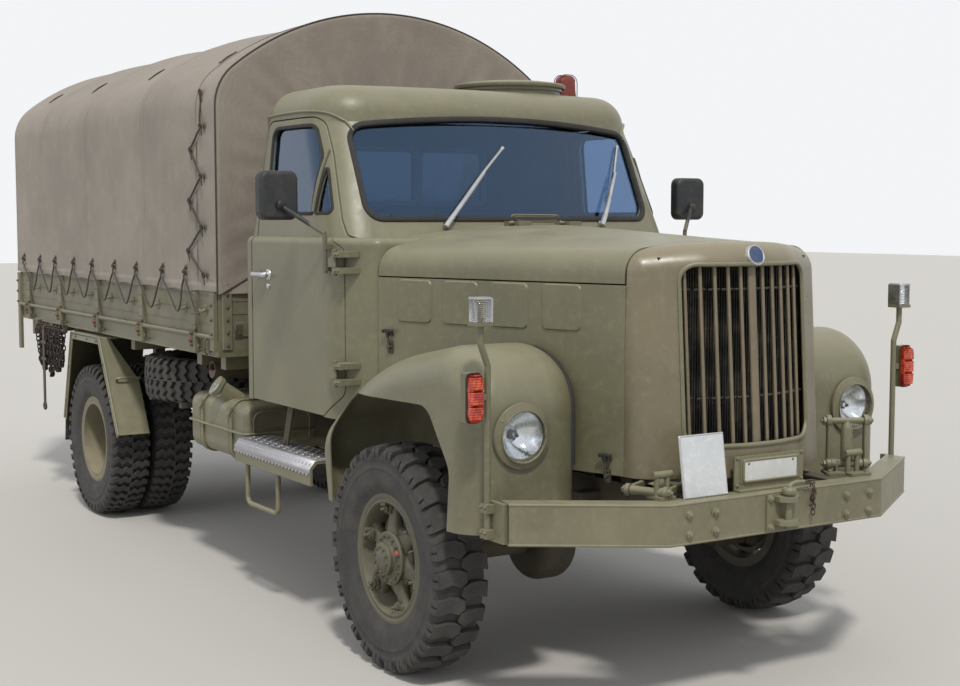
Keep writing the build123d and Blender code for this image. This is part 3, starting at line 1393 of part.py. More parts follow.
# Fuel tank on the right: rounded box with a seam, two straps and a slanted filler neck
tank_rear_x = front_axle_x - 2505.0
tank_front_x = front_axle_x - 1705.0
tank_inner_y = 620.0
tank_outer_y = 1050.0
tank_bottom = 680.0
tank_top = 1000.0
with BuildPart() as fuel_tank:
    with BuildSketch(Plane.YZ.offset(tank_rear_x)):
        with Locations((-(tank_inner_y + tank_outer_y) / 2, (tank_bottom + tank_top) / 2)):
            RectangleRounded(tank_outer_y - tank_inner_y, tank_top - tank_bottom, 70)
    extrude(amount=tank_front_x - tank_rear_x)
    fillet(fuel_tank.edges().group_by(Axis.X)[0] + fuel_tank.edges().group_by(Axis.X)[-1], 36)
    with BuildSketch(Plane.XY.offset((tank_bottom + tank_top) / 2 - 5)):
        with Locations(((tank_rear_x + tank_front_x) / 2, -(tank_inner_y + tank_outer_y) / 2)):
            RectangleRounded(tank_front_x - tank_rear_x + 24, tank_outer_y - tank_inner_y + 24, 40)
    extrude(amount=10)
    for x in (tank_rear_x + 170, tank_front_x - 210):
        with BuildSketch(Plane.YZ.offset(x)):
            with Locations((-(tank_inner_y + tank_outer_y) / 2, (tank_bottom + tank_top) / 2)):
                RectangleRounded(tank_outer_y - tank_inner_y + 16, tank_top - tank_bottom + 16, 78)
        extrude(amount=44)
        add(block((x, x + 44), (-tank_inner_y - 20, -frame_half_width - seat_gap), (frame_bottom + 30, frame_bottom + 90)))
    neck_foot = (tank_front_x - 330, -tank_outer_y + 110, tank_top - 20)
    neck_end = (tank_front_x - 345, -tank_outer_y - 6, tank_top + 62)
    add(rod(neck_foot, neck_end, 48))
    cap_end = tuple(Vector(*neck_end) + (Vector(*neck_end) - Vector(*neck_foot)).normalized() * 26)
    add(rod(neck_end, cap_end, 60))
fuel_tank.part.label = "fuel_tank"
export_step(fuel_tank.part, "parts/fuel_tank.step")

# Compressed air tanks on the left
air_tank_radius = 118.0
with BuildPart() as air_tanks:
    for x in (tank_rear_x + 30, tank_front_x - 380):
        for y in (700, 950):
            with BuildSketch(Plane.YZ.offset(x)):
                with Locations((y, 850)):
                    Circle(air_tank_radius)
            extrude(amount=350)
    fillet(air_tanks.edges().filter_by(GeomType.CIRCLE), 45)
    for x in (tank_rear_x + 130, tank_front_x - 200):
        add(block((x, x + 50), (frame_half_width + seat_gap, 1000), (958, 972)))
        add(block((x, x + 50), (frame_half_width + seat_gap, frame_half_width + 12), (frame_bottom + 20, 972)))
air_tanks.part.label = "air_tanks"
export_step(air_tanks.part, "parts/air_tanks.step")

# Steps below the doors, each with a hanging rung
step_rear_x = front_axle_x - 1680.0
step_front_x = front_axle_x - 757.0
step_top = 830.0
step_bottom = 712.0
step_outer_y = 1120.0
rung_rear_x = front_axle_x - 1580.0
rung_front_x = front_axle_x - 1195.0
rung_z = 498.0
with BuildPart() as cab_step:
    with BuildSketch(Plane.YZ.offset(step_rear_x)) as step_side:
        with BuildLine():
            Polyline(
                (-step_outer_y + 210, step_top),
                (-step_outer_y + 30, step_top),
                (-step_outer_y, step_top - 34),
                (-step_outer_y, step_bottom),
                (-step_outer_y + 14, step_bottom),
                (-step_outer_y + 14, step_top - 40),
                (-step_outer_y + 38, step_top - 14),
                (-step_outer_y + 210, step_top - 14),
                close=True,
            )
        make_face()
    extrude(amount=step_front_x - step_rear_x)
    for x in (step_rear_x + 120, step_front_x - 160):
        add(block((x, x + 46), (-step_outer_y + 60, -frame_half_width - seat_gap), (step_top - 50, step_top - 13)))
    with BuildLine():
        FilletPolyline(
            (rung_rear_x, -step_outer_y + 30, step_top - 30),
            (rung_rear_x, -step_outer_y + 30, rung_z),
            (rung_front_x, -step_outer_y + 30, rung_z),
            (rung_front_x, -step_outer_y + 30, step_top - 30),
            radius=40,
        )
    with BuildSketch(Plane(origin=(rung_rear_x, -step_outer_y + 30, step_top - 30), z_dir=(0, 0, -1))):
        Circle(13)
    sweep()
cab_steps = Compound([cab_step.part, mirrored(cab_step.part)])
cab_steps.label = "cab_steps"
export_step(cab_steps, "parts/cab_steps.step")

# Spare wheel, lying flat on the right frame rail and its two carrier arms
spare_y = -600.0
spare_z = frame_top + seat_gap + tyre_width / 2
spare_tyre = Pos(spare_x, spare_y, spare_z) * tyre_flat
spare_tyre.label = "spare_tyre"
export_step(spare_tyre, "parts/spare_tyre.step")
with BuildPart() as spare_rim:
    add(Pos(spare_x, spare_y, spare_z) * Rotation(90, 0, 0) * rim_solid(0, 0, 0))
    with BuildSketch(Plane.XY.offset(spare_z - 8)):
        with Locations((spare_x, spare_y)):
            Circle(242)
            Circle(80, mode=Mode.SUBTRACT)
    extrude(amount=16)
spare_rim.part.label = "spare_rim"
export_step(spare_rim.part, "parts/spare_rim.step")

# Exhaust: pipe from the engine, silencer between the rails, tail pipe to the right
silencer_y = 70.0
silencer_z = frame_top + 118.0
tail_x = front_axle_x - 2290.0
with BuildPart() as exhaust:
    add(rod((tail_x - 520, silencer_y, silencer_z), (tail_x + 240, silencer_y, silencer_z), 96))
    add(rod((tail_x, silencer_y, silencer_z + 60), (tail_x, -1000, silencer_z + 120), 48))
    with BuildLine() as pipe:
        Polyline(
            (tail_x + 230, silencer_y, silencer_z - 20),
            (tail_x + 560, 325, frame_top + 82),
            (front_axle_x - 360, 325, frame_top + 82),
        )
    with BuildSketch(Plane(origin=pipe.line @ 0, z_dir=pipe.line % 0)):
        Circle(30)
    sweep(transition=Transition.RIGHT)
    with BuildSketch(Plane(origin=(tail_x, -1000, silencer_z + 120), z_dir=(0, 1, 0))):
        Circle(42)
    extrude(amount=120, mode=Mode.SUBTRACT)
    for x in stool_places[:2]:
        add(block((x - 14, x + 14), (silencer_y + 60, frame_half_width - 70 - seat_gap), (silencer_z - 14, silencer_z + 14)))
exhaust.part.label = "exhaust"
export_step(exhaust.part, "parts/exhaust.step")

# Gearbox, transfer case and shafts
transfer_rear_x = front_axle_x - 1900.0
transfer_front_x = front_axle_x - 1535.0 - seat_gap
with BuildPart() as drivetrain:
    add(block((front_axle_x - 940, front_axle_x - 330 - seat_gap), (-200, 200), (frame_bottom - 120, frame_top + 40)))
    add(rod((front_axle_x - 930, 0, frame_bottom - 60), (transfer_front_x - 10, 0, frame_bottom - 60), 40))
    add(block((transfer_rear_x, transfer_front_x), (diff_y - 52, 150), (frame_bottom - 230, frame_top + 30)))
    add(rod((transfer_front_x - 10, diff_y, frame_bottom - 120), (front_axle_x - 308, diff_y, axle_z + 20), 38))
    add(rod((transfer_rear_x + 10, 0, frame_bottom - 90), (rear_axle_x + 318, 0, axle_z + 20), 42))
drivetrain.part.label = "drivetrain"
export_step(drivetrain.part, "parts/drivetrain.step")

# Blank number plate in its holder, and a blank board that leans on the grille shell
bumper_top = bumper_bottom + bumper_height
plate_x = front_axle_x + 1208.0
with BuildPart() as plate_holder:
    add(block((plate_x - 8, plate_x), (-178, 196), (bumper_top + seat_gap, 1042)))
    add(block((plate_x - 8, plate_x + 34), (-178, 196), (bumper_top + seat_gap, bumper_top + 8)))
    add(block((plate_x - 4, plate_x + 5), (-150, 170), (932, 1030)))
with BuildPart() as board:
    with BuildSketch(Plane.XZ.offset(240)):
        with BuildLine():
            Polyline(
                (front_axle_x + 1226, bumper_top + seat_gap),
                (front_axle_x + 1232, bumper_top + seat_gap),
                (front_axle_x + 1196, 1145),
                (front_axle_x + 1190, 1145),
                close=True,
            )
        make_face()
    extrude(amount=218)
plates = Compound([plate_holder.part, board.part])
plates.label = "plates"
export_step(plates, "parts/plates.step")

# Coloured lenses: front turn signals and rear lamps
with BuildPart() as rear_lens:
    add(block((bed_rear_x - 16, bed_rear_x + 10 - seat_gap), (-994, -826), (bed_bottom - 122, bed_bottom - 12)))
    fillet(rear_lens.edges().group_by(Axis.X)[0], 8)
coloured_lenses = Compound([signal_right, mirrored(signal_right), rear_lens.part, mirrored(rear_lens.part)])
coloured_lenses.label = "coloured_lenses"
export_step(coloured_lenses, "parts/coloured_lenses.step")

# Snow chains hung in loops on a bar below the bed, and a flat hanger with an eye
chain_rear_x = front_axle_x - 5395.0
chain_front_x = front_axle_x - 4735.0
chain_y = -bed_half - 30.0
chain_bar_z = 1205.0
# share of the way along the bar, lowest point of the loop
loops = ((0.02, 930), (0.16, 880), (0.30, 905), (0.44, 860), (0.58, 890), (0.72, 870), (0.86, 950))
with BuildPart() as snow_chains:
    add(rod((chain_rear_x, chain_y, chain_bar_z), (chain_front_x, chain_y, chain_bar_z), 14))
    for x in (chain_rear_x + 60, chain_front_x - 60):
        add(block((x - 18, x + 18), (chain_y - 6, -bed_half + 60), (chain_bar_z - 10, bed_bottom - seat_gap)))
    span = chain_front_x - chain_rear_x
    for share, low in loops:
        x = chain_rear_x + span * share
        with BuildLine() as hanging:
            Polyline(
                (x, chain_y - 8, chain_bar_z),
                (x + 6, chain_y - 16, low + 60),
                (x + 34, chain_y - 16, low),
                (x + 66, chain_y - 8, low + 60),
                (x + 74, chain_y - 4, chain_bar_z),
            )
        with BuildSketch(Plane(origin=hanging.line @ 0, z_dir=hanging.line % 0)):
            RegularPolygon(19, 6)
        sweep(transition=Transition.RIGHT)
    # flat hanger with an eye
    add(block((front_axle_x - 5215, front_axle_x - 5175), (-bed_half + 6, -bed_half + 14), (640, bed_bottom - seat_gap)))
    with BuildSketch(Plane.XZ.offset(bed_half - 14)):
        with Locations((front_axle_x - 5195, 618)):
            Circle(34)
            Circle(16, mode=Mode.SUBTRACT)
    extrude(amount=8)
snow_chains.part.label = "snow_chains"
export_step(snow_chains.part, "parts/snow_chains.step")
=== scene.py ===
"""The looks of a bonneted military cargo truck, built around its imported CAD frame.

Metres. +X is forward, +Y is the truck's left and +Z is up, as in the frame.
"""
import json
from math import asin, atan2, cos, hypot, pi, radians, sin

import bpy
import numpy as np
from mathutils import Matrix, Vector
from mathutils.bvhtree import BVHTree

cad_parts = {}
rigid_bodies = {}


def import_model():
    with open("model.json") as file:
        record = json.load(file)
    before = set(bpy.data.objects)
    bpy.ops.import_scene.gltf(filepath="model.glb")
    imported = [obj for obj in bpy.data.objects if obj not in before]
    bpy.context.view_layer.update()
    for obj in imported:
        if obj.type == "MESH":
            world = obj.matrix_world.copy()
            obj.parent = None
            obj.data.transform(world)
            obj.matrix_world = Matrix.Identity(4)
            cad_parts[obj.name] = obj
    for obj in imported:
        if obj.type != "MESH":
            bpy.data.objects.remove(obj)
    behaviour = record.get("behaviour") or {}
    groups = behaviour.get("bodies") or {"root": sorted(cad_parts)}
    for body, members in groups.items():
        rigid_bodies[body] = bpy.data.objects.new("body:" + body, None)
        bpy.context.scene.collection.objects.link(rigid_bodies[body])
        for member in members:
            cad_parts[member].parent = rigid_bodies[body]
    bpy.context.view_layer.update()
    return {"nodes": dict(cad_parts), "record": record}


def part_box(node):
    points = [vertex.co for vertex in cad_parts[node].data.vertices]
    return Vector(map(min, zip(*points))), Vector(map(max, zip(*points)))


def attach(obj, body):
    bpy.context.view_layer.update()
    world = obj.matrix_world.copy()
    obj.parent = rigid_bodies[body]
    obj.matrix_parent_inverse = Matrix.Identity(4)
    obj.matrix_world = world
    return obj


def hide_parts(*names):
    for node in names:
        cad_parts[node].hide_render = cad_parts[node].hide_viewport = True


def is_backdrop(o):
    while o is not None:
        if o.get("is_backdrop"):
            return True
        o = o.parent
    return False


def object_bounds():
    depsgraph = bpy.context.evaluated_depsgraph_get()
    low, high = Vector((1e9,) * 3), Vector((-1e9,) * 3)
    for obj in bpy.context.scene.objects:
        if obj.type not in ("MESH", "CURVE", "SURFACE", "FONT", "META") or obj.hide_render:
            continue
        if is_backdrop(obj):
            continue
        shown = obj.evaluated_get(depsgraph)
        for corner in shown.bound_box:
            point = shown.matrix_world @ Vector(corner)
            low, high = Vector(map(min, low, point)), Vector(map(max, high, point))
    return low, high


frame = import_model()
nodes = frame["nodes"]
random = np.random.default_rng(11)
sides = (("right", -1), ("left", 1))


def middle(node):
    low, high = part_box(node)
    return (low + high) / 2


front_axle = middle("tyre_front_right").x
rear_axle = middle("tyre_rear_right").x
axle_z = middle("tyre_front_right").z
tyre_radius = axle_z


# Forms: points and faces gathered into pieces

class Form:
    """Vertices and faces gathered for one piece."""

    def __init__(self):
        self.points = []
        self.faces = []

    def add(self, shape, place=None):
        points, faces = shape
        start = len(self.points)
        if place is None:
            self.points += [Vector(p) for p in points]
        else:
            self.points += [place @ Vector(p) for p in points]
        self.faces += [[start + i for i in face] for face in faces]
        return self

    def make(self, name, body, slot, material=None, smooth=32, bevel=0.0, thickness=0.0):
        """The piece, in its slot's own material unless another is given."""
        mesh = bpy.data.meshes.new(name)
        mesh.from_pydata([tuple(p) for p in self.points], [], self.faces)
        mesh.validate()
        mesh.update()
        made = bpy.data.objects.new(name, mesh)
        bpy.context.scene.collection.objects.link(made)
        mesh.materials.append(material or finish[slot])
        mesh.shade_smooth()
        mesh.set_sharp_from_angle(angle=radians(smooth))
        if thickness:
            solid = made.modifiers.new("thickness", "SOLIDIFY")
            solid.thickness = thickness
            solid.offset = 0.0
        if bevel:
            edge = made.modifiers.new("edges", "BEVEL")
            edge.width = bevel
            edge.segments = 2
            edge.limit_method = "ANGLE"
            edge.angle_limit = radians(40)
            edge.harden_normals = True
        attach(made, body)
        return made


def at(place):
    """A placement that only moves."""
    return Matrix.Translation(place)


def steps_round(count):
    """Angles that share out a full turn."""
    return np.linspace(0, 2 * pi, count + 1)[:-1]


def facing(place, direction, spin=0.0):
    """A placement whose Z axis points along the direction."""
    turn = Vector(direction).normalized().to_track_quat("Z", "Y").to_matrix().to_4x4()
    return Matrix.Translation(Vector(place)) @ turn @ Matrix.Rotation(spin, 4, "Z")


def turned(profile, count=24):
    """A form turned about Z from (radius, z) pairs; ends of radius 0 close it."""
    points, rings, faces = [], [], []
    for radius, z in profile:
        if radius < 1e-7:
            rings.append([len(points)] * count)
            points.append((0, 0, z))
        else:
            rings.append([len(points) + i for i in range(count)])
            for i in range(count):
                a = 2 * pi * i / count
                points.append((radius * cos(a), radius * sin(a), z))
    for low, high in zip(rings, rings[1:]):
        for i in range(count):
            j = (i + 1) % count
            face = []
            for index in (low[i], low[j], high[j], high[i]):
                if index not in face:
                    face.append(index)
            if len(face) > 2:
                faces.append(face)
    return points, faces


def prism(outline, low, high):
    """An outline in X and Y between two heights."""
    n = len(outline)
    points = [(x, y, low) for x, y in outline] + [(x, y, high) for x, y in outline]
    faces = [list(range(n))[::-1], list(range(n, 2 * n))]
    faces += [[i, (i + 1) % n, n + (i + 1) % n, n + i] for i in range(n)]
    return points, faces


def slab(x, y, z, chamfer=0.0):
    """A box given by its low and high values, with its upright corners cut."""
    c = chamfer
    if c:
        outline = [
            (x[0] + c, y[0]), (x[1] - c, y[0]), (x[1], y[0] + c), (x[1], y[1] - c),
            (x[1] - c, y[1]), (x[0] + c, y[1]), (x[0], y[1] - c), (x[0], y[0] + c),
        ]
    else:
        outline = [(x[0], y[0]), (x[1], y[0]), (x[1], y[1]), (x[0], y[1])]
    return prism(outline, z[0], z[1])


def along(points, radius, count=8, closed=False, caps=True):
    """A round bar that follows points, of one radius or one for each point."""
    path = [Vector(p) for p in points]
    n = len(path)
    radii = radius if isinstance(radius, (list, tuple)) else [radius] * n
    tangents = []
    for i in range(n):
        before = path[i - 1] if (i or closed) else path[i]
        after = path[(i + 1) % n] if (i < n - 1 or closed) else path[i]
        tangents.append((after - before).normalized())
    normal = tangents[0].orthogonal().normalized()
    out, faces = [], []
    for i in range(n):
        normal = (normal - tangents[i] * normal.dot(tangents[i])).normalized()
        other = tangents[i].cross(normal)
        for k in range(count):
            a = 2 * pi * k / count
            out.append(path[i] + (normal * cos(a) + other * sin(a)) * radii[i])
    for i in range(n if closed else n - 1):
        j = (i + 1) % n
        for k in range(count):
            m = (k + 1) % count
            faces.append([i * count + k, i * count + m, j * count + m, j * count + k])
    if caps and not closed:
        faces.append(list(range(count))[::-1])
        faces.append([(n - 1) * count + k for k in range(count)])
    return out, faces


def grid(rows, wrap=False):
    """Faces between rows of points, each row as long as the others."""
    n = len(rows[0])
    points = [p for row in rows for p in row]
    faces = []
    for r in range(len(rows) - 1):
        for c in range(n if wrap else n - 1):
            d = (c + 1) % n
            faces.append([r * n + c, r * n + d, (r + 1) * n + d, (r + 1) * n + c])
    return points, faces


def rounded(half_u, half_v, radius, steps=5):
    """A rectangle outline with round corners, about the origin."""
    outline = []
    for su, sv, start in ((1, 1, 0), (-1, 1, 90), (-1, -1, 180), (1, -1, 270)):
        for k in range(steps + 1):
            a = radians(start + 90 * k / steps)
            outline.append(
                (su * (half_u - radius) + radius * cos(a), sv * (half_v - radius) + radius * sin(a))
            )
    return outline


def bend(points, steps=6):
    """A smooth line through few points, the first and last kept."""
    path = [Vector(p) for p in points]
    path = [2 * path[0] - path[1]] + path + [2 * path[-1] - path[-2]]
    out = []
    for i in range(1, len(path) - 2):
        a, b, c, d = path[i - 1:i + 3]
        for k in range(steps):
            t = k / steps
            out.append(0.5 * (2 * b + (c - a) * t + (2 * a - 5 * b + 4 * c - d) * t**2
                              + (3 * b - a - 3 * c + d) * t**3))
    out.append(path[-2])
    return out


def hexagon(radius):
    return [(radius * cos(pi * k / 3), radius * sin(pi * k / 3)) for k in range(6)]


def bolt(size):
    """A hexagon head on a washer, with the end of its shank; size is across the corners."""
    form = Form()
    form.add(
        turned(
            [
                (0, 0), (0.66 * size, 0), (0.68 * size, 0.06 * size), (0.6 * size, 0.1 * size),
                (0, 0.1 * size)
            ],
            14
        )
    )
    form.add(prism(hexagon(0.5 * size), 0.09 * size, 0.40 * size))
    form.add(turned([(0.5 * size, 0.40 * size), (0.40 * size, 0.46 * size), (0, 0.46 * size)], 12))
    form.add(
        turned(
            [
                (0.24 * size, 0.44 * size), (0.24 * size, 0.62 * size), (0.19 * size, 0.67 * size),
                (0, 0.67 * size)
            ],
            10
        )
    )
    return form.points, form.faces


def round_head(size):
    """A low domed rivet or screw head."""
    return turned(
        [(0.5 * size, 0), (0.46 * size, 0.12 * size), (0.3 * size, 0.24 * size), (0, 0.29 * size)], 12
    )


# Materials, each a small node tree of its own

class Finish:
    """A material and short calls for the nodes of its tree."""

    def __init__(self, name):
        self.material = bpy.data.materials.new(name)
        self.material.use_nodes = True
        self.tree = self.material.node_tree
        self.shader = self.tree.nodes["Principled BSDF"]
        self.place = self.node("ShaderNodeTexCoord").outputs["Object"]

    def node(self, kind, inputs=None, **settings):
        made = self.tree.nodes.new(kind)
        for key, value in settings.items():
            setattr(made, key, value)
        for key, value in (inputs or {}).items():
            self.feed(made.inputs[key], value)
        return made

    def feed(self, socket, value):
        if isinstance(value, bpy.types.NodeSocket):
            self.tree.links.new(value, socket)
        else:
            socket.default_value = value

    def set(self, **values):
        for key, value in values.items():
            self.feed(self.shader.inputs[key.replace("_", " ")], value)
        return self

    def stretched(self, scale):
        return self.node("ShaderNodeMapping", {"Vector": self.place, "Scale": scale}).outputs["Vector"]

    def noise(self, scale, detail=4.0, roughness=0.55, place=None, distortion=0.0):
        return self.node("ShaderNodeTexNoise", {
            "Vector": place or self.place, "Scale": scale, "Detail": detail,
            "Roughness": roughness, "Distortion": distortion}).outputs["Fac"]

    def ramp(self, value, low, high, bottom=0.0, top=1.0):
        return self.node("ShaderNodeMapRange", {
            "Value": value, "From Min": low, "From Max": high,
            "To Min": bottom, "To Max": top}, clamp=True).outputs["Result"]

    def maths(self, operation, a, b=0.0):
        return self.node("ShaderNodeMath", {0: a, 1: b}, operation=operation).outputs[0]

    def mix(self, share, a, b, blend="MIX"):
        made = self.node("ShaderNodeMix", data_type="RGBA", blend_type=blend)
        self.feed(made.inputs[0], share)
        self.feed(made.inputs[6], a)
        self.feed(made.inputs[7], b)
        return made.outputs[2]

    def height(self):
        return self.node("ShaderNodeSeparateXYZ", {0: self.place}).outputs["Z"]

    def upward(self):
        normal = self.node("ShaderNodeNewGeometry").outputs["Normal"]
        return self.node("ShaderNodeSeparateXYZ", {0: normal}).outputs["Z"]

    def soft_edge(self, radius):
        return self.node("ShaderNodeBevel", {"Radius": radius}, samples=4).outputs["Normal"]

    def edges(self, rounded_normal, low=0.008, high=0.06):
        """How sharply the surface turns here, from 0 to 1."""
        flat = self.node("ShaderNodeNewGeometry").outputs["Normal"]
        agree = self.node(
            "ShaderNodeVectorMath", {0: rounded_normal, 1: flat}, operation="DOT_PRODUCT"
        ).outputs["Value"]
        return self.ramp(self.maths("SUBTRACT", 1.0, agree), low, high)

    def relief(self, height, strength, distance, normal=None):
        values = {"Height": height, "Strength": strength, "Distance": distance}
        if normal is not None:
            values["Normal"] = normal
        return self.node("ShaderNodeBump", values).outputs["Normal"]


def colour(red, green, blue):
    """Linear values from the 0 to 255 values that a picture has."""
    return tuple(
        (c / 255 / 12.92) if c < 10.4 else ((c / 255 + 0.055) / 1.055) ** 2.4 for c in (red, green, blue)
    ) + (1.0,)


dust_colour = colour(168, 156, 130)
rust_colour = colour(104, 62, 38)
bare_colour = colour(92, 84, 70)


def painted(name, base, dust=0.35, wear=0.35, rust=0.15, rough=0.62, edge=0.004, top_sheen=0.5, dust_top=1.1):
    """Matt military paint with a painted sky reflection on its upward faces and a painted highlight along its
    edges; dusty below and worn along its edges.
    """
    f = Finish(name)
    large = f.noise(1.7, 5.0)
    small = f.noise(26.0, 6.0, 0.65)
    pale = tuple(min(1.0, 1.30 * c + 0.03) for c in base[:3]) + (1.0,)
    dark = tuple(0.76 * c for c in base[:3]) + (1.0,)
    paint = f.mix(f.ramp(large, 0.34, 0.68), dark, base)
    paint = f.mix(f.maths("MULTIPLY", f.ramp(small, 0.5, 0.75), 0.35), paint, pale)
    up = f.ramp(f.upward(), 0.15, 0.95)
    # upward faces are painted paler: a painted reflection of the sky, as strong as top_sheen
    paint = f.mix(f.maths("MULTIPLY", up, top_sheen), paint, pale)
    streaks = f.noise(1.0, 5.0, 0.6, place=f.stretched((16.0, 16.0, 1.1)))
    paint = f.mix(f.ramp(streaks, 0.56, 0.78, 0.0, 0.28), paint, dark)
    low = f.ramp(f.height(), dust_top, 0.35)
    patchy = f.ramp(f.noise(5.0, 6.0, 0.7), 0.36, 0.66)
    dusty = f.maths(
        "MULTIPLY", f.maths("ADD", f.maths("MULTIPLY", up, 0.5), f.maths("MULTIPLY", low, 0.9)), patchy
    )
    paint = f.mix(f.maths("MULTIPLY", dusty, dust), paint, dust_colour)
    soft = f.soft_edge(edge)
    turning = f.edges(soft)
    chips = f.maths("MULTIPLY", turning, f.ramp(f.noise(38.0, 5.0, 0.7), 0.52, 0.64))
    # a painted highlight: every edge is painted a little paler
    paint = f.mix(f.maths("MULTIPLY", turning, 0.22), paint, pale)
    paint = f.mix(f.maths("MULTIPLY", chips, wear), paint, bare_colour)
    spots = f.ramp(f.noise(62.0, 4.0, 0.75), 0.70, 0.76)
    spots = f.maths("MULTIPLY", spots, f.ramp(large, 0.5, 0.62))
    stained = f.maths("MAXIMUM", f.maths("MULTIPLY", chips, 0.7), spots)
    paint = f.mix(f.maths("MULTIPLY", stained, rust), paint, rust_colour)
    f.set(Base_Color=paint)
    f.set(
        Roughness=f.ramp(f.maths("ADD", dusty, small), 0.3, 1.5, rough - 0.16, rough + 0.22),
        Specular_IOR_Level=0.55
    )
    dents = f.relief(f.noise(4.2, 2.0), 0.25, 0.010, soft)
    f.set(Normal=f.relief(f.noise(420.0, 3.0), 0.10, 0.0012, dents))
    return f.material


def rubber(name, base=(0.026, 0.026, 0.026, 1.0), dust=0.5):
    f = Finish(name)
    grime = f.ramp(f.noise(9.0, 6.0, 0.7), 0.36, 0.72)
    fine = f.noise(90.0, 5.0, 0.7)
    tint = f.mix(f.maths("MULTIPLY", grime, dust), base, colour(116, 108, 96))
    tint = f.mix(f.ramp(fine, 0.5, 0.8, 0.0, 0.35), tint, colour(84, 80, 76))
    f.set(Base_Color=tint, Roughness=f.ramp(fine, 0.2, 0.8, 0.70, 0.95))
    f.set(Normal=f.relief(fine, 0.35, 0.0016, f.soft_edge(0.004)))
    return f.material


def steel(name, base, rough=0.42, rust=0.3, grain=1.0, metal=1.0):
    f = Finish(name)
    patches = f.noise(14.0, 6.0, 0.7)
    fine = f.noise(160.0, 4.0, 0.6)
    soft = f.soft_edge(0.0025)
    tint = f.mix(f.ramp(fine, 0.35, 0.7, 0.0, 0.4), base, tuple(0.6 * c for c in base[:3]) + (1.0,))
    rusty = f.maths("MULTIPLY", f.ramp(patches, 0.50, 0.62), rust)
    tint = f.mix(rusty, tint, rust_colour)
    f.set(Base_Color=tint, Metallic=f.ramp(rusty, 0.0, 0.7, metal, 0.1))
    f.set(Roughness=f.ramp(patches, 0.3, 0.7, rough, rough + 0.3))
    f.set(Normal=f.relief(fine, 0.2 * grain, 0.0010, soft))
    return f.material


def plastic(name, base, rough=0.45):
    f = Finish(name)
    fine = f.noise(240.0, 3.0)
    dusty = f.ramp(f.noise(7.0, 5.0, 0.7), 0.45, 0.8, 0.0, 0.25)
    f.set(
        Base_Color=f.mix(dusty, base, dust_colour),
        Roughness=f.ramp(fine, 0.3, 0.7, rough - 0.06, rough + 0.12)
    )
    f.set(Normal=f.relief(fine, 0.15, 0.0006, f.soft_edge(0.002)))
    return f.material


def glass(name, tint, rough=0.0, sky=(1.0, 1.0, 1.0, 1.0), index=1.45):
    f = Finish(name)
    film = f.ramp(f.noise(3.5, 6.0, 0.7), 0.42, 0.75)
    f.set(Base_Color=f.mix(f.maths("MULTIPLY", film, 0.3), tint, tuple(0.8 * c for c in tint[:3]) + (1.0,)))
    # sky tints the reflections; a blue one is a painted sky reflection
    f.set(Roughness=rough, IOR=index, Transmission_Weight=1.0, Specular_Tint=sky)
    return f.material


def canvas(name, base):
    """Coarse proofed cotton: crossed threads, folds painted paler on their upward faces as a painted
    highlight, and rain stains.
    """
    f = Finish(name)
    warp = f.node(
        "ShaderNodeTexWave",
        {
            "Vector": f.stretched((1.0, 1.0, 1.0)), "Scale": 165.0, "Distortion": 1.0, "Detail": 2.0,
            "Detail Scale": 2.0
        },
        bands_direction="X"
    ).outputs["Fac"]
    weft = f.node(
        "ShaderNodeTexWave",
        {
            "Vector": f.stretched((1.0, 1.0, 1.0)), "Scale": 150.0, "Distortion": 1.0, "Detail": 2.0,
            "Detail Scale": 2.0
        },
        bands_direction="Z"
    ).outputs["Fac"]
    weave = f.maths("ADD", warp, weft)
    large = f.noise(1.3, 6.0, 0.62)
    blotches = f.noise(7.0, 6.0, 0.7)
    pale = tuple(min(1.0, 1.30 * c) for c in base[:3]) + (1.0,)
    dark = tuple(0.68 * c for c in base[:3]) + (1.0,)
    cloth = f.mix(f.ramp(large, 0.34, 0.68), dark, base)
    cloth = f.mix(f.ramp(blotches, 0.52, 0.78, 0.0, 0.5), cloth, pale)
    runs = f.noise(1.0, 5.0, 0.65, place=f.stretched((10.0, 10.0, 0.7)))
    cloth = f.mix(f.ramp(runs, 0.52, 0.76, 0.0, 0.4), cloth, dark)
    # upward faces are painted paler: a painted highlight of the light from above
    cloth = f.mix(f.ramp(f.upward(), 0.3, 1.0, 0.0, 0.35), cloth, pale)
    cloth = f.mix(f.ramp(weave, 0.4, 1.7, 0.30, 0.0), cloth, dark)
    cloth = f.mix(f.ramp(f.height(), 2.0, 1.45, 0.0, 0.25), cloth, dark)
    f.set(Base_Color=cloth, Roughness=0.92, Sheen_Weight=0.12, Sheen_Roughness=0.6)
    crumple = f.relief(f.noise(3.2, 4.0, 0.6, distortion=0.4), 0.40, 0.02)
    f.set(Normal=f.relief(weave, 0.30, 0.0012, crumple))
    return f.material


def leather(name, base, scale=150.0, rough=0.5):
    f = Finish(name)
    cells = f.node(
        "ShaderNodeTexVoronoi", {"Vector": f.place, "Scale": scale}, feature="DISTANCE_TO_EDGE"
    ).outputs["Distance"]
    worn = f.ramp(f.noise(12.0, 6.0, 0.7), 0.45, 0.75)
    dark = tuple(0.6 * c for c in base[:3]) + (1.0,)
    pale = tuple(min(1.0, 1.6 * c + 0.02) for c in base[:3]) + (1.0,)
    tint = f.mix(f.maths("MULTIPLY", worn, 0.4), base, pale)
    tint = f.mix(f.ramp(cells, 0.0, 0.12, 0.5, 0.0), tint, dark)
    f.set(Base_Color=tint, Roughness=f.ramp(worn, 0.0, 1.0, rough, rough + 0.25))
    f.set(Normal=f.relief(f.ramp(cells, 0.0, 0.2), 0.3, 0.0012))
    return f.material


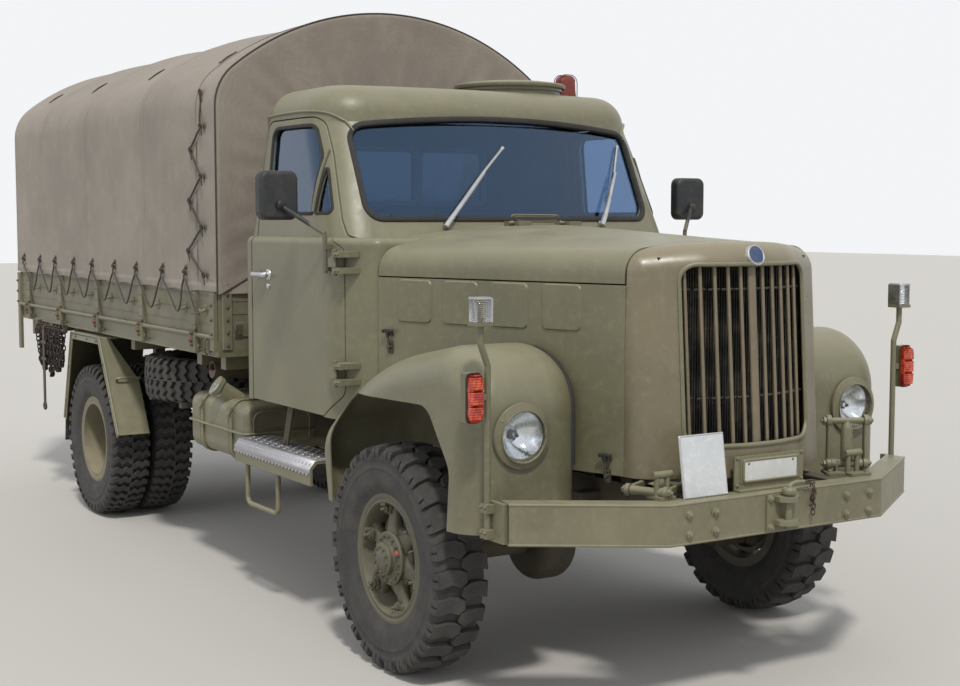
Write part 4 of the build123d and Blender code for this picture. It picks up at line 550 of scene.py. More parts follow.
olive = colour(115, 112, 88)
finish = {
    "body_paint": painted("body_paint", olive, rough=0.48, top_sheen=0.75),
    "board_paint": painted(
        "board_paint", colour(117, 113, 92), dust=0.30, wear=0.6, rust=0.35, edge=0.005
    ),
    "chassis_paint": painted(
        "chassis_paint", colour(70, 64, 52), dust=0.18, wear=0.3, rust=0.35, rough=0.75
    ),
    "wheel_paint": painted(
        "wheel_paint", colour(92, 90, 73), dust=0.14, wear=0.4, rust=0.3, edge=0.003, top_sheen=0.3
    ),
    "grille_grey": painted("grille_grey", colour(120, 109, 88), wear=0.5, rust=0.25, edge=0.003),
    "engine_iron": painted("engine_iron", colour(62, 62, 58), dust=0.3, rough=0.6),
    "dark_steel": steel("dark_steel", colour(92, 86, 76), rust=0.55, metal=0.7),
    "exhaust_steel": steel("exhaust_steel", colour(120, 108, 96), rough=0.5, rust=0.6, metal=0.8),
    "clear_glass": glass("clear_glass", (0.93, 0.95, 0.96, 1.0)),
    "amber_lens": plastic("amber_lens", colour(214, 66, 14), rough=0.22),
    # the blue tint of this glass and of its reflections is a painted sky reflection
    "window_glass": glass(
        "window_glass", (0.31, 0.42, 0.60, 1.0), sky=(0.45, 0.68, 1.0, 1.0), index=1.75
    ),
    "seat_vinyl": leather("seat_vinyl", colour(52, 50, 42)),
    "black_plastic": plastic("black_plastic", colour(26, 26, 26)),
    "pad_leather": leather("pad_leather", colour(122, 52, 44), rough=0.42),
    "tyre_rubber": rubber("tyre_rubber", (0.034, 0.034, 0.035, 1.0), dust=0.28),
    "canvas_cloth": canvas("canvas_cloth", colour(152, 142, 130)),
    "plate_metal": painted(
        "plate_metal", colour(206, 208, 206), dust=0.2, wear=0.3, rough=0.42, top_sheen=0.1
    ),
}
bright_steel = steel("bright_steel", colour(196, 196, 198), rough=0.18, rust=0.0)
tread_plate = steel("tread_plate", colour(186, 186, 190), rough=0.34, rust=0.05, metal=0.85)
black_rubber = rubber("black_rubber", (0.018, 0.018, 0.018, 1.0), dust=0.12)
rope_cotton = canvas("rope_cotton", colour(66, 62, 54))


def paint_over(piece, material):
    piece.data.materials.clear()
    piece.data.materials.append(material)


slot_of = {part["node"]: part["material_slot"] for part in frame["record"]["subparts"]}
for name, node in nodes.items():
    paint_over(node, finish[slot_of[name]])


# Floor, light and the camera of the photograph

stage_colour = Finish("stage_floor")
stage_colour.set(Base_Color=colour(196, 193, 188), Roughness=0.9)
floor_mesh = bpy.data.meshes.new("stage_floor")
floor_mesh.from_pydata([(-60, -60, 0), (60, -60, 0), (60, 60, 0), (-60, 60, 0)], [], [[0, 1, 2, 3]])
floor = bpy.data.objects.new("stage_floor", floor_mesh)
floor_mesh.materials.append(stage_colour.material)
bpy.context.scene.collection.objects.link(floor)
floor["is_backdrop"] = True

world = bpy.data.worlds.new("studio")
bpy.context.scene.world = world
world.use_nodes = True
sky = world.node_tree
backdrop = sky.nodes["Background"]
backdrop.inputs["Color"].default_value = (0.90, 0.91, 0.93, 1.0)
soft_light = sky.nodes.new("ShaderNodeBackground")
soft_light.inputs["Color"].default_value = (0.93, 0.96, 1.0, 1.0)
soft_light.inputs["Strength"].default_value = 0.64
either = sky.nodes.new("ShaderNodeMixShader")
paths = sky.nodes.new("ShaderNodeLightPath")
plain_view = paths.outputs["Is Camera Ray"]
for ray in ("Is Transmission Ray", "Is Glossy Ray"):
    either_ray = sky.nodes.new("ShaderNodeMath")
    either_ray.operation = "MAXIMUM"
    sky.links.new(plain_view, either_ray.inputs[0])
    sky.links.new(paths.outputs[ray], either_ray.inputs[1])
    plain_view = either_ray.outputs[0]
sky.links.new(plain_view, either.inputs[0])
sky.links.new(soft_light.outputs[0], either.inputs[1])
sky.links.new(backdrop.outputs[0], either.inputs[2])
sky.links.new(either.outputs[0], sky.nodes["World Output"].inputs["Surface"])


def sun(name, towards, strength, angle, tint=(1.0, 1.0, 1.0)):
    lamp = bpy.data.lights.new(name, "SUN")
    lamp.energy = strength
    lamp.angle = radians(angle)
    lamp.color = tint
    made = bpy.data.objects.new(name, lamp)
    made.rotation_euler = Vector(towards).to_track_quat("-Z", "Y").to_euler()
    bpy.context.scene.collection.objects.link(made)


sun("key_light", (-0.60, 0.26, -0.90), 2.0, 6, (1.0, 0.97, 0.91))
sun("fill_light", (-0.2, 1.0, -0.45), 0.30, 40)

camera = bpy.data.cameras.new("camera")
camera.lens = 55.93
camera.sensor_width = 36.0
camera.clip_end = 200.0
yaw, dip = radians(148.05), radians(4.77)
right = Vector((sin(yaw), -cos(yaw), 0))
ahead = Vector((cos(yaw) * cos(dip), sin(yaw) * cos(dip), -sin(dip)))
eye = bpy.data.objects.new("camera", camera)
eye.matrix_world = Matrix((right, right.cross(ahead), -ahead)).transposed().to_4x4()
eye.location = (8.023, -4.179, 1.996)
bpy.context.scene.collection.objects.link(eye)
bpy.context.scene.camera = eye
bpy.context.scene.view_settings.view_transform = "Standard"


# Tyres with chevron lugs, one form placed for every tyre

tyre_half_width = 0.124
wide_lug_count = 26
fine_lug_count = 44
# y as a share of the half width, radius: from the bead over the side to the middle of the tread
carcass = (
    (0.60, 0.262), (0.74, 0.270), (0.77, 0.292), (0.885, 0.312), (0.945, 0.325), (0.975, 0.345),
    (0.990, 0.368), (1.000, 0.390), (1.004, 0.396), (1.018, 0.399), (1.018, 0.403), (1.002, 0.406),
    (0.995, 0.420), (0.985, 0.434), (1.000, 0.437), (0.998, 0.443), (0.955, 0.456), (0.900, 0.468),
    (0.780, 0.477), (0.500, 0.481), (0.200, 0.483),
)
# one lug as y and the distance round the tread, from the shoulder inwards and back
wide_outline = (
    (0.118, -0.037), (0.060, -0.020), (0.020, -0.036), (-0.012, -0.014), (-0.005, 0.028),
    (0.030, 0.043), (0.066, 0.045), (0.118, 0.034),
)


def round_tyre(y, radius, angle):
    return Vector((radius * cos(angle), y, radius * sin(angle)))


def tread_top(y):
    return tyre_radius - 0.0005 - 0.013 * (abs(y) / tyre_half_width) ** 2.6


# finer zigzag lugs of the rear tyres and the spare, in the same way
fine_outline = (
    (0.118, -0.026), (0.092, -0.006), (0.066, -0.026), (0.040, -0.006), (0.014, -0.026), (-0.004, -0.014),
    (-0.004, 0.022), (0.014, 0.012), (0.040, 0.032), (0.066, 0.012), (0.092, 0.032), (0.118, 0.014),
)


def tyre_shape(lug_outline, lug_count):
    """A tyre about the Y axis. A wide lug ends in two ribs on the shoulder, a fine one in one."""
    ribs = ((-0.036, -0.006), (0.003, 0.033)) if lug_count == wide_lug_count else ((-0.024, 0.010),)
    form = Form()
    half = [(share * tyre_half_width, radius) for share, radius in carcass]
    section = half + [(-y, radius) for y, radius in reversed(half)]
    count = 104
    rows = [[round_tyre(y, radius, 2 * pi * k / count) for y, radius in section] for k in range(count)]
    form.add(grid(rows + [rows[0]]))
    for side in (-1, 1):
        for k in range(lug_count):
            start = 2 * pi * (k + (0.5 if side > 0 else 0.0)) / lug_count
            top, foot = [], []
            for y, reach in lug_outline:
                spread = 1.10 if y < 0.11 else 1.0
                top.append(round_tyre(side * y, tread_top(y), start + reach / tyre_radius))
                low = 0.470 if y < 0.11 else 0.452
                foot.append(round_tyre(side * y, low, start + spread * reach / tyre_radius))
            n = len(top)
            faces = [list(range(n)), list(range(n, 2 * n))[::-1]]
            faces += [[i, n + i, n + (i + 1) % n, (i + 1) % n] for i in range(n)]
            form.add((top + foot, faces if side < 0 else [face[::-1] for face in faces]))
            for low, high in ribs:
                rib = []
                for reach in (low, high):
                    a = start + reach / tyre_radius
                    b = start + (0.5 * (low + high) + 0.55 * (reach - 0.5 * (low + high))) / tyre_radius
                    rib += [
                        round_tyre(side * 0.1175, tyre_radius - 0.014, a),
                        round_tyre(side * 0.1275, 0.478, a), round_tyre(side * 0.1285, 0.458, a),
                        round_tyre(side * 0.1245, 0.441, b), round_tyre(side * 0.1160, 0.445, b),
                        round_tyre(side * 0.1060, 0.470, a),
                    ]
                faces = [[0, 1, 2, 3, 4, 5], [11, 10, 9, 8, 7, 6]]
                faces += [[i, i + 6, (i + 1) % 6 + 6, (i + 1) % 6] for i in range(6)]
                form.add((rib, faces if side > 0 else [face[::-1] for face in faces]))
    return form.points, form.faces


front_tyre_form = tyre_shape(wide_outline, wide_lug_count)
fine_tyre_form = tyre_shape(fine_outline, fine_lug_count)


def tyre(name, body, node, places, tyre_form):
    form = Form()
    for place in places:
        form.add(tyre_form, place)
    made = form.make(name, body, "tyre_rubber", smooth=38, bevel=0.0022)
    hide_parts(node)
    return made


for side, s in sides:
    node = f"tyre_front_{side}"
    tyre(f"front_tyre_{side}", f"front_wheel_{side}", node, [at(middle(node))], front_tyre_form)
    node = f"tyre_rear_{side}"
    low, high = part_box(node)
    offset = (high.y - low.y) / 2 - 0.126
    centre = middle(node)
    tyre(f"rear_tyres_{side}", f"rear_wheel_{side}", node, [
        at(centre + Vector((0, step * offset, 0))) @ Matrix.Rotation(0.11 * step, 4, "Y")
        for step in (-1, 1)], fine_tyre_form)
lying_flat = at(middle("spare_tyre")) @ Matrix.Rotation(radians(90), 4, "X")
tyre("spare_tyre_tread", "chassis", "spare_tyre", [lying_flat], fine_tyre_form)


# Canvas cover: one sheet over the hoops, with a front wall laced to it and a rear curtain

canvas_low, canvas_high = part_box("canvas_cover")
cloth = 0.0035
crown_radius = 1.580
shoulder_radius = 0.285
cover_half = canvas_high.y - cloth
apex_z = canvas_high.z - cloth
hem_z = canvas_low.z - 0.012
crown_z = apex_z - crown_radius
turn_angle = asin((cover_half - shoulder_radius) / (crown_radius - shoulder_radius))
shoulder_z = crown_z + (crown_radius - shoulder_radius) * cos(turn_angle)
crown_run = crown_radius * turn_angle
shoulder_run = shoulder_radius * (pi / 2 - turn_angle)
side_run = shoulder_z - hem_z
cover_run = crown_run + shoulder_run + side_run
hoops = [front_axle + x for x in (-1.985, -3.16, -4.30, -5.30, -6.01)]
eyelet_x = [front_axle + x for x in (-5.831, -5.394, -5.009, -4.564, -4.150, -3.692, -3.269, -2.807, -2.431)]
cleat_x = [front_axle + x for x in (-5.46, -5.047, -4.635, -4.226, -3.803, -3.371, -2.918, -2.47, -2.161)]
cleat_z = 1.487
eyelet_z = 1.650
lace_front = [(front_axle - 2.188, 2.69), (front_axle - 2.150, 2.502), (front_axle - 2.160, 2.229),
              (front_axle - 2.158, 1.948), (front_axle - 2.138, 1.683)]
lace_rear = [(front_axle - 2.307, 2.377), (front_axle - 2.334, 2.093), (front_axle - 2.361, 1.811)]
overlap_x = front_axle - 2.245

waves = [
    (random.uniform(-1, 1), random.uniform(-1, 1), random.uniform(0, 2 * pi), 1.0 / (1 + 0.5 * k))
    for k in range(14)
]


def ripple(u, v, scale):
    """A smooth uneven value from about -1 to 1."""
    total = 0.0
    for k, (a, b, phase, share) in enumerate(waves):
        total += share * sin((a * u + b * v) * scale * (1 + 0.35 * k) + phase)
    return total / 3.2


def over_hoops(run):
    """The point and the outward direction of the cover's section, by the run from its apex."""
    side = 1 if run >= 0 else -1
    t = abs(run)
    if t < crown_run:
        a = t / crown_radius
        return side * crown_radius * sin(a), crown_z + crown_radius * cos(a), side * sin(a), cos(a)
    if t < crown_run + shoulder_run:
        a = turn_angle + (t - crown_run) / shoulder_radius
        y = cover_half - shoulder_radius + shoulder_radius * sin(a)
        return side * y, shoulder_z + shoulder_radius * cos(a), side * sin(a), cos(a)
    return side * cover_half, shoulder_z - (t - crown_run - shoulder_run), side, 0.0


def between_hoops(x):
    """0 at a hoop and 1 halfway to the next."""
    for behind, before in zip(hoops[1:], hoops):
        if behind <= x <= before:
            return sin(pi * (x - behind) / (before - behind)) ** 2
    return 0.0


def side_folds(x, z):
    """Puckers above the eyelets and pulls beside the upright lacing."""
    depth = 0.0
    above = max(0.0, z - hem_z)
    for place in eyelet_x:
        spread = 0.03 + 0.35 * above
        depth += 0.010 * np.exp(-((x - place) / spread) ** 2) * np.exp(-above / 0.16)
    for place, height in lace_rear + lace_front[1:]:
        away = place - x if x < overlap_x else x - place
        if away > -0.03:
            reach = max(away, 0)
            fold = 0.008 * np.exp(-((z - height + 0.30 * reach) / (0.035 + 0.22 * reach)) ** 2)
            depth += fold * np.exp(-reach / 0.22)
    return depth


def cover_point(x, run, lift=0.0):
    y, z, out_y, out_z = over_hoops(run)
    top = min(1.0, max(0.0, (cover_run - side_run * 0.8 - abs(run)) / 0.8))
    sag = between_hoops(x) * (0.003 + 0.007 * top)
    edge = min(1.0, (cover_run - abs(run)) / 0.3, (canvas_high.x - x) / 0.15, (x - canvas_low.x) / 0.15)
    sag += 0.0045 * max(0.0, edge) * ripple(x * 1.6, run * 1.1, 2.3)
    if z < shoulder_z:
        sag += side_folds(x, z)
        sag -= 0.004 if z < hem_z + 0.045 else 0.0
    for place in hoops[1:-1]:
        sag -= 0.0035 * np.exp(-((x - place) / 0.016) ** 2)
        sag -= 0.0020 if abs(x - place - 0.045) < 0.016 else 0.0
    sag = max(sag, -0.002) - lift
    hem = 0.0
    if abs(run) > cover_run - 0.08:
        near = min(abs(x - place) for place in eyelet_x)
        hem = 0.012 * min(1.0, near / 0.2) * (1 - (cover_run - abs(run)) / 0.08)
    return Vector((x, y - out_y * sag, z - out_z * sag + hem))


def spaced(low, high, step, extra=()):
    count = max(2, int(round((high - low) / step)) + 1)
    return sorted(set(np.linspace(low, high, count).round(5)) | {round(x, 5) for x in extra})


seams = [x + d for x in hoops[1:-1] for d in (-0.02, -0.008, 0, 0.008, 0.02, 0.028, 0.030, 0.060, 0.062)]
cover_xs = spaced(canvas_low.x + 0.002, overlap_x, 0.030, seams)
runs = spaced(
    -cover_run, cover_run, 0.032, [s * (cover_run - d) for s in (-1, 1) for d in (0.004, 0.044, 0.048)]
)
main = Form()
main.add(grid([[cover_point(x, run, 0.0) for run in runs] for x in cover_xs]))
cover = main.make("canvas_main", "chassis", "canvas_cloth", smooth=60, thickness=0.003)
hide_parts("canvas_cover")

# the front wall wraps round the corner and lies under the main sheet's edge
corner_radius = 0.018
wrap = Form()
wrap_xs = spaced(overlap_x - 0.06, canvas_high.x - corner_radius, 0.022)
rows = [[cover_point(x, run, -0.004) for run in runs] for x in wrap_xs]
wall_x = canvas_high.x - 0.004
for turn in (35, 70, 90):
    a = radians(turn)
    row = []
    for run in runs:
        y, z, out_y, out_z = over_hoops(run)
        inward = 0.004 + corner_radius * (1 - cos(a))
        row.append(
            Vector(
                (wall_x - corner_radius + corner_radius * sin(a), y - out_y * inward, z - out_z * inward)
            )
        )
    rows.append(row)
middle_z = 2.15
for share in np.linspace(0.97, 0.0, 34):
    row = []
    for run in runs:
        y, z, out_y, out_z = over_hoops(run)
        inward = 0.004 + corner_radius
        y, z = (y - out_y * inward) * share, middle_z + (z - out_z * inward - middle_z) * share
        hang = 0.018 * (1 - share ** 4) + 0.010 * (1 - share) * ripple(y * 3.0, z * 1.0, 2.0)
        hang += 0.006 * share ** 3 * (1 - share) * 6 * sin(38 * run) * (0.6 + 0.4 * sin(11 * run))
        row.append(Vector((wall_x - hang, y, z)))
    rows.append(row)
wrap.add(grid(rows))
# below the middle the wall goes straight down to the hem
low_rows = []
wall_half = cover_half - 0.004 - corner_radius
for share in np.linspace(0, 1, 14):
    row = []
    for y in np.linspace(-wall_half, wall_half, 60):
        top = middle_z + (hem_z - middle_z) * abs(y) / wall_half
        z = top + (hem_z - top) * share
        row.append(Vector((wall_x - 0.018 + 0.010 * share * (1 + 0.5 * sin(19 * y)), y, z)))
    low_rows.append(row)
wrap.add(grid(low_rows))
front_wall = wrap.make("canvas_front", "chassis", "canvas_cloth", smooth=60, thickness=0.003)

# rear curtain, in three widths with overlapping seams
curtain = Form()
curtain_x = canvas_low.x + 0.006
rows = []
curtain_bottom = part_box("tailgate")[1].z + 0.012
for share in np.linspace(0, 1, 40):
    row = []
    for y in np.linspace(-cover_half + 0.008, cover_half - 0.008, 88):
        run = next(
            (r for r in np.linspace(0, cover_run, 240) if abs(over_hoops(r)[0]) >= abs(y) - 1e-6),
            crown_run + shoulder_run
        )
        top = over_hoops(run)[1] - 0.01
        z = top + (curtain_bottom - top) * share
        fold = 0.010 * sin(13 * y + 1.5 * sin(3 * z)) * share * (1 - 0.4 * share)
        fold += 0.004 if abs(abs(y) - 0.36) < 0.02 else 0.0
        row.append(Vector((curtain_x + 0.014 - fold * 0.8 - (0.004 if share > 0.95 else 0.0), y, z)))
    rows.append(row)
curtain.add(grid(rows))
rear_wall = curtain.make("canvas_rear", "chassis", "canvas_cloth", smooth=60, thickness=0.003)

# piping along the front corner
piping = Form()
for s in (-1, 1):
    line = []
    for run in np.linspace(0, s * cover_run, 60):
        y, z, out_y, out_z = over_hoops(run)
        line.append(Vector((canvas_high.x - 0.010, y - out_y * 0.004, z - out_z * 0.004)))
    piping.add(along(line, 0.0055, 6))
piping.make("canvas_piping", "chassis", "canvas_cloth", rope_cotton)

# Places on the frame: where a line of sight or a straight line meets the CAD nodes

trees = {}


def tree(name):
    if name not in trees:
        mesh = nodes[name].data
        trees[name] = BVHTree.FromPolygons(
            [v.co.copy() for v in mesh.vertices], [list(p.vertices) for p in mesh.polygons]
        )
    return trees[name]


def cast(origin, direction, *names):
    """The nearest point of the named nodes on a line, with the surface's direction there."""
    best = None
    towards = Vector(direction).normalized()
    for name in names:
        place, normal, _, distance = tree(name).ray_cast(Vector(origin), towards)
        if place is not None and (best is None or distance < best[2]):
            best = (place, normal if normal.dot(towards) < 0 else -normal, distance)
    return best


focal, centre_u, centre_v = 1491.5, 480.0, 343.0
above = right.cross(ahead)


def seen(u, v, *names):
    """The place and the surface's direction that the photograph's camera sees at a pixel of the nodes."""
    towards = ahead * focal + right * (u - centre_u) - above * (v - centre_v)
    hit = cast(eye.location, towards, *names)
    if hit is None:
        raise ValueError(f"nothing of {names} at {u}, {v}")
    return hit[0], hit[1]


def strip(points, normals, width, height, closed=False, crown=0.6):
    """A low strip that lies on a surface along points, narrower at its top."""
    n = len(points)
    rows = []
    for i in range(n):
        before = points[i - 1] if (i or closed) else points[i]
        after = points[(i + 1) % n] if (i < n - 1 or closed) else points[i]
        normal = Vector(normals[i]).normalized()
        across = (after - before).cross(normal).normalized() * (width / 2)
        lift = normal * height
        rows.append([points[i] - across - lift * 0.3, points[i] - across * (0.5 + crown / 2) + lift * 0.75,
                     points[i] - across * crown * 0.5 + lift, points[i] + across * crown * 0.5 + lift,
                     points[i] + across * (0.5 + crown / 2) + lift * 0.75, points[i] + across - lift * 0.3])
    if closed:
        rows.append(rows[0])
    shape, faces = grid(rows, wrap=True)
    if not closed:
        faces += [[0, 1, 2, 3, 4, 5], [(n - 1) * 6 + k for k in range(6)][::-1]]
    return shape, faces


def lacing_cord(name, route, radius):
    """A taut rope: one open smooth spline through its route's points."""
    curve = bpy.data.curves.new(name, "CURVE")
    curve.dimensions = "3D"
    curve.bevel_depth = radius
    curve.bevel_resolution = 2
    curve.use_fill_caps = True
    curve.resolution_u = 4
    line = curve.splines.new("NURBS")
    line.points.add(len(route) - 1)
    for point, place in zip(line.points, route):
        point.co = (*place, 1.0)
    line.order_u = 3
    line.use_endpoint_u = True
    made = bpy.data.objects.new(name, curve)
    bpy.context.scene.collection.objects.link(made)
    curve.materials.append(rope_cotton)
    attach(made, "chassis")
    return made


# Lacing: cords from the eyelets down to the cleats of the bed, and up the front seam

bed_side_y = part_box("bed_sides")[0].y
rope_radius = 0.0058
eyelet = turned([(0.006, 0), (0.006, 0.004), (0.010, 0.0055), (0.014, 0.003), (0.015, 0)], 16)
cleats = Form()
eyelets = Form()
knots = Form()
for side, s in sides:
    rope_y = s * (cover_half + 0.010)
    for x in cleat_x:
        hit = cast((x, s * 1.5, cleat_z), (0, -s, 0), "bed_sides")
        base = hit[0]
        out = Vector((0, s, 0))
        cleats.add(slab((-0.022, 0.022), (-0.030, 0.030), (-0.002, 0.005), 0.006), facing(base, out))
        horn = [base + Vector((-0.045, s * 0.018, 0.004)), base + Vector((-0.018, s * 0.022, -0.004)),
                base + Vector((0.018, s * 0.022, -0.004)), base + Vector((0.045, s * 0.018, 0.004))]
        cleats.add(along(bend(horn, 4), [0.006] * 5 + [0.008] * 3 + [0.006] * 5, 8))
        cleats.add(along([base, base + Vector((0, s * 0.020, -0.003))], [0.011, 0.008], 8))
        for dz in (-0.020, 0.020):
            cleats.add(round_head(0.012), facing(base + Vector((0, s * 0.005, dz)), out))
    for x in eyelet_x:
        for z in (eyelet_z + 0.035, eyelet_z + 0.070):
            eyelets.add(eyelet,
                        facing(Vector((x, s * (cover_half - 0.002), z)), (0, s, 0)))
        loop = [Vector((x + 0.004, s * (cover_half + 0.002), eyelet_z + 0.070)),
                Vector((x - 0.006, s * (cover_half + 0.012), eyelet_z + 0.052)),
                Vector((x + 0.007, s * (cover_half + 0.012), eyelet_z + 0.038)),
                Vector((x - 0.003, s * (cover_half + 0.012), eyelet_z + 0.018)),
                Vector((x + 0.002, s * (cover_half + 0.014), eyelet_z + 0.002))]
        knots.add(along(bend(loop, 4), 0.0050, 7))
        knots.add(turned([(0, -0.012), (0.009, -0.008), (0.012, 0), (0.009, 0.008), (0, 0.012)], 9),
                  at(Vector((x, s * (cover_half + 0.013), eyelet_z + 0.044))))
    corners = []
    order = sorted([(x, "up") for x in eyelet_x] + [(x, "down") for x in cleat_x])
    for x, way in order:
        if way == "up":
            corners.append((Vector((x, rope_y, eyelet_z - 0.004)), 0.013, 1))
        else:
            corners.append((Vector((x, s * (abs(bed_side_y) + 0.016), cleat_z - 0.010)), 0.022, -1))
    route = []
    for i, (point, half, way) in enumerate(corners):
        shift = Vector((half, 0, 0))
        if i:
            route.append(point - shift + (corners[i - 1][0] - point).normalized() * 0.05)
        route.append(point - shift + Vector((0, 0, 0.008 * way)))
        route.append(point + shift + Vector((0, 0, 0.008 * way)))
        if i < len(corners) - 1:
            route.append(point + shift + (corners[i + 1][0] - point).normalized() * 0.05)
    lacing_cord(f"lacing_low_{side}", route, rope_radius)
    # up the front seam
    stations = sorted(lace_front + lace_rear, key=lambda place: place[1])
    route = []
    for i, (x, z) in enumerate(stations):
        arc = crown_run + shoulder_run
        run = arc + shoulder_z - z if z < shoulder_z else arc - 0.10
        y = s * (abs(over_hoops(run)[0]) + 0.011)
        point = Vector((x, y, z))
        if i:
            back = stations[i - 1]
            route.append(point + (Vector((back[0], y, back[1])) - point).normalized() * 0.05)
        route.append(point - Vector((0, 0, 0.010)))
        route.append(point + Vector((0, 0, 0.010)))
        if i < len(stations) - 1:
            on = stations[i + 1]
            route.append(point + (Vector((on[0], y, on[1])) - point).normalized() * 0.05)
        for k in range(3):
            knots.add(
                along(
                    [
                        point + 0.016 * Vector((cos(a), 0.25 * s * (k - 1), 0.8 * sin(a)))
                        for a in steps_round(10)
                    ],
                    0.0042, 6, closed=True
                ),
                at(Vector((0.006 * (k - 1), 0, 0.005 * (k - 1))))
            )
        eyelets.add(
            eyelet,
            facing(
                Vector((x + (0.03 if x > overlap_x else -0.03), s * (cover_half - 0.002), z)), (0, s, 0)
            )
        )
        tail = [point, point + Vector((0.025, s * 0.006, -0.02)), point + Vector((0.035, s * 0.004, -0.055))]
        knots.add(along(bend(tail, 4), [0.004] * 8 + [0.0025], 6))
    lacing_cord(f"lacing_front_{side}", route, rope_radius)
    for x in (-2.271, -3.435, -4.575, -5.624):
        place = cover_point(front_axle + x, s * (crown_run * 0.93), 0.004)
        direction = (cover_point(front_axle + x, s * (crown_run * 0.80), 0.004) - place).normalized()
        eyelets.add(eyelet,
                    facing(place, (0, s * 0.5, 0.9)))
        line = [place, place + direction * 0.05 + Vector((0.004, 0, 0.006)), place + direction * 0.115]
        knots.add(along(bend(line, 4), 0.0048, 7))
cleats.make("rope_cleats", "chassis", "body_paint", bevel=0.0012)
eyelets.make("canvas_eyelets", "chassis", "dark_steel")
knots.make("rope_loops", "chassis", "canvas_cloth", rope_cotton, smooth=60)

def round_path(corners, steps=6):
    """A closed outline from (u, v, radius) corners, each rounded by an arc where it has a radius."""
    out = []
    n = len(corners)
    for i, (u, v, radius) in enumerate(corners):
        here = Vector((u, v))
        if not radius:
            out.append((u, v))
            continue
        before = (Vector(corners[i - 1][:2]) - here).normalized()
        after = (Vector(corners[(i + 1) % n][:2]) - here).normalized()
        half = before.angle(after) / 2
        reach = radius / np.tan(half)
        centre = here + (before + after).normalized() * (radius / sin(half))
        start = here + before * reach - centre
        end = here + after * reach - centre
        turn = start.angle_signed(end)
        for k in range(steps + 1):
            a = -turn * k / steps
            out.append(
                (
                    centre.x + start.x * cos(a) - start.y * sin(a),
                    centre.y + start.x * sin(a) + start.y * cos(a)
                )
            )
    return out


def filled(outline, spacing):
    """An outline with more points on its long runs."""
    out = []
    for i, (u, v) in enumerate(outline):
        b = outline[(i + 1) % len(outline)]
        count = max(1, int(np.ceil(hypot(b[0] - u, b[1] - v) / spacing)))
        out += [(u + (b[0] - u) * k / count, v + (b[1] - v) * k / count) for k in range(count)]
    return out


def on_surface(outline, place_of, direction, *names):
    """Casts each point of an outline onto nodes, and gives the points met and the surface's directions."""
    points, normals = [], []
    for u, v in outline:
        hit = cast(place_of(u, v), direction, *names)
        if hit:
            points.append(hit[0])
            normals.append(hit[1])
    smooth = []
    for i in range(len(normals)):
        smooth.append((normals[i - 2] + normals[i - 1] * 2 + normals[i] * 3
                       + normals[(i + 1) % len(normals)] * 2 + normals[(i + 2) % len(normals)]).normalized())
    return points, smooth


# Windows: rubbers, the divider of the quarter light, and the pale frame of the rear window inside

def screen_outline(grow):
    half, low, high, crown = 0.832 + grow, 2.002 - grow, 2.440 + grow, 2.492 + grow
    top = [(y, crown - (crown - high) * (y / half) ** 2, 0) for y in np.linspace(half, -half, 15)[1:-1]]
    return round_path(
        [(-half, low, 0.075), (half, low, 0.075), (half, high, 0.085)] + top + [(-half, high, 0.085)]
    )


light_corners = [
    (-1.450, 2.020, 0.025), (-1.450, 2.455, 0.060), (-1.010, 2.455, 0.070), (-0.917, 2.290, 0.20),
    (-0.917, 2.020, 0.015)
]
quarter_corners = [(-0.889, 2.020, 0.015), (-0.889, 2.268, 0.008), (-0.779, 2.020, 0.022)]

rubbers = Form()
outline = filled(screen_outline(0.009), 0.03)
points, normals = on_surface(outline, lambda y, z: (front_axle + 0.3, y, z), (-1, 0, 0), "cab_shell")
rubbers.add(strip(points, normals, 0.030, 0.012, closed=True))
for s in (-1, 1):
    y = s * 0.2235
    outline = filled([(y + a, 2.23 + b) for a, b in rounded(0.212, 0.150, 0.035)], 0.05)
    points, normals = on_surface(outline, lambda y, z: (front_axle - 2.2, y, z), (1, 0, 0), "cab_shell")
    rubbers.add(strip(points, normals, 0.022, 0.009, closed=True))
rubbers.make("window_rubbers", "chassis", "black_plastic", black_rubber, smooth=50)
frame_inside = Form()
for s in (-1, 1):
    y = s * 0.2235
    outline = filled([(y + a, 2.23 + b) for a, b in rounded(0.214, 0.152, 0.035)], 0.05)
    points, normals = on_surface(outline, lambda y, z: (front_axle - 1.1, y, z), (-1, 0, 0), "cab_shell")
    frame_inside.add(strip(points, normals, 0.034, 0.008, closed=True))
pale_frame = painted("pale_frame", colour(176, 182, 182), dust=0.1, wear=0.2, rough=0.45, top_sheen=0.1)
frame_inside.make("rear_window_frame", "chassis", "grille_grey", pale_frame, smooth=50)
for side, s in sides:
    seals = Form()
    bars = Form()
    for corners, width in ((light_corners, 0.020), (quarter_corners, 0.016)):
        outline = filled(round_path(corners), 0.04)
        points, normals = on_surface(
            outline, lambda x, z: (front_axle + x, s * 1.4, z), (0, -s, 0), f"door_{side}"
        )
        seals.add(strip(points, normals, width, 0.006, closed=True))
    line = [(-0.903, z) for z in np.linspace(2.03, 2.33, 12)]
    points, normals = on_surface(line, lambda x, z: (front_axle + x, s * 1.4, z), (0, -s, 0), f"door_{side}")
    bars.add(
        strip(
            [p + Vector((0, s * 0.003, 0)) for p in points], [Vector((0, s, 0))] * len(points), 0.016,
            0.010
        )
    )
    seals.make(f"door_seals_{side}", f"door_{side}", "black_plastic", black_rubber, smooth=50)
    bars.make(f"window_divider_{side}", f"door_{side}", "body_paint", smooth=50)
